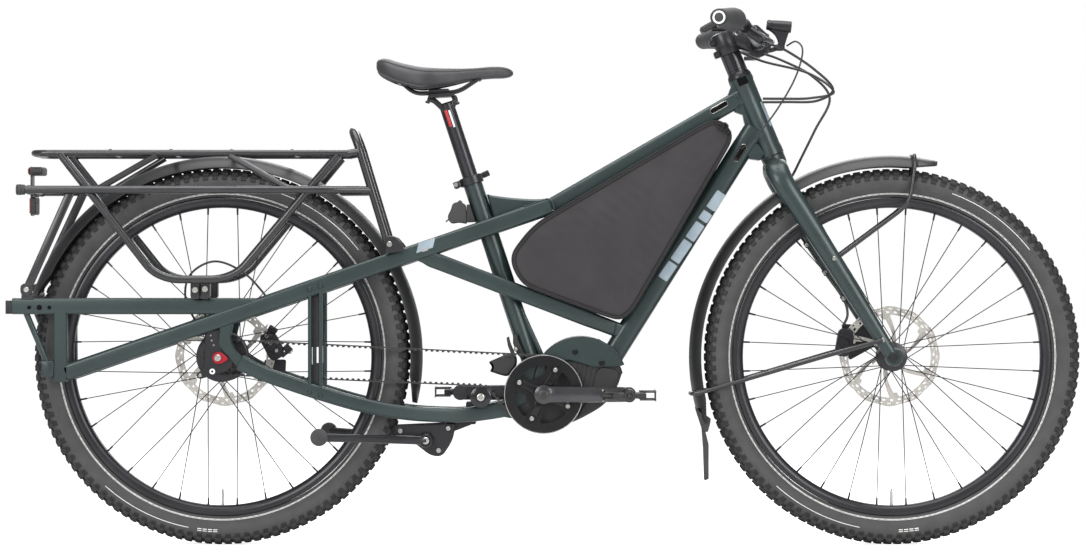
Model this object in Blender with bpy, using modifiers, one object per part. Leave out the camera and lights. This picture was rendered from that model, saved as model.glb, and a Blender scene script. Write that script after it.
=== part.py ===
"""Electric cargo bicycle with a belt drive, a long rear frame, a rack and a frame bag.

World frame in metres: +X forward, +Z up, the drive side at -Y, the floor at z = 0.
Plan positions are (x, z) pairs in the bicycle's middle plane, and y is given apart.
"""

import math

import bmesh
import bpy
from mathutils import Matrix, Vector

# Clearances
SEAT = 0.0003
RUNNING = 0.0006

# Wheels
WHEEL_RADIUS = 0.375
TYRE_WIDTH = 0.065
TYRE_HEIGHT = 0.057
TYRE_INNER_RADIUS = WHEEL_RADIUS - TYRE_HEIGHT
TYRE_BEAD_HALF = 0.016
RIM_HEIGHT = 0.021
RIM_INNER_RADIUS = TYRE_INNER_RADIUS - RIM_HEIGHT
RIM_WIDTH = 0.034
REAR_AXLE = (-0.6445, WHEEL_RADIUS)
FRONT_AXLE = (0.6925, WHEEL_RADIUS)
SPOKES = 32
SPOKE_RADIUS = 0.0012
AXLE_RADIUS = 0.0075
REAR_HUB_HALF = 0.0735
FRONT_HUB_HALF = 0.0500
REAR_FLANGE_Y = 0.034
FRONT_FLANGE_Y = 0.029
REAR_HUB_DRIVE_END = REAR_FLANGE_Y + 0.0055
REAR_HUB_RADIUS = 0.044
FRONT_HUB_RADIUS = 0.016
REAR_FLANGE_RADIUS = 0.050
FRONT_FLANGE_RADIUS = 0.029
ROTOR_RADIUS = 0.1015
ROTOR_RING_WIDTH = 0.016
ROTOR_THICKNESS = 0.002
ROTOR_ARMS = 6
REAR_ROTOR_Y = 0.060
FRONT_ROTOR_Y = 0.041
ROUND_STEPS = 32
HUB_STEPS = 9

# Pedals
PEDAL_AXLE_RADIUS = 0.0065
PEDAL_LENGTH = 0.106
PEDAL_WIDTH = 0.094

# Steering
HEAD_TOP = (0.390, 0.932)
HEAD_ANGLE = math.radians(22.4)
HEAD_LENGTH = 0.168
HEAD_RADIUS = 0.025
STEERER_RADIUS = 0.0180
STEERER_ABOVE = 0.056
FORK_Y = 0.060
FORK_TOP_DEPTH = 0.038
FORK_END_DEPTH = 0.024
FORK_TOP_WIDTH = 0.028
CROWN_RADIUS = 0.0235
BAR_CENTRE = (0.425, 1.000)
BAR_RADIUS = 0.0155
BAR_HALF = 0.372
BAR_TUBE_RADIUS = 0.0112
GRIP_RADIUS = 0.0165
GRIP_WING_RADIUS = 0.0245

# Frame tubes: depth is seen from the side, width from the front
RAIL_DEPTH = 0.033
RAIL_WIDTH = 0.024
RAIL_Y = 0.080
TUBE_CORNER = 0.006
TOP_TUBE_DEPTH = 0.034
DOWN_TUBE_DEPTH = 0.044
DOWN_TUBE_WIDTH = 0.050
SEAT_TUBE_RADIUS = 0.0190
SEAT_TUBE_TOP = (-0.146, 0.724)
SEAT_TUBE_END = (-0.034, 0.384)
BRACE_DEPTH = 0.032
BRACE_WIDTH = 0.020
STAY_DEPTH = 0.029
STAY_WIDTH = 0.022
TAIL_X = -1.0675
TAIL_RAIL_Z = 0.476

# Drive
CRANK_AXLE = (-0.003, 0.301)
CRANK_LENGTH = 0.168
SPINDLE_RADIUS = 0.012
BELT_Y = -0.052
BELT_WIDTH = 0.011
BELT_PITCH = 0.011
RING_TEETH = 44
SPROCKET_TEETH = 20
BELT_BACK = 0.0016
BELT_FRONT = 0.0010
IDLER_AXLE = (-0.128, 0.295)
IDLER_RADIUS = 0.021
IDLER_BORE = 0.006
GUARD_RADIUS = 0.0785
ARM_INNER_Y = 0.070
ARM_THICKNESS = 0.015
MOTOR_HALF = 0.0385
SHELL_RADIUS = 0.066
CRADLE_HALF = 0.0455

# Saddle and post
POST_RADIUS = 0.0155
POST_INSERTED = 0.130
POST_BORE_DEPTH = 0.290
SADDLE_RAIL_RADIUS = 0.0035
SADDLE_RAIL_Y = 0.023
SADDLE_RAIL_MIDDLE = (-0.218, 0.9020)
SADDLE_RAIL_PITCH = 0.034
SADDLE_HEEL = (-0.289, 0.9240)
SADDLE_NOSE = (-0.136, 0.9285)
RAIL_END_RADIUS = 0.0050
CLAMP_EAR_HALF = 0.010
CAM_RADIUS = 0.0042

# Charge port on the seat tube
PORT_EDGE = (-0.182, 0.676)
PORT_FOOT = (-0.196, 0.636)
PORT_HALF = 0.0165
PORT_HINGE = (-0.1700, 0.6830)

# Rack
RACK_RADIUS = 0.008
RACK_DECK_Z = 0.779
RACK_DECK_Y = 0.095
RACK_RAIL_Z = 0.706
DECK_FRONT = -0.3700
DECK_BACK = TAIL_X + 0.0605
DECK_BARS = (-0.500, -0.620, -0.740, -0.860)
DECK_BAR_RADIUS = 0.0050
DECK_BAR_Z = RACK_DECK_Z + 0.002

# Fenders
FENDER_GAP = 0.025
FENDER_RADIUS = WHEEL_RADIUS + FENDER_GAP
FENDER_HALF = 0.038
FENDER_THICKNESS = 0.0022
FENDER_CROWN = 0.011
FRONT_FENDER = (math.radians(76.3), math.radians(201.0))
REAR_FENDER = (math.radians(-13.5), math.radians(162.0))

# Kickstand
KICK_PIVOT = (-0.237, 0.2090)

# Cables
HOSE_RADIUS = 0.0026

# Steering axis, as directions down it and ahead of it
DOWN = Vector((math.sin(HEAD_ANGLE), 0, -math.cos(HEAD_ANGLE)))
AHEAD = Vector((math.cos(HEAD_ANGLE), 0, math.sin(HEAD_ANGLE)))

# Where the rails and the tail's posts run
SEAT_TUBE_UP = (Vector(SEAT_TUBE_TOP) - Vector(SEAT_TUBE_END)).normalized()
RAIL_FRONT_Y = SEAT_TUBE_RADIUS + RUNNING + RAIL_WIDTH / 2
TOP_TUBE_WIDTH = 2 * (SEAT_TUBE_RADIUS + RUNNING - SEAT)
RAIL_FRONT = (0.012, 0.6758)
RAIL_SPLAY_FRONT = (-0.130, 0.6268)
RAIL_SPLAY_REAR = (-0.400, 0.5336)
POST_REAR_X = TAIL_X + 0.0955
POST_FRONT_X = POST_REAR_X + 0.0260
RAIL_END = (POST_REAR_X + 0.0220, 0.3440)

# Motor cradle
CRADLE_CENTRE = (0.071, 0.321)
CRADLE_RADIUS = 0.095
CRADLE_WALL = 0.008
CRADLE_CHORD_Z = 0.362

# Frame bag and battery
BAG_OUTLINE = [
    (-0.023, 0.641), (0.328, 0.848), (0.354, 0.850), (0.376, 0.822), (0.373, 0.804),
    (0.179, 0.470), (0.155, 0.4475), (0.126, 0.4555), (-0.044, 0.5185), (-0.066, 0.560), (-0.066, 0.584),
]
BAG_RADII = [0.03, 0.02, 0.02, 0.015, 0.02, 0.02, 0.02, 0.02, 0.03, 0.02, 0.03]
BAG_HALF = 0.050
BAG_WALL = 0.004
BATTERY_DEPTH = 0.078
BATTERY_HALF = BAG_HALF - BAG_WALL - 0.001

# Pitch circles of the belt's ring and sprocket
RING_RADIUS = RING_TEETH * BELT_PITCH / (2 * math.pi)
SPROCKET_RADIUS = SPROCKET_TEETH * BELT_PITCH / (2 * math.pi)

# Remote, headlight and brake levers
REMOTE_TILT = math.radians(30)
REMOTE_UP = Matrix.Rotation(-REMOTE_TILT, 3, "Y") @ Vector((0, 0, 1))
REMOTE_FACE = Vector((0.3720, 0.1520, 1.0110))
LAMP_PIVOT = (0.4720, 0.9930)
LEVER_AXIS = Vector((0.30, 0, 0.954)).normalized()

# Each station of the saddle: its place, half width, top and lower edge
SADDLE_STATIONS = [
    (-0.3400, 0.036, 0.9640, 0.950), (-0.3240, 0.070, 0.9740, 0.936), (-0.2780, 0.080, 0.9600, 0.9200),
    (-0.2250, 0.052, 0.9540, 0.9155), (-0.1500, 0.0245, 0.9560, 0.9240),
    (-0.0950, 0.0215, 0.9600, 0.9300), (-0.0600, 0.0130, 0.9440, 0.9360),
]
# Across the saddle: the share of the half width, and how far the top drops from the crown
SADDLE_CROSS = [(-1.0, 0.012), (-0.45, 0.0), (0.45, 0.0), (1.0, 0.012)]
SADDLE_DRAWN_IN = 0.80


def clear_scene():
    for scene_object in list(bpy.data.objects):
        bpy.data.objects.remove(scene_object, do_unlink=True)


def new_collection(name):
    collection = bpy.data.collections.new(name)
    bpy.context.scene.collection.children.link(collection)
    return collection


clear_scene()
PARTS = new_collection("Electric bicycle")
HELPERS = new_collection("Cutters and joined pieces")


def material(name, colour, roughness, metallic=0.0):
    made = bpy.data.materials.new(name)
    made.use_nodes = True
    shader = made.node_tree.nodes["Principled BSDF"]
    shader.inputs["Base Color"].default_value = (*colour, 1)
    shader.inputs["Roughness"].default_value = roughness
    shader.inputs["Metallic"].default_value = metallic
    made.diffuse_color = (*colour, 1)
    return made


PAINT = material("Green frame paint", (0.024, 0.040, 0.040), 0.35, 0.2)
BLACK_PAINT = material("Black powder coat", (0.028, 0.028, 0.030), 0.5)
ALUMINIUM = material("Black anodised aluminium", (0.020, 0.020, 0.022), 0.35, 0.8)
STEEL = material("Bare steel", (0.55, 0.54, 0.52), 0.3, 1.0)
TYRE_RUBBER = material("Tyre rubber", (0.030, 0.030, 0.030), 0.85)
SOFT_RUBBER = material("Soft rubber", (0.035, 0.035, 0.036), 0.8)
PLASTIC = material("Black plastic", (0.026, 0.026, 0.027), 0.55)
BELT_MATERIAL = material("Belt polyurethane", (0.020, 0.020, 0.020), 0.6)
BAG_CLOTH = material("Bag fabric", (0.052, 0.048, 0.050), 0.9)
SADDLE_COVER = material("Saddle cover", (0.030, 0.030, 0.032), 0.6)
LENS = material("Red lens", (0.35, 0.010, 0.012), 0.2)


def linked(name, data, collection):
    made = bpy.data.objects.new(name, data)
    collection.objects.link(made)
    return made


def helper(name, mesh):
    """A piece that is joined to a part or cut from it, and isn't one itself."""
    made = linked(name, mesh, HELPERS)
    made.hide_render = True
    made.display_type = "WIRE"
    return made


def bmesh_piece(name, bm, place=None):
    if place is not None:
        bm.transform(place)
    mesh = bpy.data.meshes.new(name)
    bm.to_mesh(mesh)
    bm.free()
    return helper(name, mesh)


def at(plan, y=0.0):
    """A plan position (x, z) at the sideways distance y."""
    return Vector((plan[0], y, plan[1]))


def mirrored(points):
    return [Vector((p[0], -p[1], p[2])) for p in points]


def box(name, size, centre, pitch=0.0):
    """A box turned by pitch about Y, where a positive pitch lifts its front."""
    bm = bmesh.new()
    bmesh.ops.create_cube(bm, size=1)
    place = Matrix.Translation(centre) @ Matrix.Rotation(-pitch, 4, "Y") @ Matrix.Diagonal((*size, 1))
    return bmesh_piece(name, bm, place)


def rod(name, start, end, radius, end_radius=None, sides=12, flatten=1.0):
    """A cylinder or cone from start to end, drawn in to a share of its size sideways."""
    start, end = Vector(start), Vector(end)
    bm = bmesh.new()
    bmesh.ops.create_cone(
        bm,
        cap_ends=True,
        segments=sides,
        radius1=radius,
        radius2=radius if end_radius is None else end_radius,
        depth=(end - start).length,
    )
    bm.transform(Matrix.Diagonal((1, flatten, 1, 1)))
    return bmesh_piece(name, bm, Matrix.Translation((start + end) / 2) @ upright(end - start))


def upright(direction):
    """Turns local Z along the direction, keeping local Y as near to world Y as it can be."""
    z = Vector(direction).normalized()
    side = Vector((0, 1, 0)) if abs(z.y) < 0.95 else Vector((0, 0, 1))
    x = side.cross(z).normalized()
    return Matrix((x, z.cross(x), z)).transposed().to_4x4()


def rounded(points, radius, closed=True, steps=1):
    """The outline or path with each corner replaced by a curve that leaves both sides smoothly."""
    points = [Vector(p) for p in points]
    radii = radius if isinstance(radius, (list, tuple)) else [radius] * len(points)
    made = []
    for i, corner in enumerate(points):
        if radii[i] <= 0 or (not closed and i in (0, len(points) - 1)):
            made.append(corner)
            continue
        back = points[i - 1] - corner
        ahead = points[(i + 1) % len(points)] - corner
        reach = radii[i] / math.tan(back.angle(ahead) / 2)
        reach = min(reach, 0.49 * back.length, 0.49 * ahead.length)
        start = corner + back.normalized() * reach
        end = corner + ahead.normalized() * reach
        for k in range(steps + 1):
            t = k / steps
            made.append(start * (1 - t) ** 2 + corner * 2 * t * (1 - t) + end * t**2)
    return made


def circle(centre, radius, steps=24, start=0.0, end=2 * math.pi):
    """Points round a plan circle, without the last where it closes."""
    whole = abs(end - start - 2 * math.pi) < 1e-6
    count = steps if whole else steps + 1
    angles = [start + (end - start) * k / steps for k in range(count)]
    return [(centre[0] + radius * math.cos(a), centre[1] + radius * math.sin(a)) for a in angles]


def curve_mesh(name, curve):
    """The curve's surface as a closed mesh, its caps welded."""
    made = linked(name, curve, HELPERS)
    bpy.context.view_layer.update()
    graph = bpy.context.evaluated_depsgraph_get()
    mesh = bpy.data.meshes.new_from_object(made.evaluated_get(graph))
    bpy.data.objects.remove(made)
    bm = bmesh.new()
    bm.from_mesh(mesh)
    bmesh.ops.remove_doubles(bm, verts=bm.verts, dist=1e-6)
    bmesh.ops.recalc_face_normals(bm, faces=bm.faces)
    return bm


def flat_curve(name, loops, thickness):
    curve = bpy.data.curves.new(name, "CURVE")
    curve.dimensions = "2D"
    curve.fill_mode = "BOTH"
    curve.extrude = thickness / 2
    for loop in loops:
        spline = curve.splines.new("POLY")
        spline.points.add(len(loop) - 1)
        spline.use_cyclic_u = True
        for point, place in zip(spline.points, loop):
            point.co = (place[0], place[1], 0, 1)
    return curve


SIDEWAYS = Matrix.Rotation(math.pi / 2, 4, "X")


def plate(name, loops, low, high):
    """A flat outline in plan positions, with its holes, as thick as from y = low to y = high."""
    bm = curve_mesh(name, flat_curve(name, loops, high - low))
    return bmesh_piece(name, bm, Matrix.Translation((0, (low + high) / 2, 0)) @ SIDEWAYS)


def level_plate(name, loops, low, high):
    """A flat outline in (x, y), as thick as from z = low to z = high."""
    bm = curve_mesh(name, flat_curve(name, loops, high - low))
    return bmesh_piece(name, bm, Matrix.Translation((0, 0, (low + high) / 2)))


def section(depth, width, corner=TUBE_CORNER, grow=0.0):
    """A tube's rounded outline, depth along its first axis and width along its second."""
    x, y = depth / 2 + grow, width / 2 + grow
    return rounded([(-x, -y), (x, -y), (x, y), (-x, y)], corner + grow, steps=1)


def beam(name, start, end, depth, width, corner=TUBE_CORNER, grow=0.0):
    """A straight tube of rounded section between two points."""
    start, end = Vector(start), Vector(end)
    bm = curve_mesh(name, flat_curve(name, [section(depth, width, corner, grow)], (end - start).length))
    return bmesh_piece(name, bm, Matrix.Translation((start + end) / 2) @ upright(end - start))


def path_curve(name, points, radius=0.0, resolution=2):
    curve = bpy.data.curves.new(name, "CURVE")
    curve.dimensions = "3D"
    curve.use_fill_caps = True
    curve.bevel_depth = radius
    curve.bevel_resolution = resolution
    spline = curve.splines.new("POLY")
    spline.points.add(len(points) - 1)
    for point, place in zip(spline.points, points):
        point.co = (*place, 1)
    return curve


def bar(name, points, radius, bend=0.0, resolution=1, closed=False):
    """A round bar along a path with its corners bent."""
    path = rounded(points, bend, closed=closed)
    curve = path_curve(name, path, radius, resolution)
    curve.splines[0].use_cyclic_u = closed
    return bmesh_piece(name, curve_mesh(name, curve))


def swept(name, points, depth, width, bend, grow=0.0):
    """A tube of rounded section along a bent path, kept upright."""
    outline = flat_curve(name + " section", [section(width, depth, TUBE_CORNER, grow)], 0)
    outline.fill_mode = "NONE"
    profile = linked(name + " section", outline, HELPERS)
    curve = path_curve(name, rounded(points, bend, closed=False, steps=1))
    curve.bevel_mode = "OBJECT"
    curve.bevel_object = profile
    curve.twist_mode = "Z_UP"
    bm = curve_mesh(name, curve)
    bpy.data.objects.remove(profile)
    return bmesh_piece(name, bm)


def smooth_path(points, steps):
    """A smooth curve through the points (Catmull-Rom), with steps to each stretch."""
    points = [Vector(p) for p in points]
    ends = [points[0] * 2 - points[1], *points, points[-1] * 2 - points[-2]]
    made = []
    for i in range(1, len(ends) - 2):
        a, b, c, d = ends[i - 1 : i + 3]
        for k in range(steps):
            t = k / steps
            made.append(
                (b * 2 + (c - a) * t + (a * 2 - b * 5 + c * 4 - d) * t**2 + (b * 3 - a - c * 3 + d) * t**3) / 2
            )
    return made + [points[-1]]


def turned(name, profile, centre, axis="Y", steps=ROUND_STEPS, angle=2 * math.pi, start=0.0, closed=True):
    """A profile of (radius, distance along the axis) turned about an axis through the centre.

    A closed profile runs clockwise, so that its faces point out.
    """
    area = sum(a[0] * b[1] - b[0] * a[1] for a, b in zip(profile, profile[1:] + profile[:1]))
    if closed and area > 0:
        profile = profile[::-1]
    bm = bmesh.new()
    verts = [bm.verts.new((r, 0, h)) for r, h in profile]
    for i in range(len(verts) - 1):
        bm.edges.new((verts[i], verts[i + 1]))
    if closed and min(r for r, h in profile) > 0:
        bm.edges.new((verts[-1], verts[0]))
    made = bmesh_piece(name, bm)
    screw = made.modifiers.new("Turn", "SCREW")
    screw.angle = angle
    screw.steps = screw.render_steps = steps
    screw.use_merge_vertices = True
    screw.merge_threshold = 0.00001
    if axis == "Y":
        made.matrix_world = Matrix.Translation(centre) @ SIDEWAYS.inverted() @ Matrix.Rotation(start, 4, "Z")
    else:
        made.matrix_world = Matrix.Translation(centre) @ upright(axis)
    return made


BOOLEANS = []


def combine(base, operation, others):
    """Notes a Boolean, which join_and_cut adds when every piece is made."""
    if others:
        BOOLEANS.append((base, operation, others))


def add_boolean(base, operation, others):
    group = bpy.data.collections.new(f"{base.name} {operation.lower()}")
    HELPERS.children.link(group)
    for other in others:
        HELPERS.objects.unlink(other)
        group.objects.link(other)
    modifier = base.modifiers.new(operation.title(), "BOOLEAN")
    modifier.operation = operation
    modifier.operand_type = "COLLECTION"
    modifier.collection = group


def join_and_cut():
    for base, operation, others in BOOLEANS:
        add_boolean(base, operation, others)


def part(name, look, pieces, cuts=(), pivot=None):
    """Makes a named part from its pieces joined, less its cuts, its origin at the pivot."""
    base = pieces[0]
    HELPERS.objects.unlink(base)
    PARTS.objects.link(base)
    base.hide_render = False
    base.display_type = "TEXTURED"
    base.name = name
    base.data.materials.clear()
    base.data.materials.append(look)
    combine(base, "UNION", list(pieces[1:]))
    combine(base, "DIFFERENCE", list(cuts))
    if pivot is not None and not base.modifiers.get("Turn"):
        base.data.transform(Matrix.Translation(-Vector(pivot)))
        base.location = pivot
    return base


# Steering axis


def steer(down, ahead=0.0, y=0.0):
    """A point that far down the steering axis from the head tube's top, ahead of it and to the side."""
    return at(HEAD_TOP) + DOWN * down + AHEAD * ahead + Vector((0, y, 0))


# Frame


def seat_axis(up, y=0.0):
    """A point on the seat tube's axis, that far above its top."""
    return at(Vector(SEAT_TUBE_TOP) + SEAT_TUBE_UP * up, y)


def head_tube_rod(grow=0.0):
    return rod("head tube", steer(-grow), steer(HEAD_LENGTH + grow), HEAD_RADIUS + grow, sides=20)


def top_tube_beam(grow=0.0):
    return beam("top tube", at((0.0175, 0.6773)), at((0.397, 0.8965)), TOP_TUBE_DEPTH, TOP_TUBE_WIDTH,
                grow=grow)


def down_tube_beam(grow=0.0):
    return beam(
        "down tube", at((0.1300, 0.3695)), at((0.4212, 0.8346)), DOWN_TUBE_DEPTH, DOWN_TUBE_WIDTH, 0.012,
        grow=grow
    )


def seat_tube_rod(grow=0.0):
    return rod("seat tube", at(SEAT_TUBE_END), at(SEAT_TUBE_TOP), SEAT_TUBE_RADIUS + grow, sides=20)


def rail_path():
    return [
        at(RAIL_FRONT, RAIL_FRONT_Y),
        at(RAIL_SPLAY_FRONT, RAIL_FRONT_Y),
        at(RAIL_SPLAY_REAR, RAIL_Y),
        at(RAIL_END, RAIL_Y),
    ]


def rail(side, grow=0.0):
    path = rail_path() if side > 0 else mirrored(rail_path())
    return swept("rail", path, RAIL_DEPTH, RAIL_WIDTH, 0.25, grow)


def rear_post(side, grow=0.0):
    size = (POST_FRONT_X - POST_REAR_X + 2 * grow, RAIL_WIDTH + 2 * grow, 0.150 + 2 * grow)
    return box("rear post", size, ((POST_FRONT_X + POST_REAR_X) / 2, side * RAIL_Y, 0.401))


def cradle_solid(grow=0.0):
    """The cradle's outer form, which the tubes that meet it are cut by."""
    arc = circle(CRADLE_CENTRE, CRADLE_RADIUS + grow, 24, math.radians(12), math.radians(215))
    return plate("cradle form", [arc], -CRADLE_HALF - grow, CRADLE_HALF + grow)


def make_front_frame():
    bore = rod("bore", steer(-0.01), steer(HEAD_LENGTH + 0.01), STEERER_RADIUS + RUNNING, sides=20)
    part("head_tube", PAINT, [head_tube_rod()], [bore])
    gusset = plate(
        "gusset",
        [rounded([(-0.118, 0.697), (0.010, 0.6905), (0.040, 0.700), (0.012, 0.668), (-0.100, 0.642)], 0.006)],
        -0.016,
        0.016,
    )
    part("top_tube", PAINT, [top_tube_beam(), gusset], [head_tube_rod(SEAT), seat_tube_rod(SEAT)])
    port = beam("port", at((0.372, 0.792), -0.03), at((0.372, 0.792), 0.03), 0.016, 0.006, 0.003)
    port.data.transform(Matrix.Translation(at((0.372, 0.792))) @ Matrix.Rotation(-0.4, 4, "Y")
                        @ Matrix.Translation(-at((0.372, 0.792))))
    part("down_tube", PAINT, [down_tube_beam()], [head_tube_rod(SEAT), cradle_solid(SEAT), port])
    bore = rod("post bore", seat_axis(-POST_BORE_DEPTH), seat_axis(0.01), POST_RADIUS + RUNNING, sides=20)
    strut = beam("strut", at((-0.0565, 0.490)), at((-0.010, 0.384)), 0.010, 0.026, 0.003)
    foot = box("strut head", (0.020, 0.026, 0.016), (-0.062, 0, 0.491), -1.2)
    socket = plate("port base",
                   [rounded([PORT_FOOT, (-0.120, 0.652), (-0.126, PORT_EDGE[1]), PORT_EDGE], 0.003)],
                   -PORT_HALF, PORT_HALF)
    part("seat_tube", PAINT, [seat_tube_rod(), strut, foot, socket], [cradle_solid(SEAT), bore])


def make_rear_frame():
    cross = rod("cross tube", at((-0.215, 0.5965), -0.045), at((-0.215, 0.5965), 0.045), 0.011)
    part("main_rails", PAINT, [rail(1), rail(-1), cross], [rear_post(1, SEAT), rear_post(-1, SEAT)])
    braces = []
    for side in (1, -1):
        path = [(-0.218, 0.5665, 0.0470), (-0.060, 0.5062, 0.0300), (0.060, 0.4605, 0.0300),
                (0.160, 0.4224, 0.0160)]
        points = [at((x, z), side * y) for x, z, y in path]
        braces.append(swept("brace", points, BRACE_DEPTH, BRACE_WIDTH, 0.12))
    bridge = box("bridge", (0.030, 0.040, 0.026), (0.105, 0, 0.4433), -0.366)
    cuts = [down_tube_beam(SEAT), rail(1, SEAT), rail(-1, SEAT), cradle_solid(SEAT)]
    part("lower_braces", PAINT, [*braces, bridge], cuts)
    tail = []
    for side in (1, -1):
        y = side * RAIL_Y
        tail.append(beam("tail rail", (TAIL_X + 0.0065, y, TAIL_RAIL_Z), (-0.585, y, TAIL_RAIL_Z), 0.032,
                         RAIL_WIDTH))
        tail.append(box("plug", (0.010, 0.018, 0.022), (TAIL_X + 0.005, y, TAIL_RAIL_Z)))
        tail.append(rear_post(side))
        tail.append(box("stub", (0.026, 0.020, 0.033), (POST_REAR_X - 0.0125, y, 0.352)))
        tail.append(rod("tail brace", (TAIL_X + 0.0385, y, 0.466), (POST_REAR_X - 0.0140, y, 0.364), 0.006))
    tail.append(rod("tail cross tube", (TAIL_X + 0.0195, -RAIL_Y, TAIL_RAIL_Z),
                    (TAIL_X + 0.0195, RAIL_Y, TAIL_RAIL_Z), 0.010))
    part("tail_frame", PAINT, tail, [rail(1, SEAT), rail(-1, SEAT)])
    for name, side in (("chainstay_left", 1), ("chainstay_right", -1)):
        path = [
            (-0.605, 0.3660, 0.080), (-0.561, 0.3430, 0.080), (-0.466, 0.3100, 0.080),
            (-0.362, 0.2790, 0.080),
            (-0.268, 0.2620, 0.062), (-0.160, 0.2580, 0.036), (-0.0870, 0.2713, 0.031),
        ]
        points = [at((x, z), side * y) for x, z, y in path]
        dropout = rounded(
            [(-0.672, 0.447), (-0.622, 0.449), (-0.602, 0.420), (-0.596, 0.385), (-0.575, 0.368),
             (-0.580, 0.343),
             (-0.625, 0.346), (-0.655, 0.330), (-0.692, 0.334), (-0.694, 0.380), (-0.668, 0.400)],
            0.008,
        )
        inner, outer = REAR_HUB_HALF + RUNNING, REAR_HUB_HALF + RUNNING + 0.0085
        low, high = (inner, outer) if side > 0 else (-outer, -inner)
        pieces = [
            swept("chainstay", points, STAY_DEPTH, STAY_WIDTH, 0.09),
            plate("dropout", [dropout], low, high),
            box("mid post", (0.0245, STAY_WIDTH, 0.200), (-0.454, side * RAIL_Y, 0.404)),
        ]
        pieces.append(rod("axle bolt", at(REAR_AXLE, side * (outer - 0.001)),
                          at(REAR_AXLE, side * (outer + 0.006)), 0.012))
        if side < 0:
            hub_end = -(REAR_HUB_DRIVE_END + RUNNING)
            pieces.append(rod("axle", at(REAR_AXLE, -outer), at(REAR_AXLE, hub_end), AXLE_RADIUS, sides=10))
        part(name, PAINT, pieces, [rail(side, SEAT)])


def shrunk(outline, by):
    """The outline moved inwards, for one that runs clockwise."""
    points = [Vector(p) for p in outline]
    made = []
    for i, p in enumerate(points):
        back = (p - points[i - 1]).normalized()
        ahead = (points[(i + 1) % len(points)] - p).normalized()
        inward = Vector((back.y, -back.x)) + Vector((ahead.y, -ahead.x))
        made.append(p + inward * (by / (1 + back.dot(ahead))))
    return made


def make_bag_and_battery():
    body = plate("bag", [rounded(BAG_OUTLINE, BAG_RADII)], -BAG_HALF, BAG_HALF)
    inside = plate("bag room", [rounded(shrunk(BAG_OUTLINE, 0.014), BAG_RADII)], BAG_WALL - BAG_HALF,
                   BAG_HALF - BAG_WALL)
    zip_slit = beam("zip slit", at((0.060, 0.657), 0.040), at((0.290, 0.790), 0.040), 0.008, 0.040, 0.001)
    part("frame_bag", BAG_CLOTH, [body],
         [inside, zip_slit, top_tube_beam(SEAT), down_tube_beam(SEAT), rail(1, SEAT), rail(-1, SEAT)])
    front, foot = Vector(BAG_OUTLINE[4]), Vector(BAG_OUTLINE[5])
    down = (foot - front).normalized()
    inward = Vector((down.y, -down.x))
    seat = inward * (0.014 + SEAT + BATTERY_DEPTH / 2)
    start, end = front + down * 0.095 + seat, front + down * 0.340 + seat
    part("battery_pack", PLASTIC,
         [beam("battery", at(start), at(end), BATTERY_DEPTH, 2 * BATTERY_HALF, 0.012)])


def make_motor():
    outer = circle(CRADLE_CENTRE, CRADLE_RADIUS, 14, math.radians(26), math.radians(200))
    pieces = [plate("arch", [outer], -CRADLE_HALF, CRADLE_HALF)]
    room_radius = CRADLE_RADIUS - CRADLE_WALL
    reach = math.asin((CRADLE_CHORD_Z - CRADLE_CENTRE[1]) / room_radius)
    below = circle(CRADLE_CENTRE, room_radius, 14, math.pi - reach, 2 * math.pi + reach)
    sides = plate("below the cheeks", [below], -CRADLE_HALF - 0.01, CRADLE_HALF + 0.01)
    wrap = circle(CRANK_AXLE, SHELL_RADIUS + 0.011, 8, math.radians(82), math.radians(205))
    wrap += circle(CRANK_AXLE, SHELL_RADIUS - 0.002, 8, math.radians(82), math.radians(205))[::-1]
    lug = [(-0.060, 0.330), (-0.084, 0.300), (-0.084, 0.256), (-0.066, 0.252), (-0.050, 0.262)]
    pieces += [plate("wrap", [wrap], -0.042, 0.042), plate("lug", [lug], -0.0418, 0.0418)]
    clear = rod("shell clearance", at(CRANK_AXLE, -0.07), at(CRANK_AXLE, 0.07), SHELL_RADIUS + RUNNING,
                sides=20)
    room = rod("motor room", at(CRADLE_CENTRE, -MOTOR_HALF - 0.0002), at(CRADLE_CENTRE, MOTOR_HALF + 0.0002),
               room_radius, sides=28)
    low = BELT_Y - BELT_WIDTH / 2
    pieces.append(beam("idler arm", at((-0.1500, 0.3040), -0.0385), at((-0.0720, 0.3060), -0.0385), 0.022,
                       0.008, 0.003))
    pieces.append(rod("idler pin", at(IDLER_AXLE, -0.040), at(IDLER_AXLE, low - 0.003), IDLER_BORE - RUNNING,
                      sides=16))
    pieces.append(rod("idler bolt", at(IDLER_AXLE, low - 0.0012), at(IDLER_AXLE, low - 0.005), 0.0085,
                      sides=16))
    part("motor_cradle", PAINT, pieces, [room, sides, clear])
    lower = [(-0.045, 0.252), (-0.010, 0.2345), (0.041, 0.2420), (0.093, 0.2650), (0.121, 0.285),
             (0.145, 0.320)]
    top = circle(CRADLE_CENTRE, CRADLE_RADIUS - CRADLE_WALL - RUNNING, 16, math.radians(14),
                 math.radians(152))
    bore = rod("spindle bore", at(CRANK_AXLE, -0.08), at(CRANK_AXLE, 0.08), SPINDLE_RADIUS + 0.002, sides=20)
    shell = rod("side disc", at(CRANK_AXLE, -MOTOR_HALF), at(CRANK_AXLE, MOTOR_HALF), SHELL_RADIUS, sides=20)
    body = plate("motor", [rounded(lower, 0.01, closed=False) + top], -MOTOR_HALF, MOTOR_HALF)
    part("motor", PLASTIC, [body, shell], [bore])


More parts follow.
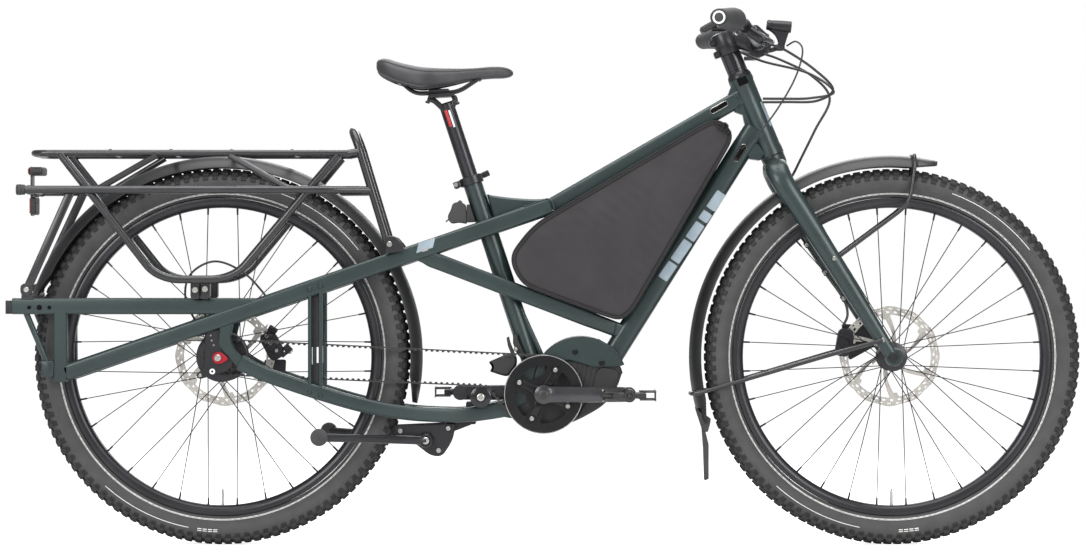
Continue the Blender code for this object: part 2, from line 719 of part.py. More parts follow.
# Wheels
def make_wheel(prefix, axle, hub_half, drive_end, hub_radius, flange_radius, flange_y, rotor_y):
    centre = at(axle)
    half = TYRE_WIDTH / 2
    tyre = [
        (TYRE_INNER_RADIUS, -TYRE_BEAD_HALF), (TYRE_INNER_RADIUS + 0.030, -half),
        (WHEEL_RADIUS - 0.010, -0.029),
        (WHEEL_RADIUS, -0.012), (WHEEL_RADIUS, 0.012), (WHEEL_RADIUS - 0.010, 0.029),
        (TYRE_INNER_RADIUS + 0.030, half), (TYRE_INNER_RADIUS, TYRE_BEAD_HALF),
    ]
    part(prefix + "_tyre", TYRE_RUBBER, [turned("tyre", tyre, centre)])
    edge = TYRE_INNER_RADIUS - RUNNING
    rim = [
        (RIM_INNER_RADIUS, -0.008), (RIM_INNER_RADIUS + 0.006, -RIM_WIDTH / 2), (edge, -RIM_WIDTH / 2),
        (edge, RIM_WIDTH / 2), (RIM_INNER_RADIUS + 0.006, RIM_WIDTH / 2), (RIM_INNER_RADIUS, 0.008),
    ]
    part(prefix + "_rim", ALUMINIUM, [turned("rim", rim, centre)])
    shell = [
        (0.0, -drive_end), (AXLE_RADIUS, -drive_end), (AXLE_RADIUS, -flange_y - 0.004),
        (flange_radius, -flange_y - 0.0025), (flange_radius, -flange_y + 0.0015),
        (hub_radius, -flange_y + 0.005),
        (hub_radius, flange_y - 0.005), (flange_radius, flange_y - 0.0015),
        (flange_radius, flange_y + 0.0025),
        (AXLE_RADIUS * 1.8, flange_y + 0.005), (AXLE_RADIUS * 1.8, rotor_y), (AXLE_RADIUS, rotor_y + 0.002),
        (AXLE_RADIUS, hub_half), (0.0, hub_half),
    ]
    pieces = [turned("hub", shell[::-1], centre, steps=HUB_STEPS)]
    pitch = flange_radius - 0.003
    for k in range(SPOKES):
        side = 1 if k % 2 else -1
        angle = 2 * math.pi * (k + 0.5) / SPOKES
        lean = math.radians(38) * (1 if k % 4 < 2 else -1)
        start = (axle[0] + pitch * math.cos(angle + lean), axle[1] + pitch * math.sin(angle + lean))
        reach = RIM_INNER_RADIUS * math.cos(math.pi / ROUND_STEPS) - RUNNING
        end = (axle[0] + reach * math.cos(angle), axle[1] + reach * math.sin(angle))
        out = flange_y + (0.0010 if lean > 0 else -0.0010)
        pieces.append(rod("spoke", at(start, side * out), at(end, side * 0.003), SPOKE_RADIUS, sides=3))
    ring = ROTOR_RADIUS - ROTOR_RING_WIDTH
    hole = AXLE_RADIUS * 1.8
    windows = []
    for k in range(ROTOR_ARMS):
        a = 2 * math.pi * k / ROTOR_ARMS
        step = 2 * math.pi / ROTOR_ARMS
        outer = circle(axle, ring, 3, a + 0.10, a + step - 0.12)
        inner = circle(axle, hole + 0.012, 2, a + 0.62, a + step + 0.10)
        windows.append(outer + inner[::-1])
    loops = [circle(axle, ROTOR_RADIUS, 20), *windows]
    low, high = rotor_y - ROTOR_THICKNESS / 2, rotor_y + ROTOR_THICKNESS / 2
    pieces.append(plate("rotor", loops, low, high))
    part(prefix + "_hub", ALUMINIUM, pieces)


def make_wheels():
    make_wheel("rear", REAR_AXLE, REAR_HUB_HALF, REAR_HUB_DRIVE_END, REAR_HUB_RADIUS, REAR_FLANGE_RADIUS,
               REAR_FLANGE_Y, REAR_ROTOR_Y)
    make_wheel("front", FRONT_AXLE, FRONT_HUB_HALF, FRONT_HUB_HALF, FRONT_HUB_RADIUS, FRONT_FLANGE_RADIUS,
               FRONT_FLANGE_Y, FRONT_ROTOR_Y)


# Drive


def side_band(centre_y, width):
    return centre_y - width / 2, centre_y + width / 2


def tangent_points(a, ra, b, rb):
    """Where a straight run leaves circle a and meets circle b, on its right when a radius is positive."""
    a, b = Vector(a), Vector(b)
    gap = (b - a).length
    base = math.atan2(b.y - a.y, b.x - a.x)
    turn = base + math.acos((ra - rb) / gap)
    way = Vector((math.cos(turn), math.sin(turn)))
    return a + way * ra, b + way * rb


def belt_loop(offset):
    """The belt's line that far outside its pitch line: sprocket, ring and idler in turn, clockwise."""
    wheels = [
        (REAR_AXLE, SPROCKET_RADIUS + offset),
        (CRANK_AXLE, RING_RADIUS + offset),
        (IDLER_AXLE, -(IDLER_RADIUS + RUNNING + BELT_BACK - offset)),
    ]
    loop = []
    for i, (centre, radius) in enumerate(wheels):
        before, after = wheels[i - 1], wheels[(i + 1) % 3]
        arrive = tangent_points(before[0], before[1], centre, radius)[1]
        leave = tangent_points(centre, radius, after[0], after[1])[0]
        start = math.atan2(arrive.y - centre[1], arrive.x - centre[0])
        end = math.atan2(leave.y - centre[1], leave.x - centre[0])
        if radius > 0 and end > start:
            end -= 2 * math.pi
        if radius < 0 and end < start:
            end += 2 * math.pi
        steps = max(3, int(abs(end - start) / 0.16))
        loop += circle(centre, abs(radius), steps, start, end)
    return loop


def make_drive():
    low, high = side_band(BELT_Y, BELT_WIDTH)
    part("belt", BELT_MATERIAL, [plate("belt", [belt_loop(BELT_BACK), belt_loop(-BELT_FRONT)], low, high)])
    inside = BELT_FRONT + RUNNING
    cog = circle(REAR_AXLE, SPROCKET_RADIUS - inside, 22)
    hole = circle(REAR_AXLE, AXLE_RADIUS + RUNNING, 10)
    flange = circle(REAR_AXLE, SPROCKET_RADIUS + 0.003, 22)
    part("rear_sprocket", STEEL, [plate("cog", [cog, hole], low - 0.0005, high + 0.0005),
                                  plate("flange", [flange, hole], high + 0.0001, high + 0.0020)],
                                  pivot=at(REAR_AXLE, BELT_Y))
    guard_low = low - 0.0025
    shell = circle(CRANK_AXLE, RING_RADIUS - inside, 26)
    rim = circle(CRANK_AXLE, 0.0625, 20)
    windows = []
    for k in range(4):
        a = math.radians(49 + 90 * k)
        windows.append(circle(CRANK_AXLE, 0.0570, 3, a - 0.50, a + 0.50) + circle(CRANK_AXLE, 0.036, 2,
                                                                                  a - 0.38, a + 0.38)[::-1])
    hole = circle(CRANK_AXLE, SPINDLE_RADIUS + SEAT, 20)
    guard = circle(CRANK_AXLE, GUARD_RADIUS, 26)
    part("belt_ring", ALUMINIUM, [plate("teeth", [shell, rim], guard_low + 0.0004, high),
                                  plate("guard", [guard, hole, *windows], guard_low - 0.0018,
                                        guard_low + 0.0006)],
         pivot=at(CRANK_AXLE, BELT_Y))
    for name, side, ahead in (("crank_right", -1, 1), ("crank_left", 1, -1)):
        inner, outer = ARM_INNER_Y, ARM_INNER_Y + ARM_THICKNESS
        y0, y1 = (inner, outer) if side > 0 else (-outer, -inner)
        eye = (CRANK_AXLE[0] + ahead * CRANK_LENGTH, CRANK_AXLE[1])
        pieces = [
            beam("arm", at(CRANK_AXLE, side * (inner + outer) / 2), at(eye, side * (inner + outer) / 2),
                 0.028, 0.013, 0.004),
            plate("boss", [circle(CRANK_AXLE, 0.019, 16)], y0, y1),
            plate("eye", [circle(eye, 0.0155, 14)], y0, y1),
            rod("pedal axle", at(eye, side * (outer - 0.001)), at(eye, side * (outer + 0.100)),
                PEDAL_AXLE_RADIUS, sides=12),
        ]
        spindle_end = -(ARM_INNER_Y - SEAT)
        if side > 0:
            pieces.append(rod("spindle", at(CRANK_AXLE, y0 + 0.001), at(CRANK_AXLE, spindle_end),
                              SPINDLE_RADIUS, sides=12))
        part(name, ALUMINIUM, pieces, pivot=at(CRANK_AXLE, side * (inner + outer) / 2))
        centre_y = side * (outer + 0.005 + PEDAL_WIDTH / 2)
        x, half = eye[0], PEDAL_LENGTH / 2
        low_y, high_y = side_band(centre_y, PEDAL_WIDTH)
        outline = rounded([(x - half, low_y), (x + half, low_y), (x + half, high_y), (x - half, high_y)],
                          0.010)
        slots = []
        for way in (-1, 1):
            near, far = x + way * 0.016, x + way * (half - 0.010)
            slot = [(near, low_y + 0.012), (far, low_y + 0.012), (far, high_y - 0.012),
                    (near, high_y - 0.012)]
            slots.append(slot if way > 0 else slot[::-1])
        body = level_plate("pedal", [outline, *slots], eye[1] - 0.0105, eye[1] + 0.0105)
        bore = rod("axle bore", at(eye, side * (outer + 0.002)), at(eye, side * (outer + 0.104)),
                   PEDAL_AXLE_RADIUS + RUNNING, sides=12)
        pedal = "pedal_right" if side < 0 else "pedal_left"
        part(pedal, PLASTIC, [body], [bore], pivot=at(eye, centre_y))
    wheel = rod("idler", at(IDLER_AXLE, low - 0.0005), at(IDLER_AXLE, high + 0.0005), IDLER_RADIUS, sides=18)
    bore = rod("idler bore", at(IDLER_AXLE, -0.07), at(IDLER_AXLE, -0.03), IDLER_BORE, sides=16)
    part("idler", PLASTIC, [wheel], [bore], pivot=at(IDLER_AXLE, BELT_Y))


# Steering group
def fork_leg(side, grow=0.0):
    return rod("leg", steer(0.196, -0.006, side * FORK_Y), steer(0.623, 0.0640, side * (FORK_Y + 0.002)),
               FORK_TOP_DEPTH / 2 + grow, FORK_END_DEPTH / 2 + grow, 12, FORK_TOP_WIDTH / FORK_TOP_DEPTH)


def make_fork():
    pieces = [
        rod("steerer", steer(-0.0915), steer(HEAD_LENGTH + 0.010), STEERER_RADIUS, sides=16),
        rod("crown", steer(HEAD_LENGTH + SEAT), steer(0.204), CROWN_RADIUS, 0.019, sides=12),
    ]
    for side in (1, -1):
        inner = FRONT_HUB_HALF + RUNNING
        pieces.append(rod("crown arm", steer(0.186, 0, side * 0.006),
                          steer(0.200, -0.005, side * (FORK_Y + 0.001)), 0.0185, 0.0180))
        pieces.append(fork_leg(side))
        pieces.append(rod("dropout", at(FRONT_AXLE, side * inner), at(FRONT_AXLE, side * (inner + 0.018)),
                          0.0190, 0.0170, 16))
        pieces.append(rod("axle head", at(FRONT_AXLE, side * (inner + 0.017)),
                          at(FRONT_AXLE, side * (inner + 0.024)), 0.0105))
    part("fork", PAINT, pieces)


def caliper(name, centre, tilt, rotor_y, size, wall_inner, wall_outer, extra=(), cuts=()):
    """A brake body round the rotor's edge, open where the rotor runs."""
    thick = wall_inner + wall_outer
    middle = rotor_y + (wall_outer - wall_inner) / 2
    body = box("caliper", (size[0], thick, size[1]), at(centre, middle), tilt)
    return part(name, ALUMINIUM, [body, *extra], cuts)


def rotor_slot(axle, rotor_y):
    return rod("rotor slot", at(axle, rotor_y - 0.0028), at(axle, rotor_y + 0.0028), ROTOR_RADIUS + 0.0025,
               sides=24)


def make_calipers():
    plate_low = FORK_Y - 0.0075
    mount = plate("mount", [[(0.596, 0.440), (0.664, 0.436), (0.678, 0.402), (0.612, 0.366)]], plate_low,
                  plate_low + 0.006)
    caliper("front_caliper", (0.602, 0.402), math.radians(-100), FRONT_ROTOR_Y, (0.058, 0.034), 0.014, 0.0175,
            [mount], [rotor_slot(FRONT_AXLE, FRONT_ROTOR_Y), fork_leg(1, SEAT)])
    outer = RAIL_Y - STAY_WIDTH / 2 - SEAT - REAR_ROTOR_Y
    tab_low, tab_high = REAR_ROTOR_Y + 0.0036, REAR_ROTOR_Y + outer
    tab = plate("mount tab", [[(-0.566, 0.368), (-0.522, 0.368), (-0.524, 0.326), (-0.566, 0.336)]], tab_low,
                tab_high)
    caliper("rear_caliper", (-0.550, 0.388), math.radians(-62), REAR_ROTOR_Y, (0.062, 0.036), 0.016, outer,
            [tab], [rotor_slot(REAR_AXLE, REAR_ROTOR_Y)])


def bar_half(side):
    return [at(BAR_CENTRE, side * 0.030), at((0.405, 1.013), side * 0.130), at((0.372, 1.031), side * 0.250),
            at((0.3325, 1.0285), side * BAR_HALF)]


def bar_point(y, side):
    """A point on the handlebar's straight outer part, at that distance from the middle."""
    a, b = bar_half(side)[2:]
    return a.lerp(b, (y - 0.250) / (BAR_HALF - 0.250))


def lever_pivot(side):
    """The lever's pivot, from the middle of the mount's band."""
    return Vector((0.040, side * 0.012, -0.028))


def make_cockpit():
    grip_start = 0.245
    path = bar_half(1)[::-1] + bar_half(-1)
    clamp_rod = rod("clamp sleeve", at(BAR_CENTRE, -0.035), at(BAR_CENTRE, 0.035), BAR_RADIUS, sides=16)
    part("handlebar", ALUMINIUM, [bar("handlebar", path, BAR_TUBE_RADIUS, 0.05, resolution=2), clamp_rod])
    for name, side in (("grip_left", 1), ("grip_right", -1)):
        start, end = bar_point(grip_start, side), bar_point(BAR_HALF + 0.003, side)
        body = rod("grip", start, end, GRIP_WING_RADIUS, GRIP_RADIUS, 16)
        bore = bar("bar bore", bar_half(side)[1:], BAR_TUBE_RADIUS + SEAT, 0.05, resolution=2)
        part(name, SOFT_RUBBER, [body], [bore])
    stem_low, stem_high = STEERER_ABOVE * -1 + 0.0035, -0.0975
    ring = plate("bar clamp", [circle(BAR_CENTRE, 0.0235, 14)], -0.021, 0.021)
    neck = beam("neck", steer(-0.074, 0.006), at(BAR_CENTRE), 0.032, 0.034, 0.008)
    lamp_arm = beam("lamp arm", at((0.443, 0.995)), at(LAMP_PIVOT), 0.011, 0.012, 0.002)
    lugs = [box("pinch lug", (0.020, 0.030, 0.014), steer(down, -0.030), HEAD_ANGLE) for down in (-0.060,
                                                                                                  -0.084)]
    cuts = [rod("steerer bore", steer(-0.040), steer(-0.0921), STEERER_RADIUS + SEAT, sides=16),
            rod("bar bore", at(BAR_CENTRE, -0.03), at(BAR_CENTRE, 0.03), BAR_RADIUS + SEAT, sides=16),
            rod("lamp room", at(LAMP_PIVOT, -0.0045), at(LAMP_PIVOT, 0.0045), 0.0110, sides=16),
            rod("lamp pin room", at(LAMP_PIVOT, -0.02), at(LAMP_PIVOT, 0.02), 0.0022, sides=10)]
    shell = [(0.0, 0.0), (0.0105, 0.001), (0.0120, 0.030), (0.0118, 0.050), (0.0, 0.0505)]
    lamp = turned("lamp", shell[::-1], at((0.4425, 1.0385)), axis=Vector((1, 0, -0.10)), steps=16)
    stalk = beam("stalk", at((0.470, 1.034)), at(LAMP_PIVOT), 0.016, 0.0080, 0.002)
    eye = rod("eye", at(LAMP_PIVOT, -0.0040), at(LAMP_PIVOT, 0.0040), 0.0070, sides=16)
    pin = rod("lamp pin", at(LAMP_PIVOT, -0.0058), at(LAMP_PIVOT, 0.0058), 0.0019, sides=10)
    part("headlight", PLASTIC, [stalk, lamp, eye, pin], pivot=at(LAMP_PIVOT))
    screen = beam("display", at((0.3270, 1.0340), -0.026), at((0.3270, 1.0340), 0.026), 0.036, 0.014, 0.004)
    screen.data.transform(Matrix.Translation(at((0.3270, 1.0340))) @ Matrix.Rotation(math.radians(-30), 4,
                                                                                     "Y")
                          @ Matrix.Translation(-at((0.3270, 1.0340))))
    arm = bar("display arm", [at((0.330, 1.030)), at((0.380, 1.032)), at((0.417, 1.022))], 0.0050, 0.02)
    band = plate("display band", [circle(BAR_CENTRE, 0.0270, 12)], -0.006, 0.006)
    body = rod("stem", steer(stem_low), steer(stem_high), 0.0245, sides=16)
    part("stem", ALUMINIUM, [body, ring, neck, lamp_arm, *lugs, screen, arm, band], cuts)
    for name, side in (("lever_mount_left", 1), ("lever_mount_right", -1)):
        a, b = bar_half(side)[1:3]
        centre, way = a.lerp(b, 0.50), (b - a).normalized()
        band = rod("band", centre - way * 0.008, centre + way * 0.008, BAR_TUBE_RADIUS + 0.0045, sides=16)
        tank = rod("reservoir", centre + Vector((0.012, 0, -0.008)),
                   centre + Vector((0.050, -side * 0.035, -0.030)),
                   0.0120, 0.0080, 16)
        yoke = rod("yoke", centre + Vector((0.014, side * 0.001, -0.012)),
                   centre + Vector((0.043, side * 0.012, -0.030)), 0.0115)
        bore = bar("bar bore", bar_half(side)[:3], BAR_TUBE_RADIUS + SEAT, 0.05, resolution=2)
        pivot = centre + lever_pivot(side)
        room = rod("lever room", pivot - LEVER_AXIS * 0.0055, pivot + LEVER_AXIS * 0.0055, 0.0125, sides=16)
        pieces, cuts = [band, tank, yoke], [bore, room]
        if side > 0:
            box_centre = REMOTE_FACE + Vector((0.004, 0.002, 0))
            pieces.append(box("remote", (0.032, 0.024, 0.016), box_centre, math.radians(30)))
            pieces.append(rod("remote arm", box_centre, centre + Vector((-0.004, -0.004, -0.014)), 0.0060,
                              sides=12))
            cuts.append(rod("button well", REMOTE_FACE + REMOTE_UP * 0.0045, REMOTE_FACE + REMOTE_UP * 0.03,
                            0.0048, sides=16))
        part(name, ALUMINIUM, pieces, cuts)
        reach = [pivot, pivot + Vector((0.010, side * 0.040, -0.004)),
                 pivot + Vector((0.006, side * 0.095, -0.006)),
                 pivot + Vector((-0.012, side * 0.135, -0.004))]
        boss = rod("lever boss", pivot - LEVER_AXIS * 0.0048, pivot + LEVER_AXIS * 0.0048, 0.0070)
        lever = "brake_lever_left" if side > 0 else "brake_lever_right"
        part(lever, ALUMINIUM, [bar("lever", reach, 0.0048, 0.06), boss], pivot=pivot)
    face = REMOTE_FACE
    part("remote_button", PLASTIC,
         [rod("button", face + REMOTE_UP * 0.0058, face + REMOTE_UP * 0.0105, 0.0044, sides=16)],
         pivot=face + REMOTE_UP * 0.0058)


# Fenders
def fender_shell(name, axle, start, end):
    """An arched strip turned part of the way round an axle, from one angle above forward to another."""
    steps = 3
    arch = [(FENDER_RADIUS - FENDER_CROWN * (k / steps) ** 2, FENDER_HALF * k / steps) for k in range(-steps,
                                                                                                      steps + 1)]
    count = round((end - start) / math.radians(12))
    shell = turned(name, arch, at(axle), steps=count, angle=end - start, start=-end, closed=False)
    skin = shell.modifiers.new("Thickness", "SOLIDIFY")
    skin.thickness = FENDER_THICKNESS
    skin.offset = -1
    return shell


def on_circle(centre, radius, angle):
    return centre[0] + radius * math.cos(angle), centre[1] + radius * math.sin(angle)


def over_fender(axle, angle, foot, y_foot, bend):
    """A wire stay's path from one side's foot over the fender to the other side's."""
    way = Vector((math.cos(angle), 0, math.sin(angle)))
    top = at(axle) + way * (FENDER_RADIUS + 0.0015)
    edge = at(axle) + way * (FENDER_RADIUS - 0.018)
    y = FENDER_HALF + 0.0030
    half = [at(foot, y_foot), *bend, edge + Vector((0, y, 0)), top + Vector((0, y - 0.004, 0))]
    return half + mirrored(half)[::-1]


def make_fenders():
    front = fender_shell("front fender", FRONT_AXLE, FRONT_FENDER[0], FRONT_FENDER[1])
    leg_foot = steer(0.392, 0.006)
    foot = (leg_foot.x, leg_foot.z)
    upper = over_fender(FRONT_AXLE, math.radians(83.5), foot, FORK_Y - 0.012, [at((0.720, 0.676), 0.043)])
    low_foot = steer(0.600, 0.044)
    foot = (low_foot.x, low_foot.z)
    lower = over_fender(FRONT_AXLE, math.radians(190.5), foot, FORK_Y + 0.0055, [at((0.565, 0.372), 0.0655)])
    pieces = [front, bar("upper stay", upper, 0.0035, 0.012), bar("lower stay", lower, 0.0042, 0.012)]
    lap, tip = FRONT_FENDER[1] - math.radians(6), FRONT_FENDER[1]
    outside, inside = FENDER_RADIUS + 0.0008, FENDER_RADIUS - 0.0042
    flap = [on_circle(FRONT_AXLE, outside, lap), on_circle(FRONT_AXLE, inside, lap),
            on_circle(FRONT_AXLE, inside, tip),
            (0.3290, 0.200), (0.3300, 0.131), (0.3240, 0.128), (0.3225, 0.190),
            on_circle(FRONT_AXLE, outside, tip)]
    pieces.append(plate("mudflap", [flap], -0.026, 0.026))
    part("front_fender", PLASTIC, pieces, [fork_leg(1, SEAT), fork_leg(-1, SEAT)])
    rear = fender_shell("rear fender", REAR_AXLE, REAR_FENDER[0], REAR_FENDER[1])
    low, high = REAR_AXLE[1] + FENDER_RADIUS - 0.0090, DECK_BAR_Z - DECK_BAR_RADIUS + 0.0020
    boss = box("fender boss", (0.020, 0.018, high - low), (DECK_BARS[1], 0, (low + high) / 2))
    part("rear_fender", PLASTIC, [rear, boss], [rail(1, SEAT), rail(-1, SEAT), deck_bar(DECK_BARS[1], SEAT)])


# Saddle and seat post
def make_saddle():
    top = seat_axis(0.158)
    post = rod("post", seat_axis(-POST_INSERTED), top, POST_RADIUS, sides=24)
    head = box("head", (0.052, 0.058, 0.032), (-0.207, 0, 0.8870), 0.10)
    neck = rod("post neck", seat_axis(0.120), Vector((-0.207, 0, 0.888)), POST_RADIUS - 0.001, 0.018, 20)
    part("seatpost", ALUMINIUM, [post, neck, head], [rail_bed()], pivot=seat_axis(0.0))
    rails = []
    rails += [*saddle_wires(), *rail_ends()]
    clamp_z = SADDLE_RAIL_MIDDLE[1] + 0.0055
    rails.append(box("upper clamp", (0.040, 0.060, 0.006), (-0.212, 0, clamp_z), SADDLE_RAIL_PITCH))
    part("saddle_rails", STEEL, rails)
    part("saddle", SADDLE_COVER, [saddle_form()], [*rail_ends(SEAT), *saddle_wires(SEAT)])


def saddle_form():
    """A padded saddle: a coarse cage with a crown and drawn-in sides, smoothed once."""
    rows, columns = len(SADDLE_STATIONS), len(SADDLE_CROSS)
    bm = bmesh.new()
    bmesh.ops.create_grid(bm, x_segments=rows - 1, y_segments=columns - 1, size=0.5)
    top = sorted(bm.verts, key=lambda v: (round(v.co.x, 4), round(v.co.y, 4)))
    lower = bmesh.ops.extrude_face_region(bm, geom=list(bm.faces), use_keep_orig=True)["geom"]
    lower = [v for v in lower if isinstance(v, bmesh.types.BMVert)]
    lower.sort(key=lambda v: (round(v.co.x, 4), round(v.co.y, 4)))
    for i, (x, half, crown, edge) in enumerate(SADDLE_STATIONS):
        for j, (share, drop) in enumerate(SADDLE_CROSS):
            top[i * columns + j].co = (x, half * share, crown - drop)
            lower[i * columns + j].co = (x, half * share * SADDLE_DRAWN_IN, edge)
    bmesh.ops.recalc_face_normals(bm, faces=bm.faces)
    made = bmesh_piece("saddle", bm)
    smooth = made.modifiers.new("Smooth form", "SUBSURF")
    smooth.levels = smooth.render_levels = 1
    return made


def saddle_wires(grow=0.0):
    """The saddle's two bent rails."""
    made = []
    for side in (1, -1):
        y = side * SADDLE_RAIL_Y
        path = [at(SADDLE_HEEL, y), at(rail_point(-0.044), y), at(rail_point(0.044), y),
                at(SADDLE_NOSE, y * 0.7)]
        made.append(bar("saddle rail", path, SADDLE_RAIL_RADIUS + grow, 0.02, resolution=2))
    return made


def rail_ends(grow=0.0):
    """The rails' cross ends, which sit in the saddle's underside."""
    radius = RAIL_END_RADIUS + grow
    ends = [("rail heel", SADDLE_HEEL, 0.027), ("rail nose", SADDLE_NOSE, 0.020)]
    return [rod(name, at(place, -half - grow), at(place, half + grow), radius, sides=8) for name, place,
            half in ends]


def rail_point(ahead):
    """A plan position on the saddle rails' straight part, that far ahead of its middle."""
    x, z = SADDLE_RAIL_MIDDLE
    return x + ahead * math.cos(SADDLE_RAIL_PITCH), z + ahead * math.sin(SADDLE_RAIL_PITCH)


def rail_bed():
    """The room over the post's head, down to the underside of the rails."""
    height = 0.030
    x, z = SADDLE_RAIL_MIDDLE
    return box("rail bed", (0.080, 0.070, height), (x, 0, z - SADDLE_RAIL_RADIUS - SEAT + height / 2),
               SADDLE_RAIL_PITCH)


def make_seat_clamp():
    low, high = seat_axis(-0.0135), seat_axis(0.0035)
    collar = rod("collar", low, high, SEAT_TUBE_RADIUS + 0.0045, sides=20)
    ear = box("ear", (0.016, 2 * CLAMP_EAR_HALF, 0.013), seat_axis(-0.005) + Vector((-0.028, 0, -0.009)),
              math.radians(18))
    cuts = [rod("tube bore", seat_axis(-0.030), seat_axis(SEAT), SEAT_TUBE_RADIUS + SEAT, sides=20),
            rod("post bore", seat_axis(-0.01), seat_axis(0.02), POST_RADIUS + RUNNING, sides=24)]
    part("seat_clamp", ALUMINIUM, [collar, ear],
         [*cuts, box("slit", (0.05, 0.0016, 0.04), seat_axis(-0.005) + Vector((-0.042, 0, -0.009)))])
    up = at(SEAT_TUBE_UP)
    hinge = seat_axis(-0.005) + Vector((-0.0300, CLAMP_EAR_HALF + SEAT + CAM_RADIUS, -0.0095))
    path = [hinge, hinge + Vector((0.004, 0.0165, 0.001)), hinge + Vector((0.030, 0.0185, 0.008)),
            hinge + Vector((0.058, 0.0125, 0.017))]
    boss = rod("cam", hinge - up * 0.0075, hinge + up * 0.0075, CAM_RADIUS)
    part("seat_clamp_lever", ALUMINIUM, [bar("lever", path, 0.0036, 0.02), boss], pivot=hinge)


# Rack
def hoop_path():
    up = RACK_DECK_Z
    half = [(-0.308, -0.077, 0.5900), (-0.3700, -0.083, up + 0.0160), (-0.3800, -0.070, up + 0.0410),
            (-0.3810, -0.045, up + 0.0450)]
    return [Vector(p) for p in half] + mirrored(half)[::-1]


def hoop(grow=0.0):
    return bar("hoop", hoop_path(), 0.0085 + grow, 0.03)


def deck_rails(grow=0.0):
    front, back, y = DECK_FRONT, DECK_BACK, RACK_DECK_Y
    corners = [(front, -y), (front, y), (back, y), (back, -y)]
    return bar("deck", [(x, yy, RACK_DECK_Z) for x, yy in corners], RACK_RADIUS + grow, 0.015, closed=True)


def deck_bar(x, grow=0.0):
    return rod("deck bar", (x, -RACK_DECK_Y, DECK_BAR_Z), (x, RACK_DECK_Y, DECK_BAR_Z),
               DECK_BAR_RADIUS + grow, sides=8)


def make_rack():
    part("rack_deck", BLACK_PAINT, [deck_rails(), hoop(), *[deck_bar(x) for x in DECK_BARS]])
    for name, side in (("rack_side_left", 1), ("rack_side_right", -1)):
        lower = [(TAIL_X + 0.0265, 0.112, RACK_RAIL_Z), (-0.430, 0.112, RACK_RAIL_Z),
                 (-0.345, 0.080, RACK_RAIL_Z)]
        loop = [(DECK_BACK + 0.0490, 0.095, RACK_DECK_Z - 0.0025), (-0.775, 0.115, 0.5440),
                (-0.739, 0.115, 0.5290), (-0.641, 0.115, 0.5290),
                (-0.603, 0.115, 0.5440), (-0.477, 0.108, 0.6950), (-0.410, 0.095, RACK_DECK_Z - 0.0045)]
        deck_z, rail_z = RACK_DECK_Z - 0.0045, RACK_RAIL_Z + 0.0020
        braces = [[(-0.768, 0.095, deck_z), (-0.881, 0.112, rail_z)],
                  [(-0.624, 0.095, deck_z), (-0.507, 0.112, rail_z)]]
        leg = [(TAIL_X + 0.0410, 0.087, 0.5060), (-0.935, 0.110, RACK_RAIL_Z - 0.0010)]
        pieces = [bar("lower rail", [at((x, z), side * y) for x, y, z in lower], RACK_RADIUS, 0.03),
                  bar("loop", [at((x, z), side * y) for x, y, z in loop], RACK_RADIUS, 0.04)]
        for points in [*braces, leg]:
            (x0, y0, z0), (x1, y1, z1) = points
            pieces.append(rod("brace", (x0, side * y0, z0), (x1, side * y1, z1), 0.0065, sides=8))
        face = RAIL_Y + RAIL_WIDTH / 2 + SEAT
        pieces.append(box("tab", (0.040, 0.0040, 0.055), (-0.6780, side * (face + 0.002), 0.5030)))
        pieces.append(box("tab top", (0.040, 0.030, 0.005), (-0.6780, side * (face + 0.015), 0.5285)))
        pieces.append(box("leg foot", (0.026, 0.0050, 0.036),
                          (TAIL_X + 0.0375, side * (face + 0.0025), 0.4960)))
        pieces.append(rod("foot link", (TAIL_X + 0.0410, side * 0.084, 0.5030),
                          (TAIL_X + 0.0410, side * (face + 0.003), 0.5030), 0.0065, sides=8))
        cuts = [deck_rails(SEAT), hoop(SEAT), tail_beam(side)]
        part(name, BLACK_PAINT, pieces, cuts)
    x, z = TAIL_X + 0.0385, RACK_RAIL_Z
    shelf = rod("tail bar", (x, -0.1035, z), (x, 0.1035, z), 0.0055, sides=8)
    bracket = box("bracket", (0.004, 0.040, 0.100), (x - 0.0060, 0, z - 0.0010))
    light = box("light", (0.030, 0.080, 0.018), (x + 0.0040, 0, z + 0.0390))
    glass = box("reflector", (0.014, 0.060, 0.036), (x - 0.0020, 0, z - 0.0300))
    part("tail_light", LENS, [bracket, shelf, light, glass], [lower_rail_room(1), lower_rail_room(-1)])


def lower_rail_room(side):
    return rod("lower rail room", (TAIL_X + 0.0075, side * 0.112, RACK_RAIL_Z),
               (-0.95, side * 0.112, RACK_RAIL_Z),
               RACK_RADIUS + SEAT, sides=16)


def tail_beam(side):
    y = side * RAIL_Y
    return beam("tail rail room", (TAIL_X, y, TAIL_RAIL_Z), (-0.6, y, TAIL_RAIL_Z), 0.032, RAIL_WIDTH,
                grow=SEAT)


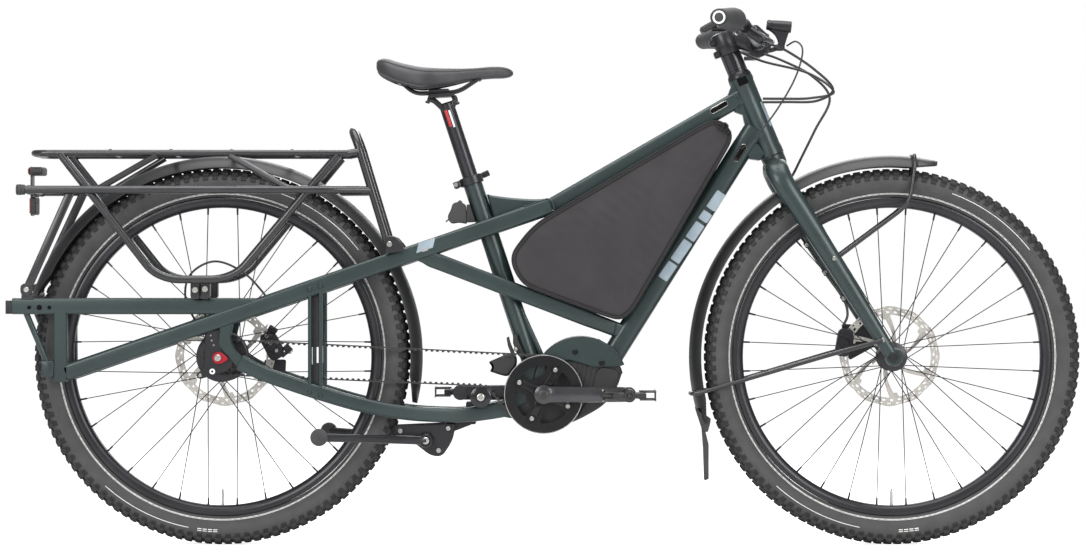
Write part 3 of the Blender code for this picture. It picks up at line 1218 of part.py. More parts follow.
# Kickstand
def make_kickstand():
    side_view = rounded([(-0.300, 0.2380), (-0.200, 0.2425), (-0.178, 0.2425), (-0.186, 0.205),
                         (-0.205, 0.176), (-0.228, 0.178),
                         (-0.262, 0.205), (-0.302, 0.218)], 0.006)
    post = [(-0.200, 0.238), (-0.150, 0.262), (-0.146, 0.2400), (-0.180, 0.226)]
    bore = rod("shaft bore", at(KICK_PIVOT, -0.09), at(KICK_PIVOT, 0.09), 0.0100 + RUNNING, sides=20)
    body = plate("housing", [side_view], -0.040, 0.040)
    arm = plate("mount arm", [post], -0.024, 0.024)
    head = plate("mount head", [[(-0.158, 0.285), (-0.138, 0.285), (-0.138, 0.240), (-0.158, 0.240)]], -0.022,
                 0.022)
    cuts = [bore,
            rod("tyre room", at(REAR_AXLE, -0.036), at(REAR_AXLE, 0.036), WHEEL_RADIUS + 0.004, sides=36)]
    part("kickstand_bracket", ALUMINIUM, [body, arm, head], cuts)
    shaft = rod("shaft", at(KICK_PIVOT, -0.066), at(KICK_PIVOT, 0.066), 0.0100, sides=20)
    pieces = [shaft]
    for side in (1, -1):
        path = [at(KICK_PIVOT, side * 0.058), at((-0.262, 0.2105), side * 0.072),
                at((-0.437, 0.2195), side * 0.181)]
        pieces.append(bar("leg", path, 0.0085, 0.01))
        foot_centre = Vector((-0.442, side * 0.186, 0.2200))
        pieces.append(rod("foot", foot_centre - Vector((0, side * 0.011, 0)),
                          foot_centre + Vector((0, side * 0.005, 0)), 0.0170, sides=20))
    part("kickstand", ALUMINIUM, pieces, pivot=at(KICK_PIVOT))


# Small covers
def make_covers():
    edge, foot = Vector(PORT_EDGE), Vector(PORT_FOOT)
    way = (foot - edge).normalized()
    out = Vector((way.y, -way.x))
    top_gap = Vector((0, SEAT))
    outline = [edge + out * SEAT + top_gap, foot - way * 0.004 + out * SEAT, foot - way * 0.004 + out * 0.006,
               (-0.190, 0.684), (-0.170, 0.687), (PORT_HINGE[0] + 0.001, PORT_EDGE[1] + SEAT)]
    flap = plate("port flap", [rounded(outline, [0, 0.002, 0.002, 0.002, 0.002, 0])], -PORT_HALF, PORT_HALF)
    barrel = rod("port hinge", at(PORT_HINGE, -0.015), at(PORT_HINGE, 0.015), 0.0042, sides=12)
    part("charge_port_cover", SOFT_RUBBER, [flap, barrel], pivot=at(PORT_HINGE))
    guard = rounded([(-0.113, 0.379), (-0.062, 0.4050), (-0.0530, 0.376), (-0.057, 0.353), (-0.082, 0.336),
                     (-0.110, 0.356)], 0.008)
    hood = plate("belt guide", [guard], -0.043, -0.030)
    arm = plate("guide arm", [[(-0.078, 0.398), (-0.062, 0.3920), (-0.0470, 0.425), (-0.060, 0.430)]], -0.036,
                0.010)
    cuts = [seat_tube_rod(SEAT),
            rod("ring room", at(CRANK_AXLE, -0.07), at(CRANK_AXLE, 0.07), SHELL_RADIUS + 0.0125, sides=24)]
    part("belt_guide", PLASTIC, [hood, arm], cuts)


# Cables
def cable(name, points, radius, look=None, steps=2):
    curve = path_curve(name, smooth_path(points, steps), radius, 2)
    made = linked(name, curve, PARTS)
    made.data.materials.append(look or SOFT_RUBBER)
    return made


def make_cables():
    def lever_end(side):
        a, b = bar_half(side)[1:3]
        return a.lerp(b, 0.50) + Vector((0.0530, -side * 0.0375, -0.0315))

    left, right = lever_end(1), lever_end(-1)
    cable("front_hose",
          [left, (0.478, 0.118, 0.975), (0.540, 0.105, 0.942), (0.576, 0.095, 0.895), (0.545, 0.084, 0.830),
                         (0.508, 0.081, 0.755), (0.490, 0.081, 0.700), (0.495, 0.076, 0.640),
                         (0.526, 0.064, 0.560),
                         (0.575, 0.050, 0.470), (0.5990, 0.044, 0.4345)],
          HOSE_RADIUS)
    cable("rear_hose",
          [right, (0.478, -0.118, 0.975), (0.545, -0.100, 0.938), (0.586, -0.070, 0.900),
           (0.545, -0.045, 0.884),
                        (0.480, -0.022, 0.8830), (0.4344, -0.014, 0.8830)], HOSE_RADIUS)
    cable("control_cable",
          [(0.382, 0.142, 0.9990), (0.440, 0.110, 0.972), (0.530, 0.060, 0.945), (0.578, 0.010, 0.905),
           (0.530, -0.018, 0.8910),
                            (0.475, -0.012, 0.8900), (0.4354, -0.004, 0.8905)], HOSE_RADIUS)
    cable("light_cable",
          [(0.483, -0.004, 0.9960), (0.500, -0.018, 1.0040), (0.512, -0.036, 0.990), (0.508, -0.046, 0.960),
           (0.490, -0.052, 0.915),
                          (0.455, -0.052, 0.858), (0.420, -0.046, 0.815), (0.3900, -0.0275, 0.788)], 0.0018)
    rail_face, dropout_face = RAIL_Y - RAIL_WIDTH / 2 - SEAT, REAR_HUB_HALF + RUNNING - SEAT
    cable("hub_cable", [(-0.545, -rail_face, 0.4836), (-0.545, -0.0610, 0.4836), (-0.548, -0.0540, 0.4880),
                        (-0.596, -0.0480, 0.5400), (-0.655, -0.0500, 0.5650), (-0.704, -0.0520, 0.5400),
                        (-0.714, -0.0540, 0.4900),
                        (-0.685, -0.0570, 0.4350), (-0.652, -0.0620, 0.4150), (-0.648, -0.0680, 0.4110),
                        (-0.648, -dropout_face, 0.4110)], 0.0022)


def main():
    make_front_frame()
    make_rear_frame()
    make_bag_and_battery()
    make_motor()
    make_wheels()
    make_drive()
    make_fork()
    make_calipers()
    make_cockpit()
    make_fenders()
    make_saddle()
    make_seat_clamp()
    make_rack()
    make_kickstand()
    make_covers()
    make_cables()
    join_and_cut()


main()
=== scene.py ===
# %% [markdown]
# # A long-tail electric bicycle
#
# The bicycle carries its load on a long rear frame. A motor sits where the cranks turn, a toothed
# belt drives the rear wheel, and a bag in the frame's triangle holds the battery.
#
# The measured model is loaded first as a fixed frame. It has the true sizes and the joints, and every
# surface made below lies on it. World axes: +X forward, +Y to the rider's left, +Z up, the floor at
# z = 0, all in metres. The drive side faces the camera at -Y.

import bpy
import numpy as np
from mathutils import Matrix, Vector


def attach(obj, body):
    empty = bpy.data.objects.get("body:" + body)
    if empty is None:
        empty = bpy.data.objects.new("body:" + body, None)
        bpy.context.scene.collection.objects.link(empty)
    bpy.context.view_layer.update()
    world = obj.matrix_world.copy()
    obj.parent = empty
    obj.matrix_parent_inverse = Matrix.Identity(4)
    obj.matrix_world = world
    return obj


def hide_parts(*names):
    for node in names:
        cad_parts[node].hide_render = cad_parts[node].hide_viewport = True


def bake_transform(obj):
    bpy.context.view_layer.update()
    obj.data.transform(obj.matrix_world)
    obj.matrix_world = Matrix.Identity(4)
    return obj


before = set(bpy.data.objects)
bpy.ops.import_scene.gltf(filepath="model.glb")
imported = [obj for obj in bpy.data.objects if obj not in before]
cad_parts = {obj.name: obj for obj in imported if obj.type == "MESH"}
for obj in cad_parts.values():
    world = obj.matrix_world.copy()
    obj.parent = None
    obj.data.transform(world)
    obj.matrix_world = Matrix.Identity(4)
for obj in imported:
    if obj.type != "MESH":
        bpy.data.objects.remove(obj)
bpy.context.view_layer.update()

# %% [markdown]
# ## The camera
#
# The photograph was taken from the drive side, square to the bicycle and about eight metres away:
# both wheels are round and of one size. A long lens keeps that. The camera looks along +Y from half
# a metre up. The picture's middle row lies 8.5 pixels above the horizon, which a small shift gives,
# because a tilted camera would make the wheels lean.

# %% Camera
IMAGE_WIDTH = 1086
HORIZON_PIXELS = 8.5
CAMERA_DISTANCE = 8.0
METRES_PER_PIXEL = 0.002
SENSOR_MM = 36.0

camera_data = bpy.data.cameras.new("Camera")
camera_data.sensor_width = SENSOR_MM
camera_data.lens = SENSOR_MM * CAMERA_DISTANCE / (IMAGE_WIDTH * METRES_PER_PIXEL)
camera_data.shift_y = HORIZON_PIXELS / IMAGE_WIDTH
camera_data.clip_end = 200.0
camera = bpy.data.objects.new("Camera", camera_data)
bpy.context.scene.collection.objects.link(camera)
camera.location = (-0.0042, -CAMERA_DISTANCE, 0.518)
camera.rotation_euler = (np.pi / 2, 0, 0)
bpy.context.scene.camera = camera
print("lens", round(camera_data.lens, 1), "mm")

# %% [markdown]
# ## Nodes and colours
#
# Every finish below is a small graph of shader nodes. One function adds a node, sets its values and
# links its inputs, so that each material reads from top to bottom like a recipe. Colours are written
# as the hex values that a screen shows, and one function turns them into the linear light that the
# renderer adds up.

# %% Node and colour helpers
def linear(hex_colour):
    """The linear colour of an sRGB hex value: ((c + 0.055) / 1.055) ^ 2.4 above 0.04045, else c / 12.92."""
    value = hex_colour.lstrip("#")
    srgb = np.array([int(value[i : i + 2], 16) for i in (0, 2, 4)]) / 255
    light = np.where(srgb > 0.04045, ((srgb + 0.055) / 1.055) ** 2.4, srgb / 12.92)
    return (*light.tolist(), 1.0)


def add(tree, kind, inputs=None, **settings):
    """Adds a node. An input that is given as a socket is linked, and any other is set."""
    made = tree.nodes.new(kind)
    for key, value in settings.items():
        setattr(made, key, value)
    for key, value in (inputs or {}).items():
        if isinstance(value, bpy.types.NodeSocket):
            tree.links.new(value, made.inputs[key])
        else:
            made.inputs[key].default_value = value
    return made


def blank_material(name):
    made = bpy.data.materials.new(name)
    made.use_nodes = True
    made.node_tree.nodes.clear()
    return made, made.node_tree


def finish(name, shader_inputs, build=None):
    """A material with one Principled shader. build adds the nodes that feed it."""
    made, tree = blank_material(name)
    shader = add(tree, "ShaderNodeBsdfPrincipled", shader_inputs)
    add(tree, "ShaderNodeOutputMaterial", {"Surface": shader.outputs[0]})
    if build:
        for socket, source in build(tree).items():
            tree.links.new(source, shader.inputs[socket])
    made.diffuse_color = shader.inputs["Base Color"].default_value
    return made


def ramp(tree, factor, low, high, start=0.3, end=0.7):
    """Blends from one colour to another as the factor goes from start to end."""
    made = add(tree, "ShaderNodeValToRGB", {"Fac": factor})
    made.color_ramp.elements[0].position = start
    made.color_ramp.elements[1].position = end
    made.color_ramp.elements[0].color = low
    made.color_ramp.elements[1].color = high
    return made.outputs["Color"]


def grain(tree, size, detail=3.0, stretch=(1, 1, 1)):
    """Noise whose blotches are about that many metres across, stretched along the axes."""
    place = add(tree, "ShaderNodeTexCoord").outputs["Object"]
    turned = add(tree, "ShaderNodeMapping", {"Vector": place, "Scale": tuple(1 / np.array(stretch))})
    return add(
        tree, "ShaderNodeTexNoise", {"Vector": turned.outputs[0], "Scale": 1 / size, "Detail": detail}
    ).outputs["Fac"]


def bump(tree, height, depth, strength=1.0):
    """A bump of that depth in metres from a height between 0 and 1."""
    return add(
        tree, "ShaderNodeBump", {"Height": height, "Distance": depth, "Strength": strength}
    ).outputs["Normal"]


# %% [markdown]
# ## The studio
#
# The bicycle stands on a white sweep. The floor glows at most of full white and takes the rest from the
# lamps. Where the lamps reach it the sum passes white and stays plain, and where the tyres stand the
# missing lamp light leaves their soft shadow. Four large soft lamps light the object at a plain level,
# so that a colour renders about as it is written.

# %% Floor, world and lamps
def seen_directly(tree):
    """1 on rays from the camera, straight or through glass, and 0 on the rest."""
    rays = add(tree, "ShaderNodeLightPath")
    either = {0: rays.outputs["Is Camera Ray"], 1: rays.outputs["Is Transmission Ray"]}
    return add(tree, "ShaderNodeMath", either, operation="MAXIMUM").outputs[0]


def studio_floor(name, glow, albedo):
    """White that glows at a share of full strength, with the rest left to the lamps, so shade shows."""
    made, tree = blank_material(name)
    strength = add(tree, "ShaderNodeMath", {0: seen_directly(tree), 1: glow}, operation="MULTIPLY")
    white = add(tree, "ShaderNodeEmission", {"Color": (1, 1, 1, 1), "Strength": strength.outputs[0]})
    lit = add(tree, "ShaderNodeBsdfDiffuse", {"Color": (albedo, albedo, albedo, 1)})
    total = add(tree, "ShaderNodeAddShader", {0: white.outputs[0], 1: lit.outputs[0]})
    add(tree, "ShaderNodeOutputMaterial", {"Surface": total.outputs[0]})
    return made


bpy.ops.mesh.primitive_plane_add(size=60, location=(0, 0, 0))
floor = bpy.context.object
floor.name = "Floor"
floor.data.materials.append(studio_floor("White studio floor", 0.7, 0.8))

world = bpy.data.worlds.new("Studio")
bpy.context.scene.world = world
world.use_nodes = True
tree = world.node_tree
tree.nodes.clear()
room = add(tree, "ShaderNodeBackground", {"Color": linear("#EDEFF2"), "Strength": 0.5})
backdrop = add(tree, "ShaderNodeBackground", {"Color": (1, 1, 1, 1), "Strength": 1.0})
sides = {"Fac": seen_directly(tree), 1: room.outputs[0], 2: backdrop.outputs[0]}
mixed = add(tree, "ShaderNodeMixShader", sides)
add(tree, "ShaderNodeOutputWorld", {"Surface": mixed.outputs[0]})


def soft_lamp(name, place, target, size, watts):
    """A square area lamp that faces the target."""
    data = bpy.data.lights.new(name, "AREA")
    data.size = size
    data.energy = watts
    lamp = bpy.data.objects.new(name, data)
    bpy.context.scene.collection.objects.link(lamp)
    lamp.location = place
    way = Vector(target) - Vector(place)
    lamp.rotation_euler = way.to_track_quat("-Z", "Y").to_euler()


soft_lamp("Overhead", (0.0, -0.6, 3.6), (0, 0, 0.4), 3.2, 150)
soft_lamp("Front left", (-2.6, -4.2, 2.2), (-0.2, 0, 0.5), 2.2, 120)
soft_lamp("Front right", (2.8, -3.8, 1.8), (0.2, 0, 0.5), 2.0, 90)
soft_lamp("Back", (0.4, 3.6, 2.4), (0, 0, 0.5), 2.6, 80)
bpy.context.scene.view_settings.view_transform = "Standard"

# %% [markdown]
# ## Surfaces from two numbers
#
# A surface is a grid of points, P(i, j), and neighbouring points share a four-sided face. Most parts
# of a bicycle are made that way by nature: a tube is a section carried along a line, a rim or a tyre is
# a section turned round an axle, and a forged plate is an outline carried through its thickness. So
# three functions, sweep, lathe and slab, give nearly every shape, each from whole arrays of numbers.

# %% Grids and meshes
X, Y, Z = np.eye(3)


def grid_faces(rows, columns, wrap_rows=False, wrap_columns=True):
    """Quads (i, j), (i, j+1), (i+1, j+1), (i+1, j) over a grid of points stored row by row."""
    i, j = np.meshgrid(
        np.arange(rows if wrap_rows else rows - 1),
        np.arange(columns if wrap_columns else columns - 1),
        indexing="ij",
    )
    right, below = (j + 1) % columns, (i + 1) % rows
    corners = [i * columns + j, i * columns + right, below * columns + right, below * columns + j]
    return np.stack(corners, -1).reshape(-1, 4)


def volume_sign(points, faces):
    """Six times the signed volume under fans of the faces: positive when the faces look outward."""
    total = 0.0
    centre = points.mean(0)
    for group in faces:
        corner = points[group] - centre
        for k in range(1, group.shape[1] - 1):
            total += np.einsum("ij,ij->i", corner[:, 0], np.cross(corner[:, k], corner[:, k + 1])).sum()
    return total


def solid(points, faces):
    """A closed part, a pair of points (n, 3) and face groups, turned right way out."""
    points = np.asarray(points, float).reshape(-1, 3)
    if volume_sign(points, faces) < 0:
        faces = [group[:, ::-1] for group in faces]
    return points, faces


def mesh_of(name, parts):
    """One mesh from parts: the points and faces of each follow those of the part before."""
    points, corners, sizes, offset = [], [], [], 0
    for verts, faces in parts:
        points.append(verts)
        for group in faces:
            corners.append((group + offset).ravel())
            sizes.append(np.full(len(group), group.shape[1]))
        offset += len(verts)
    points, corners, sizes = np.concatenate(points), np.concatenate(corners), np.concatenate(sizes)
    mesh = bpy.data.meshes.new(name)
    mesh.vertices.add(len(points))
    mesh.vertices.foreach_set("co", points.astype(np.float32).ravel())
    mesh.loops.add(len(corners))
    mesh.loops.foreach_set("vertex_index", corners.astype(np.int32))
    mesh.polygons.add(len(sizes))
    mesh.polygons.foreach_set("loop_start", (np.cumsum(sizes) - sizes).astype(np.int32))
    mesh.update(calc_edges=True)
    mesh.validate()
    return mesh


def piece(name, material, body, parts, nodes=(), sharp=32):
    """A shown object on a body of the frame, in place of the named nodes."""
    mesh = mesh_of(name, parts)
    mesh.materials.append(material)
    mesh.shade_smooth()
    mesh.set_sharp_from_angle(angle=np.radians(sharp))
    made = bpy.data.objects.new(name, mesh)
    bpy.context.scene.collection.objects.link(made)
    if body:
        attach(made, body)
    if nodes:
        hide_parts(*nodes)
    return made


def unit(vector):
    vector = np.asarray(vector, float)
    return vector / np.linalg.norm(vector, axis=-1, keepdims=True)


def xz(plan, y=0.0):
    """Points (x, y, z) from plan pairs (x, z) at the sideways distance y."""
    plan = np.atleast_2d(np.asarray(plan, float))
    y = np.broadcast_to(y, len(plan))
    return np.stack([plan[:, 0], y, plan[:, 1]], -1)


def capped(rows, columns):
    """Faces of a grid wrapped round its columns, with a flat end on its first and its last row."""
    ends = np.arange(columns)[None]
    return [grid_faces(rows, columns), ends[:, ::-1], (rows - 1) * columns + ends]


def closed_on(points, ends):
    """A part from rings of points (i, j), its first and last ring each closed on an end point."""
    rows, columns = points.shape[:2]
    j, last = np.arange(columns), (rows - 1) * columns
    onward = (j + 1) % columns
    first_cap = np.stack([np.full(columns, rows * columns), onward, j], -1)
    last_cap = np.stack([np.full(columns, rows * columns + 1), last + j, last + onward], -1)
    return solid(
        np.concatenate([points.reshape(-1, 3), ends]), [grid_faces(rows, columns), first_cap, last_cap]
    )


def run_along(line):
    """How far along an open line each of its points lies."""
    return np.concatenate([[0], np.cumsum(np.linalg.norm(np.diff(line, axis=0), axis=1))])


def mirror(part):
    """The part seen in the plane y = 0, with its faces turned back outward."""
    points, faces = part
    return points * (1, -1, 1), [group[:, ::-1] for group in faces]


def both(parts):
    return parts + [mirror(part) for part in parts]


def moved(part, by):
    return part[0] + np.asarray(by), part[1]


# %% [markdown]
# A sweep carries a closed section along a path. At each station the section stands square to the path,
# with its first axis turned as near as can be to a given side, so a flat-sided frame tube doesn't
# twist. The ends close with small rounded steps, because a real tube has a broken edge and no razor
# corner, and that edge is what catches the light.

# %% Sections, paths and sweeps
def superellipse(width, height, power=2.0, count=24):
    """Points (w/2 sgn(cos) |cos|^(2/p), h/2 sgn(sin) |sin|^(2/p)).

    The power p = 2 gives an ellipse and p = 5 a rounded box.
    """
    turn = (np.arange(count) + 0.5) * 2 * np.pi / count
    c, s = np.cos(turn), np.sin(turn)
    return np.stack(
        [width / 2 * np.sign(c) * abs(c) ** (2 / power), height / 2 * np.sign(s) * abs(s) ** (2 / power)], -1
    )


def rounded_box(width, height, corner, steps=4):
    """A rectangle whose corners are quarter circles, from the right side round by the top."""
    turn = np.linspace(0, np.pi / 2, steps + 1)
    arc = np.stack([np.cos(turn), np.sin(turn)], -1) * corner
    w, h = width / 2 - corner, height / 2 - corner
    quarter = [
        arc + (w, h), arc[:, ::-1] * (-1, 1) + (-w, h), -arc + (-w, -h), arc[:, ::-1] * (1, -1) + (w, -h)
    ]
    return np.concatenate(quarter)


def bent(points, radius, steps=6):
    """The path with each inner corner replaced by a quadratic curve that leaves both sides smoothly."""
    points = np.asarray(points, float)
    radii = np.broadcast_to(radius, len(points))
    made = [points[0]]
    for i in range(1, len(points) - 1):
        corner = points[i]
        back, ahead = points[i - 1] - corner, points[i + 1] - corner
        reach = min(radii[i], 0.49 * np.linalg.norm(back), 0.49 * np.linalg.norm(ahead))
        if reach < 1e-6:
            made.append(corner)
            continue
        start, end = corner + unit(back) * reach, corner + unit(ahead) * reach
        t = np.linspace(0, 1, steps + 1)[:, None]
        made.extend(start * (1 - t) ** 2 + corner * 2 * t * (1 - t) + end * t**2)
    return np.array([*made, points[-1]])


def smooth(points, steps=6):
    """A smooth curve through the points (Catmull-Rom), with that many steps to each stretch."""
    points = np.asarray(points, float)
    ends = np.concatenate([[2 * points[0] - points[1]], points, [2 * points[-1] - points[-2]]])
    a, b, c, d = (ends[k : k + len(points) - 1, None] for k in range(4))
    t = np.linspace(0, 1, steps, endpoint=False)[None, :, None]
    curve = b * 2 + (c - a) * t + (a * 2 - b * 5 + c * 4 - d) * t**2 + (b * 3 - a - c * 3 + d) * t**3
    return np.concatenate([curve.reshape(-1, points.shape[1]) / 2, points[-1:]])


def sweep(path, section, side=Y, scale=1.0, closed=False, edge=0.0):
    """Surface P(i, j) = path(i) + u(j) side(i) + v(j) up(i), where side and up stand square to the path.

    scale stretches the section at each station, (n,) or (n, 2). edge rounds off both ends by that much.
    """
    path = np.asarray(path, float)
    scale = np.asarray(scale, float)
    scale = np.broadcast_to(scale[:, None] if scale.ndim == 1 else scale, (len(path), 2)).copy()
    if closed:
        way = unit(np.roll(path, -1, 0) - np.roll(path, 1, 0))
    else:
        way = unit(np.gradient(path, axis=0))
        way[0], way[-1] = unit(path[1] - path[0]), unit(path[-1] - path[-2])
    across = np.broadcast_to(side, path.shape)
    across = unit(across - (across * way).sum(-1, keepdims=True) * way)
    up = np.cross(way, across)
    if not closed and edge > 0:
        size = abs(section).max()
        step = np.array([0.0, 0.3, 1.0]) * edge
        drawn = np.array([1.0, 0.7, 0.0]) * edge / size
        head = path[0] + way[0] * step[:-1, None]
        tail = path[-1] - way[-1] * step[-2::-1, None]
        path = np.concatenate(
            [head, [path[0] + way[0] * edge], path[1:-1], [path[-1] - way[-1] * edge], tail]
        )
        grow_head, grow_tail = scale[0] * (1 - drawn[:-1, None]), scale[-1] * (1 - drawn[-2::-1, None])
        scale = np.concatenate([grow_head, [scale[0]], scale[1:-1], [scale[-1]], grow_tail])
        repeat = [0, 0, 0, *range(1, len(way) - 1), -1, -1, -1]
        across, up = across[repeat], up[repeat]
    points = (
        path[:, None]
        + section[None, :, 0, None] * scale[:, None, 0, None] * across[:, None]
        + section[None, :, 1, None] * scale[:, None, 1, None] * up[:, None]
    )
    rows, columns = len(path), len(section)
    return solid(points, [grid_faces(rows, columns, wrap_rows=True)] if closed else capped(rows, columns))


def tube(path, radius, side=Y, count=14, scale=1.0, closed=False, edge=0.0006):
    """A round bar along a path."""
    return sweep(path, superellipse(2 * radius, 2 * radius, count=count), side, scale, closed, edge)


def rod(start, end, radius, end_radius=None, count=20, edge=0.0006, side=None):
    """A straight round bar or cone between two points."""
    start, end = np.asarray(start, float), np.asarray(end, float)
    way = unit(end - start)
    side = side if side is not None else (Y if abs(way[1]) < 0.9 else X)
    scale = np.array([1.0, 1.0 if end_radius is None else end_radius / radius])
    return tube(np.stack([start, end]), radius, side, count, scale, edge=min(edge, 0.4 * radius))


def lathe(profile, centre, axis=Y, count=96, start=0.0, closed=True):
    """Surface of revolution P(i, j) = centre + r(j) (cos(a) u + sin(a) v) + h(j) axis over the turn a.

    A closed profile is a ring's section, and an open one starts and ends on the axis.
    """
    axis = unit(axis)
    u = unit(np.cross(axis, Z if abs(axis[2]) < 0.9 else X))
    v = np.cross(axis, u)
    turn = start + np.arange(count) * 2 * np.pi / count
    ring = np.cos(turn)[:, None] * u + np.sin(turn)[:, None] * v
    profile = np.asarray(profile, float)
    if closed:
        points = centre + profile[None, :, 0, None] * ring[:, None] + profile[None, :, 1, None] * axis
        return solid(points, [grid_faces(count, len(profile), wrap_rows=True)])
    middle = profile[1:-1]
    points = centre + middle[None, :, 0, None] * ring[:, None] + middle[None, :, 1, None] * axis
    poles = np.stack([centre + profile[0, 1] * axis, centre + profile[-1, 1] * axis])
    turns, columns = np.arange(count), len(middle)
    onward = (turns + 1) % count
    first = np.stack([np.full(count, count * columns), onward * columns, turns * columns], -1)
    last = np.stack([np.full(count, count * columns + 1), turns * columns, onward * columns], -1) + np.array(
        [0, columns - 1, columns - 1]
    )
    faces = [grid_faces(count, columns, wrap_rows=True, wrap_columns=False)[:, ::-1], first, last]
    return solid(np.concatenate([points.reshape(-1, 3), poles]), faces)


def turned(profile, centre, axis=Y, count=40):
    """A solid of revolution from a profile (radius, along) that starts and ends on the axis."""
    return lathe(profile, centre, axis, count, closed=False)


def hoop(inner, outer, half, cut=0.0008, drop=0.0008):
    """A plain ring's section for lathe, its outer edges broken by cut across and drop along."""
    return [(inner, -half), (
        outer - cut, -half
    ), (outer, drop - half), (outer, half - drop), (outer - cut, half), (inner, half)]


def grown(outline, by):
    """A closed outline (n, 2) moved outward by that distance, square to its own line."""
    way = unit(np.roll(outline, -1, 0) - np.roll(outline, 1, 0))
    normal = np.stack([way[:, 1], -way[:, 0]], -1)
    area = (outline[:, 0] * np.roll(outline[:, 1], -1) - np.roll(outline[:, 0], -1) * outline[:, 1]).sum()
    return outline + normal * (by if area > 0 else -by)


def slab(outline, low, high, edge=0.0008, hole=None, axis=Y, u=X, v=Z):
    """An outline (n, 2) in the plane of u and v, carried along the axis from low to high with broken edges.

    A hole of as many points makes the slab a ring.
    """
    outline = np.asarray(outline, float)
    steps = np.array([[low, -edge], [low + edge, 0], [high - edge, 0], [high, -edge]])
    rings = [grown(outline, step) @ np.stack([u, v]) + along * axis for along, step in steps]
    if hole is None:
        return solid(np.concatenate(rings), capped(4, len(outline)))
    hole = np.asarray(hole, float)
    rings += [grown(hole, -step) @ np.stack([u, v]) + along * axis for along, step in steps[::-1]]
    return solid(np.concatenate(rings), [grid_faces(8, len(outline), wrap_rows=True)])


def outline_of(corners, radius, steps=5):
    """A closed outline of plan corners, each rounded."""
    corners = np.asarray(corners, float)
    radii = np.broadcast_to(radius, len(corners))
    around = np.concatenate([corners[-1:], corners, corners[:1]])
    made = bent(around, np.concatenate([[0], radii, [0]]), steps)
    return made[1:-1]


def block(centre, size, pitch=0.0, corner=0.002, edge=0.0008, yaw=0.0):
    """A rounded box, its first size along x turned up by pitch and then to the left by yaw."""
    length, width, height = size
    ahead = np.array([np.cos(pitch), 0, np.sin(pitch)])
    turn = np.array([[np.cos(yaw), -np.sin(yaw), 0], [np.sin(yaw), np.cos(yaw), 0], [0, 0, 1]])
    ahead, side = turn @ ahead, turn @ Y
    centre = np.asarray(centre, float)
    path = np.stack([centre - ahead * length / 2, centre + ahead * length / 2])
    corner = min(corner, 0.49 * width, 0.49 * height)
    return sweep(path, rounded_box(width, height, corner), side, edge=edge)


def bolt(place, way, radius, height=None, socket=True):
    """A cap screw's head: a low dome round a sunken socket."""
    r, h = radius, height or 0.55 * radius
    deep = 0.45 * h
    if socket:
        profile = [(0, deep), (0.48 * r, deep), (0.52 * r, h), (0.8 * r, h), (
            0.96 * r, 0.75 * h
        ), (r, 0.4 * h), (r, 0), (0, 0)]
    else:
        profile = [(0, h), (0.55 * r, 0.95 * h), (0.9 * r, 0.7 * h), (r, 0.35 * h), (r, 0), (0, 0)]
    return turned(profile, np.asarray(place, float), way, count=18)


def circle(centre, radius, count=48, start=0.0, end=2 * np.pi):
    """Points round a plan circle, or along an arc with both ends."""
    whole = abs(end - start - 2 * np.pi) < 1e-9
    turn = np.linspace(start, end, count, endpoint=not whole)
    return np.stack([centre[0] + radius * np.cos(turn), centre[1] + radius * np.sin(turn)], -1)


print("helpers ready")

# %% [markdown]
# ## Finishes
#
# Each finish below is named for the real material and the way it was made. Powder coat has a faint
# orange peel, anodised aluminium keeps the fine blasting under its dye, moulded plastic takes the
# spark-eroded grain of its tool, and rubber is matt with a bloom of dust. Their scales are real ones,
# from a tenth of a millimetre to a centimetre. Up close they break the light up, and from afar they
# keep a large area from looking like flat computer grey.

# %% Paints and metals
def coat(name, dark, light, roughness, metallic, peel, depth, coat_weight=0.0):
    """A coated surface: cloudy colour, orange peel of that size and depth, and a roughness that wanders."""

    def build(tree):
        cloud = grain(tree, 0.12, 3)
        fine = grain(tree, peel, 2)
        rough = add(
            tree,
            "ShaderNodeMapRange",
            {"Value": grain(tree, 0.02), "To Min": roughness - 0.06, "To Max": roughness + 0.06},
        )
        return {
            "Base Color": ramp(tree, cloud, linear(dark), linear(light)),
            "Roughness": rough.outputs[0],
            "Normal": bump(tree, fine, depth),
        }

    settings = {
        "Base Color": linear(light), "Metallic": metallic, "Coat Weight": coat_weight, "Coat Roughness": 0.18
    }
    return finish(name, settings, build)


GREEN = coat("Satin green powder coat", "#1F2C2B", "#263534", 0.38, 0.25, 0.0011, 0.00003, 0.25)
RACK_BLACK = coat("Textured black powder coat", "#1C1C1E", "#252527", 0.3, 0.1, 0.0007, 0.00002, 0.35)
ANODISED = coat("Blasted black anodised aluminium", "#2C2C2E", "#37373A", 0.3, 0.6, 0.0003, 0.00001)
POLISHED_BLACK = coat("Polished black anodised aluminium", "#202021", "#29292A", 0.24, 0.6, 0.0004, 0.000005)
FORGED_GREY = coat("Forged and polished grey aluminium", "#434345", "#525254", 0.24, 0.7, 0.0015, 0.000004)
RED_ANODISED = coat("Red anodised aluminium", "#A3262E", "#B8323A", 0.3, 0.7, 0.0003, 0.000005)


def worked_steel(name, colour, roughness, stretch=(1, 1, 1)):
    """Bare steel, its fine grinding marks drawn out along one axis, with a little tarnish."""

    def build(tree):
        marks = grain(tree, 0.0006, 2, stretch)
        tarnish = grain(tree, 0.008, 4)
        rough = add(tree, "ShaderNodeMapRange", {
            "Value": tarnish, "To Min": roughness - 0.08, "To Max": roughness + 0.12
        })
        return {"Roughness": rough.outputs[0], "Normal": bump(tree, marks, 0.00001)}

    return finish(name, {"Base Color": linear(colour), "Metallic": 1.0, "Roughness": roughness}, build)


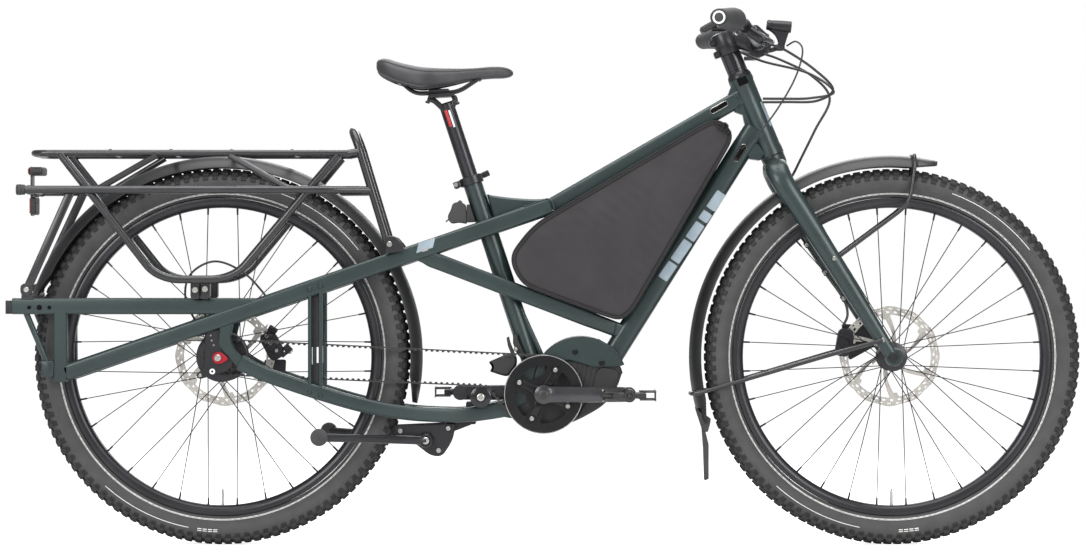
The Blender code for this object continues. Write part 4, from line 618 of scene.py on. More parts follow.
STEEL = worked_steel("Zinc plated steel screws", "#B9B7B2", 0.28)
ROTOR_STEEL = worked_steel("Ground stainless brake disc", "#C8C4BD", 0.3, (1, 8, 1))
SPOKE_STEEL = worked_steel("Black oxide stainless spoke", "#3B3B3C", 0.34)
DARK_STEEL = worked_steel("Phosphated steel", "#4C4B49", 0.4)

# %% [markdown]
# Rubber, plastic and cloth scatter light instead of mirroring it. The tyre has the greyish bloom of
# new rubber. The saddle is skinned with a microfibre whose grain is about a third of a millimetre.
# The bag's cloth is woven, and two waves at right angles give its warp and weft at one thread each
# 0.55 mm, with a soft sheen where the fibres stand up.

# %% Rubbers, plastics and cloth
def moulded(name, dark, light, roughness, size, depth, specular=0.5):
    """A moulded or matt surface: mottled colour and a leathery grain of that size and depth."""

    def build(tree):
        return {
            "Base Color": ramp(tree, grain(tree, 0.03, 4), linear(dark), linear(light)),
            "Normal": bump(tree, grain(tree, size, 3), depth),
        }

    return finish(
        name, {"Base Color": linear(light), "Roughness": roughness, "Specular IOR Level": specular}, build
    )


TYRE_RUBBER = moulded("Tyre tread rubber", "#1A1A1A", "#242424", 0.72, 0.0012, 0.00008)
SIDEWALL = moulded("Tyre sidewall rubber", "#343434", "#3F3F3F", 0.62, 0.0009, 0.00006)
SOFT_RUBBER = moulded("Soft grip rubber", "#2C2C2D", "#373738", 0.66, 0.0007, 0.00005)
HOSE_SKIN = moulded("Extruded hose jacket", "#1E1E1F", "#262627", 0.42, 0.001, 0.00001)
PLASTIC = moulded("Spark-eroded black nylon", "#1F1F20", "#272728", 0.5, 0.0006, 0.00005)
FENDER_PLASTIC = moulded("Satin polycarbonate fender", "#121213", "#19191A", 0.44, 0.0009, 0.00002)
# The next finish is near black with a weak reflection. On the cable ports it is the grommets' real rubber,
# darkened as painted shade of the deep slot. In the tail rail's holes and in the head tube's dark bands it is
# painted shade alone.
RUBBER_AND_HOLE_SHADE = moulded("Black rubber and painted hole shade", "#0A0A0A", "#101010", 0.85, 0.001, 0.00001, specular=0.1)
GLOSS_PLASTIC = moulded("Polished black plastic", "#17171A", "#1D1D20", 0.16, 0.001, 0.000004)
BELT_URETHANE = moulded("Cast belt urethane", "#1B1B1C", "#252526", 0.52, 0.0008, 0.00003)
SADDLE_SKIN = moulded("Saddle microfibre", "#2C2C2E", "#37373A", 0.55, 0.0004, 0.00006)
REFLECTIVE = moulded("Reflective tape", "#D9D8D4", "#E8E6E2", 0.4, 0.0004, 0.00001)
PALE_PRINT = moulded("Pale blue-grey transfer", "#818F98", "#94A1A9", 0.48, 0.0009, 0.00001)
GREY_PRINT = moulded("Grey pad print", "#8A8A88", "#9C9C9A", 0.55, 0.0009, 0.00001)
WHITE_PRINT = moulded("White pad print", "#D5D5D3", "#E4E4E2", 0.5, 0.0009, 0.00001)
RED_PRINT = moulded("Red pad print", "#A8222B", "#B82E36", 0.5, 0.0009, 0.00001)


def weave(tree, pitch, rotate):
    """Threads side by side at that pitch, as a wave across them in the plane of X and Z."""
    place = add(tree, "ShaderNodeTexCoord").outputs["Object"]
    turned = add(tree, "ShaderNodeMapping", {"Vector": place, "Rotation": rotate})
    made = add(
        tree,
        "ShaderNodeTexWave",
        {"Vector": turned.outputs[0], "Scale": 2 * np.pi / (20 * pitch), "Distortion": 0.4, "Detail": 1.0},
        wave_type="BANDS",
        bands_direction="X",
    )
    return made.outputs["Fac"]


def woven(name, dark, light, pitch, sheen=0.35):
    """Plain-woven coated cloth: crossing threads, broad creases in the coating and a fibre sheen."""

    def build(tree):
        warp, weft = weave(tree, pitch, (0, 0, 0)), weave(tree, pitch, (0, np.pi / 2, 0))
        cross = add(tree, "ShaderNodeMath", {0: warp, 1: weft}, operation="MULTIPLY")
        worn = grain(tree, 0.07, 5)
        cloth = bump(tree, cross.outputs[0], 0.00003)
        crease = add(
            tree, "ShaderNodeBump", {"Height": worn, "Distance": 0.0012, "Strength": 0.5, "Normal": cloth}
        )
        return {"Base Color": ramp(tree, worn, linear(dark), linear(light)), "Normal": crease.outputs[0]}

    settings = {"Base Color": linear(light), "Roughness": 0.82, "Sheen Weight": sheen, "Sheen Roughness": 0.4}
    return finish(name, settings, build)


BAG_CLOTH = woven("Coated polyester bag cloth", "#282527", "#302D2F", 0.00055)
WEBBING = woven("Ribbed polyester binding", "#0C0B0C", "#141314", 0.0009, sheen=0.08)


def lens(name, colour, roughness, transmission, ribs=0.0):
    """A clear or dyed plastic moulding. Ribs of that size send light back, as in a reflector."""

    def build(tree):
        if not ribs:
            return {"Normal": bump(tree, grain(tree, 0.004), 0.00001)}
        place = add(tree, "ShaderNodeTexCoord").outputs["Object"]
        cells = add(tree, "ShaderNodeTexVoronoi", {"Vector": place, "Scale": 1 / ribs, "Randomness": 0.0})
        return {"Normal": bump(tree, cells.outputs["Distance"], 0.0006)}

    settings = {
        "Base Color": linear(colour),
        "Roughness": roughness,
        "Transmission Weight": transmission,
        "IOR": 1.49,
    }
    return finish(name, settings, build)


RED_LENS = lens("Dyed red acrylic", "#B3121A", 0.12, 0.35, 0.0032)
CLEAR_LENS = lens("Clear polycarbonate lens", "#E6EAEC", 0.06, 0.85)
DISPLAY_GLASS = lens("Bonded display glass", "#101215", 0.08, 0.0)
print("materials:", len(bpy.data.materials))

# %% [markdown]
# ## Tyres
#
# The tyres are 65 mm wide for rough ground. The casing is a section turned round the axle: it leaves
# the rim's bead, swells to its full width about 30 mm out, and comes over under the tread. The tread's
# rubber blocks are small tapered lumps, all in one array. The centre row alternates between wide and
# split blocks, the next row fills its gaps, and the shoulder blocks lean out square to the curved
# casing. A reflective stripe and a few thin mould ribs run round the sidewall.

# %% Tyre casing, tread and stripe
WHEEL_RADIUS = 0.375
AXLES = {"rear": (-0.6445, WHEEL_RADIUS), "front": (0.6925, WHEEL_RADIUS)}
CASING = np.array([
    (0.318, 0.014), (0.3195, 0.0172), (0.3235, 0.0205), (0.332, 0.0268), (0.341, 0.0308), (0.349, 0.0322),
    (0.356, 0.0316), (0.3625, 0.028), (0.3665, 0.0215), (0.3688, 0.012), (0.3695, 0.0),
])
KNOB_TOP = WHEEL_RADIUS - 0.0001


def casing_section():
    """The casing's closed section: the outer line, mirrored, and a flat base between the beads."""
    outer = smooth(CASING, 4)
    ribs = 0.0004 * np.isin(np.arange(len(outer)), (7, 9, 15, 17, 19))
    outer[:, 1] += ribs
    mirror_half = outer[-2::-1] * (1, -1)
    return np.concatenate([outer, mirror_half])


def knobs(centre, count, place, tilt, half_length, half_width, height, phase=0.0, skew=0.0):
    """count tapered blocks round a wheel: at each turn the corners (along, across, out) of one block.

    place is the block's foot (radius, y), and tilt how far its outward axis leans to the side.
    """
    turn = (np.arange(count) + phase) * 2 * np.pi / count
    out = np.stack([np.cos(turn), np.zeros(count), np.sin(turn)], -1)
    along = np.stack([-np.sin(turn), np.zeros(count), np.cos(turn)], -1)
    lean_out = out * np.cos(tilt) + Y * np.sin(tilt)
    lean_side = Y * np.cos(tilt) - out * np.sin(tilt)
    layers = [(-0.002, 1.04), (0.8 * height, 0.92), (height, 0.78)]
    corner = np.array([(-1, -1), (1, -1), (1, 1), (-1, 1)])
    points = []
    for level, share in layers:
        a = corner[:, 0] * half_length * share + corner[:, 1] * skew
        b = corner[:, 1] * half_width * share
        foot = place[0] * out + place[1] * Y
        points.append(
            foot[:, None] + a[None, :, None] * along[:, None] + b[None, :, None] * lean_side[:, None]
            + level * lean_out[:, None]
        )
    points = np.stack(points, 1) + np.array([centre[0], 0, centre[1]])
    quads = np.concatenate([grid_faces(3, 4), [[3, 2, 1, 0]], [[8, 9, 10, 11]]])
    faces = (np.arange(count) * 12)[:, None, None] + quads
    return solid(points.reshape(-1, 3), [faces.reshape(-1, 4)])


KNOBS_IN_A_ROW = 118
# Each row: the foot's radius and distance from the middle, lean, half length, half width, height, phase
TREAD_ROWS = [
    (0.369, 0.0062, 0.0, 0.006, 0.005, KNOB_TOP - 0.369, 0.0),
    (0.3672, 0.0178, 0.24, 0.0058, 0.0046, 0.0036, 0.5),
    (0.363, 0.0266, 0.62, 0.0062, 0.0052, 0.0068, 0.0),
    (0.3565, 0.0308, 1.1, 0.0052, 0.0038, 0.0026, 0.06),
]


def tread(centre):
    """Rows of blocks over the casing, the right side's an eighth of a pitch ahead of the left side's."""
    parts = []
    for side, shift in ((1, 0.0), (-1, 0.12)):
        for radius, y, lean, length, width, height, phase in TREAD_ROWS:
            skew = 0.0 if lean else side * 0.0012
            place = (radius, side * y)
            parts.append(
                knobs(centre, KNOBS_IN_A_ROW, place, side * lean, length, width, height, shift + phase, skew)
            )
    return parts


def band_section(radius, half, lift):
    """A band's radii and distances from the middle: sunk at both edges, raised by lift between them."""
    outer = smooth(CASING[:-1], 8)
    radii = radius + np.array([-half, -half, half, half])
    return radii, np.interp(radii, outer[:, 0], outer[:, 1]) + np.array([-0.0004, lift, lift, -0.0004])


def sidewall_mark(centre, radius, half, start, end, count):
    """A thin strip on both sidewalls between two turns in degrees, as wide as 2 half."""
    radii, y = band_section(radius, half, 0.0003)
    turn = np.radians(np.linspace(start, end, count))[:, None]
    x, z = centre[0] + np.cos(turn) * radii, centre[1] + np.sin(turn) * radii
    return both([solid(np.stack([x, np.broadcast_to(y, x.shape), z], -1), capped(count, 4))])


CENTRES = {end: xz(axle)[0] for end, axle in AXLES.items()}
for end, axle in AXLES.items():
    body, centre = f"{end}_wheel", CENTRES[end]
    piece(f"{end}_tyre_casing", SIDEWALL, body, [
        lathe(casing_section(), centre, Y, 180)
    ], [f"{end}_tyre"], 40)
    piece(f"{end}_tyre_tread", TYRE_RUBBER, body, tread(axle), sharp=20)
    stripe = lathe(np.stack(band_section(0.3252, 0.0013, 0.0003), -1), centre, Y, 160)
    piece(f"{end}_tyre_stripe", REFLECTIVE, body, both([stripe]))
    first = -98 if end == "rear" else -88
    marks = []
    for k in range(4):
        marks += sidewall_mark(axle, 0.346, 0.0033, first + 1.75 * k, first + 1.75 * k + 1.35, 6)
    for start, stop in ((-132, -101), (38, 70)):
        marks += sidewall_mark(axle, 0.346, 0.0006, start, stop, 60)
    piece(f"{end}_tyre_bars", REFLECTIVE, body, marks)
print("knobs on each tyre:", 2 * len(TREAD_ROWS) * KNOBS_IN_A_ROW)

# %% [markdown]
# ## Rims, spokes and nipples
#
# Each rim is an extruded aluminium box section, rolled into a hoop: two hooked walls that hold the tyre,
# a well between them, and a sloped inner face where the nipples sit. Thirty-two spokes cross from the
# hub's two flanges. Neighbours pull opposite ways, which is how a wheel carries the drive's and the
# brake's pull, and each leaves its flange with a small head and enters the rim through a nipple.

# %% Rims and spokes
SPOKES = 32
RIM_HALF = np.array([
    (0.2972, -0.0075), (0.299, -0.011), (0.3035, -0.015), (0.309, -0.0164), (0.316, -0.0166),
    (0.3172, -0.016), (0.3174, -0.0128), (0.315, -0.011), (0.312, -0.006),
])
RIM_SECTION = np.concatenate([RIM_HALF, RIM_HALF[::-1] * (1, -1)])


def spoke_ends(centre, flange_radius, flange_y):
    """Where every spoke leaves its flange and meets the rim, each (n, 3)."""
    k = np.arange(SPOKES)
    side = np.where(k % 2, 1, -1)
    angle = 2 * np.pi * (k + 0.5) / SPOKES
    lean = np.radians(38) * np.where(k % 4 < 2, 1, -1)
    pitch, out = flange_radius - 0.003, flange_y + np.where(lean > 0, 0.0016, -0.0006)
    start = np.stack([pitch * np.cos(angle + lean), side * out, pitch * np.sin(angle + lean)], -1)
    end = np.stack([0.2968 * np.cos(angle), side * 0.003, 0.2968 * np.sin(angle)], -1)
    return start + centre, end + centre


def spoke_set(centre, flange_radius, flange_y):
    """Every spoke with its head, and every nipple."""
    spokes, nipples = [], []
    for start, end in zip(*spoke_ends(centre, flange_radius, flange_y)):
        way, outward = unit(end - start), Y * np.sign(start[1])
        spokes.append(rod(start - way * 0.002, end - way * 0.01, 0.001, count=8, edge=0.0003))
        spokes.append(rod(start - outward * 0.0024, start + outward * 0.0014, 0.0017, count=10))
        nipples.append(rod(end - way * 0.0125, end + way * 0.004, 0.0019, 0.0022, count=8, edge=0.0003))
    return spokes, nipples


FLANGES = {"rear": (0.05, 0.034), "front": (0.029, 0.029)}
for end, centre in CENTRES.items():
    body = f"{end}_wheel"
    rim = [lathe(RIM_SECTION, centre, Y, 160)]
    piece(f"{end}_rim_hoop", ANODISED, body, rim, [f"{end}_rim"])
    valve = centre - Z * 0.2985
    stem = [rod(valve, valve + Z * 0.03, 0.003, 0.0026), rod(valve + Z * 0.028, valve + Z * 0.034, 0.002)]
    piece(f"{end}_valve", STEEL, body, stem)
    spokes, nipples = spoke_set(centre, *FLANGES[end])
    piece(f"{end}_spokes", SPOKE_STEEL, body, spokes, [f"{end}_hub"])
    piece(f"{end}_nipples", SPOKE_STEEL, body, nipples)

# %% [markdown]
# ## Hubs and brake discs
#
# The front hub is a slim turned barrel between two flanges. The rear hub is a wide drum, because gears
# turn inside it, and its right side takes the belt's sprocket. Both discs sit on the left. A disc is
# laser-cut from stainless sheet, so it's drawn the same way: as a polar grid of small cells in which
# the windows and slots are left out, with walls round every gap.

# %% Stencilled sheet and the discs
def stencil(corners, mask, low, high):
    """A sheet with gaps: the grid's corners (rows + 1, columns, 2), and mask (rows, columns) where metal is.

    Columns wrap round. Every kept cell has a top and a bottom, and a wall where its neighbour is missing.
    """
    columns = mask.shape[1]
    flat = corners.reshape(-1, 2)
    count = len(flat)
    points = np.concatenate([xz(flat, high), xz(flat, low)])
    i, j = np.nonzero(mask)
    right = (j + 1) % columns
    a, b, c, d = i * columns + j, i * columns + right, (i + 1) * columns + right, (i + 1) * columns + j
    faces = [np.stack([a, b, c, d], -1), np.stack([d, c, b, a], -1) + count]
    empty = ~np.pad(mask, ((1, 1), (0, 0)))
    for missing, p, q in (
        (empty[i, j], b, a), (empty[i + 2, j], d, c),
        (~mask[i, j - 1], a, d), (~mask[i, right], c, b),
    ):
        p, q = p[missing], q[missing]
        faces.append(np.stack([p, q, q + count, p + count], -1)[:, ::-1])
    return solid(points, faces)


def disc(axle, y, slots):
    """A brake disc 203 mm across: a scalloped, slotted braking ring on six curved arms.

    slots holds how often a slot comes round, the second row's shift and a slot's length, in cells.
    """
    count = 360
    radii = np.concatenate([np.linspace(0.0205, 0.083, 15), np.linspace(0.0848, 0.0998, 9)])
    turn = np.arange(count) * 2 * np.pi / count
    r, a = np.meshgrid(radii, turn, indexing="ij")
    share = (r - 0.0205) / 0.0807
    a = a + 0.55 * np.sin(np.pi * share / 2)
    wave = 0.0012 * np.cos(12 * a) * (r > 0.0975) + 0.0016 * np.cos(12 * a) * ((r > 0.084) & (r < 0.0855))
    corners = np.stack([axle[0] + (r + wave) * np.cos(a), axle[1] + (r + wave) * np.sin(a)], -1)
    row = (radii[:-1] + radii[1:])[:, None] / 2
    column = np.arange(count)[None]
    arm = (column % 60) < np.where(row < 0.04, 16, np.where(row < 0.072, 9, 14))
    carrier = row < 0.0255
    phase = (column + (row > 0.0915) * slots[1]) % slots[0]
    rows_with_holes = (abs(row - 0.0886) < 0.0016) | (abs(row - 0.0952) < 0.0016)
    ring = (row > 0.0835) & ~(rows_with_holes & (phase < slots[2]))
    return stencil(corners, arm & (row < 0.086) | carrier | ring, y - 0.001, y + 0.001)


rear, front = CENTRES["rear"], CENTRES["front"]
piece("rear_disc", ROTOR_STEEL, "rear_wheel", [disc(AXLES["rear"], 0.06, (12, 6, 3))], sharp=25)
piece("front_disc", ROTOR_STEEL, "front_wheel", [disc(AXLES["front"], 0.041, (10, 4, 4))], sharp=25)


def disc_bolts(centre, y):
    turn = np.radians(60 * np.arange(6) + 10)
    places = centre + np.stack([0.0225 * np.cos(turn), np.full(6, y), 0.0225 * np.sin(turn)], -1)
    return [bolt(place, Y, 0.0035) for place in places]


piece("rear_disc_bolts", STEEL, "rear_wheel", disc_bolts(rear, 0.061))
piece("front_disc_bolts", STEEL, "front_wheel", disc_bolts(front, 0.042))

front_barrel = [
    (0, -0.0497), (0.0072, -0.0497), (0.0085, -0.048), (0.0095, -0.04), (0.015, -0.039), (0.016, -0.0345),
    (0.0285, -0.0322), (0.0292, -0.0312), (0.0292, -0.0282), (0.0285, -0.0272), (0.0165, -0.0235),
    (0.0125, -0.015), (0.012, 0.0), (0.013, 0.015), (0.0175, 0.0235), (0.0285, 0.0272), (0.0292, 0.0282),
    (0.0292, 0.0312), (0.0285, 0.0322), (0.02, 0.0345), (0.02, 0.039), (0.015, 0.041), (0.0095, 0.044),
    (0.0085, 0.048), (0.0072, 0.0497), (0, 0.0497),
]
rear_drum = [
    (0, -0.0394), (0.02, -0.0394), (0.033, -0.0385), (0.04, -0.0372), (0.0495, -0.0366), (0.0503, -0.0356),
    (0.0503, -0.0326), (0.049, -0.0312), (0.0452, -0.03), (0.044, -0.027), (0.044, -0.012), (0.0432, -0.0112),
    (0.0432, 0.0112), (0.044, 0.012), (0.044, 0.027), (0.0452, 0.03), (0.049, 0.0312), (0.0503, 0.0326),
    (0.0503, 0.0356), (0.049, 0.0368), (0.033, 0.039), (0.03, 0.042), (0.024, 0.056), (0.02, 0.0588),
    (0.014, 0.06), (0.012, 0.066), (0.0078, 0.068), (0.0075, 0.0733), (0, 0.0733),
]
piece("front_hub_barrel", ANODISED, "front_wheel", [turned(front_barrel, front, Y, 64)])
piece("rear_hub_drum", ANODISED, "rear_wheel", [turned(rear_drum, rear, Y, 80)])

# %% [markdown]
# ## The frame
#
# The frame is welded from 6000-series aluminium tubes and then powder coated. The two long rails start
# beside the seat tube and spread to pass the rear wheel, and they carry the load straight to the tail.
# Flat-sided rounded tubes like these are stiffer upright than round ones. The sections are the
# measured ones, and their softer corners come from drawing the tube.

# %% Front tubes
HEAD_TOP = np.array([0.39, 0, 0.932])
HEAD_ANGLE = np.radians(22.4)
DOWN = np.array([np.sin(HEAD_ANGLE), 0, -np.cos(HEAD_ANGLE)])
AHEAD = np.array([np.cos(HEAD_ANGLE), 0, np.sin(HEAD_ANGLE)])
SEAT_TOP, SEAT_END = np.array([-0.146, 0, 0.724]), np.array([-0.034, 0, 0.384])
SEAT_UP = unit(SEAT_TOP - SEAT_END)
CRANK_PLAN = (-0.003, 0.301)
CRANK = xz(CRANK_PLAN)[0]
CRADLE = (0.071, 0.321)


def steer(down, ahead=0.0, y=0.0):
    """A point that far down the steering axis from the head tube's top, ahead of it and to the side."""
    return HEAD_TOP + DOWN * down + AHEAD * ahead + Y * y


def seat_axis(up, y=0.0):
    return SEAT_TOP + SEAT_UP * up + Y * y


def weld(centre, axis, radius, width=0.0028):
    """A smoothed weld bead: a low ring round a tube's end."""
    turn = np.linspace(0, np.pi, 7)
    bead = np.stack([radius - 0.0012 + 0.0024 * np.sin(turn), -width * np.cos(turn)], -1)
    base = [(radius - 0.0012, width), (radius - 0.0012, -width)]
    return lathe(np.concatenate([bead, base[:1]]), centre, axis, 48)


head_profile = [
    (0.0182, 0.0), (0.0243, 0.0), (0.025, 0.001), (0.025, 0.009), (0.0238, 0.012), (0.0236, 0.08),
    (0.024, 0.15), (0.025, 0.156), (0.025, 0.1672), (0.0243, 0.168), (0.0182, 0.168),
]
front_tubes = [
    lathe(head_profile, HEAD_TOP, DOWN, 64),
    sweep(xz(
        [(0.012, 0.6741), (0.15, 0.7538), (0.391, 0.893)]
    ), rounded_box(0.0384, 0.034, 0.0085, 5), Y, edge=0.001),
    sweep(xz([(0.126, 0.363), (0.419, 0.831)]), rounded_box(0.0496, 0.0436, 0.014, 6), Y, edge=0.001),
    turned([(0, -0.382), (0.019, -0.382), (0.019, 0.0079), (
        0.0184, 0.0085
    ), (0.0163, 0.0085), (0.0163, -0.262), (0, -0.262)], SEAT_TOP, SEAT_UP, 48),
    weld(seat_axis(0.0065), SEAT_UP, 0.0192, 0.0016),
]
gusset = smooth([(-0.1165, 0.6985), (-0.07, 0.6925), (-0.02, 0.6895), (0.018, 0.693), (0.042, 0.702)], 6)
gusset_low = smooth([(0.024, 0.67), (-0.03, 0.661), (-0.07, 0.648), (-0.1, 0.64)], 6)
front_tubes.append(slab(np.concatenate([gusset, gusset_low]), -0.016, 0.016, 0.0035))
front_tubes.append(
    sweep(xz([(-0.06, 0.497), (-0.056, 0.485), (0.0, 0.362)]), rounded_box(0.026, 0.01, 0.004), Y)
)
piece("frame_front_tubes", GREEN, "frame", front_tubes, [
    "head_tube", "top_tube", "down_tube", "seat_tube"
])

# %% [markdown]
# The rails run level with the top tube, pass the seat tube on both sides, and spread to 80 mm from the
# middle. Under them a second pair of braces ties the seat tube to the down tube, and a yoke at the rear
# holds the axle. The upright plates between rail and chainstay are open in the middle, which saves
# weight and lets the belt be changed.

# %% Rails, braces, stays and tail
RAIL_FRONT_Y, RAIL_Y = 0.0316, 0.08
rail_path = bent(xz([
    (0.012, 0.6758), (-0.13, 0.6268), (-0.4, 0.5336), (-0.95, 0.344)
], [RAIL_FRONT_Y, RAIL_FRONT_Y, RAIL_Y, RAIL_Y]), 0.25, 14)
flat_tube = rounded_box(0.024, 0.033, 0.0068, 5)
rails = both([sweep(rail_path, flat_tube, Y, edge=0.0015)])
rails.append(rod((-0.215, -0.045, 0.5965), (-0.215, 0.045, 0.5965), 0.011))
brace_path = bent(xz([
    (-0.262, 0.5815), (-0.218, 0.5665), (-0.06, 0.5062), (0.06, 0.4605), (0.157, 0.4236)
], [0.056, 0.047, 0.03, 0.03, 0.013]), 0.12, 8)
brace_size = np.interp(
    np.linspace(0, 1, len(brace_path)), [0, 0.06, 0.12, 0.9, 1], [0.7, 0.85, 1.0, 1.0, 0.92]
)
rails += both([sweep(brace_path, rounded_box(0.02, 0.032, 0.006, 5), Y, brace_size, edge=0.001)])
rails.append(block((0.105, 0, 0.4433), (0.03, 0.04, 0.026), -0.366, 0.004, 0.002))
piece("frame_rails", GREEN, "frame", rails, ["main_rails", "lower_braces"])

stay_path = bent(xz([
    (-0.605, 0.366), (-0.561, 0.343), (-0.466, 0.31), (-0.362, 0.279), (-0.268, 0.262), (-0.16, 0.258),
    (-0.1, 0.268), (-0.064, 0.276),
], [0.08, 0.08, 0.08, 0.08, 0.062, 0.036, 0.031, 0.03]), 0.06, 7)
stay_size = np.interp(stay_path[:, 0], [-0.605, -0.56, -0.16, -0.11, -0.064], [1.06, 1.0, 1.0, 1.12, 1.22])
yoke = outline_of(
    [
        (-0.65, 0.45), (-0.612, 0.456), (-0.618, 0.4347), (-0.6235, 0.4118), (-0.6118, 0.388),
        (-0.5942, 0.3705), (-0.5697, 0.3565), (-0.55, 0.348), (-0.56, 0.327), (-0.5802, 0.3362),
        (-0.6083, 0.3556), (-0.6259, 0.3732), (-0.6399, 0.3873), (-0.6488, 0.4084), (-0.644, 0.4276),
    ],
    [0.004, 0.004, 0.02, 0.03, 0.02, 0.02, 0.01, 0.006, 0.006, 0.01, 0.02, 0.02, 0.02, 0.02, 0.01],
    6,
)
stays = [
    sweep(
        stay_path, rounded_box(0.022, 0.029, 0.0066, 5), Y, np.stack([stay_size, stay_size], -1), edge=0.0015
    ),
    slab(yoke, 0.0742, 0.088, 0.0025),
    tube([(-0.5745, 0.088, 0.3325), (-0.561, 0.088, 0.3555)], 0.0014, Y, 8),
]
for x, low, high in ((-0.4655, 0.306, 0.509), (-0.4443, 0.3, 0.516)):
    stays.append(sweep(xz([(x, low), (x, high)], RAIL_Y), rounded_box(0.0215, 0.0076, 0.003), Y))
    for z in (low, high):
        stays.append(rod((x, 0.088, z), (x, 0.0936, z), 0.0052, 0.0046, 20, 0.001))
piece("frame_stays", GREEN, "frame", both(stays), ["chainstay_left", "chainstay_right"])

# Between the posts, set-back sheets of black plastic are painted shade for the shaded recess between them.
painted_recess_shade = []
for low, high in ((0.395, 0.506), (0.306, 0.361)):
    between = outline_of([(-0.4655, low), (-0.4443, low), (-0.4443, high), (-0.4655, high)], 0.001, 3)
    painted_recess_shade.append(slab(between, 0.0715, 0.075))
piece("post_painted_recess_shade", PLASTIC, "frame", both(painted_recess_shade))

TAIL_X, TAIL_Z = -1.0675, 0.476
tail = [
    sweep(xz(
        [(TAIL_X + 0.013, TAIL_Z), (-0.562, TAIL_Z)], RAIL_Y
    ), rounded_box(0.0232, 0.032, 0.0055, 5), Y, edge=0.001),
    slab(outline_of(
        [(-0.972, 0.326), (-0.946, 0.326), (-0.9445, 0.352), (-0.946, 0.47), (-0.972, 0.47)], 0.003
    ), RAIL_Y - 0.012, RAIL_Y + 0.012, 0.002),
    block((-0.9845, RAIL_Y, 0.352), (0.026, 0.02, 0.033), 0, 0.004, 0.002),
    rod((-1.029, RAIL_Y, 0.466), (-0.986, RAIL_Y, 0.364), 0.006),
]
tail = both(tail) + [rod((-1.048, -RAIL_Y, TAIL_Z), (-1.048, RAIL_Y, TAIL_Z), 0.01)]
piece("frame_tail", GREEN, "frame", tail, ["tail_frame"])
cap_z = TAIL_Z - 0.002
caps = [block((TAIL_X + 0.0075, RAIL_Y, cap_z), (0.0145, 0.018, 0.0236), 0, 0.004, 0.0015)]
for along in (0.0014, 0.0052, 0.009, 0.0128):
    caps.append(block((TAIL_X + along, RAIL_Y, cap_z), (0.0022, 0.0205, 0.0266), 0, 0.0008, 0.0005))
piece("tail_caps", PLASTIC, "frame", both(caps))

# %% [markdown]
# Small fittings tell the eye that this is a made thing: rivet nuts where a rack or a child seat can go,
# their holes drawn as black discs of painted shade, cable ports with rubber grommets darkened as
# painted shade and ringed with a painted highlight, a pale printed strip on the head tube, and the
# sliding blocks that tension the belt. The red block is dyed in the anodising bath.

# %% Frame fittings
def tube_axes(way):
    """A tube's own direction, given as (x, z), and the upward one square to it."""
    way = unit(xz(way)[0])
    up = np.cross(way, Y)
    return way, up * np.sign(up[2])


def on_tube(place, way, half_length, half_height, y, thick=0.0012, corner=1.0):
    """A rounded patch that lies on a tube's flat side, its long side along the tube."""
    way, up = tube_axes(way)
    corner = min(half_length, half_height) * corner
    shape = rounded_box(2 * half_length, 2 * half_height, corner * 0.999, 6)
    low, high = (y - thick, y) if y < 0 else (y, y + thick)
    return moved(slab(shape, low, high, 0.0003, u=way, v=up), xz(place)[0])


rail_way = (-0.55, -0.1896)
slots = [
    ((0.3469, 0.8722), (0.8686, 0.4955), 0.0185, 0.0042, 0.0192),
    ((0.389, 0.7815), (0.53, 0.848), 0.018, 0.0044, 0.0248),
]
# The grommets are black rubber, finished darker than rubber alone: painted shade of the slot behind them.
ports = []
for place, way, length, height, y in slots:
    ports += [on_tube(place, way, length, height, side * y) for side in (1, -1)]
piece("cable_port_grommets", RUBBER_AND_HOLE_SHADE, "frame", ports)
# Steel-bright rims round the ports: a painted highlight for the light caught on each port's raised green
# edge.
rims = []
for place, way, length, height, y in slots:
    way, up = tube_axes(way)
    outer, inner = (
        rounded_box(2 * (length + grow), 2 * (height + grow), height + grow - 0.0001, 6)
        for grow in (0.0019, 0.0002)
    )
    rims.append(moved(slab(outer, y - 0.0002, y + 0.0018, 0.0008, inner, u=way, v=up), xz(place)[0]))
piece("cable_port_painted_highlight_rims", STEEL, "frame", both(rims))
fittings = [bolt((x, -0.0253, z), -Y, 0.0026) for x, z in ((0.3955, 0.7935), (0.3805, 0.769))]
# The rail's holes are flat black discs: painted shade for the hollows.
holes = []
for x, r in ((-1.0202, 0.004), (-1.0, 0.0056), (-0.9803, 0.004)):
    holes += both([rod((x, RAIL_Y + 0.01, 0.4735), (x, RAIL_Y + 0.0119, 0.4735), r, count=24, edge=0.0002)])
piece("frame_screws", DARK_STEEL, "frame", fittings)
piece("tail_rail_painted_hole_shade", RUBBER_AND_HOLE_SHADE, "frame", holes)


def wrapped(at, outward, low, high, radius, thick):
    """A thin patch round a tube, between two places along the axis that at() gives."""
    inner = radius - thick
    corners = ((low, radius), (high, radius), (high, inner), (low, inner))
    return solid(np.stack([at(along) + r * outward for along, r in corners], 1), capped(len(outward), 4))


def head_patch(middle, half, low, high, radius=0.02522, thick=0.0006):
    """A patch round the head tube: a turn of middle ± half degrees, from low to high down the axis."""
    turn = np.radians(np.linspace(middle - half, middle + half, 13))[:, None]
    return wrapped(steer, np.cos(turn) * Y + np.sin(turn) * AHEAD, low, high, radius, thick)


piece("head_tube_strip", PALE_PRINT, "frame", [head_patch(90, 42, 0.06, 0.112, 0.0241, 0.0008)])
bars = []
for run, long in ((-0.066, 0.019), (-0.018, 0.024), (0.03, 0.019), (0.066, 0.01), (0.104, 0.02)):
    place = (0.282 + 0.566 * run, 0.6 + 0.824 * run)
    bars += [on_tube(place, (0.566, 0.824), long, 0.0102, side * 0.0247, 0.0005, 0.25) for side in (1, -1)]
piece("down_tube_bars", PALE_PRINT, "frame", bars)
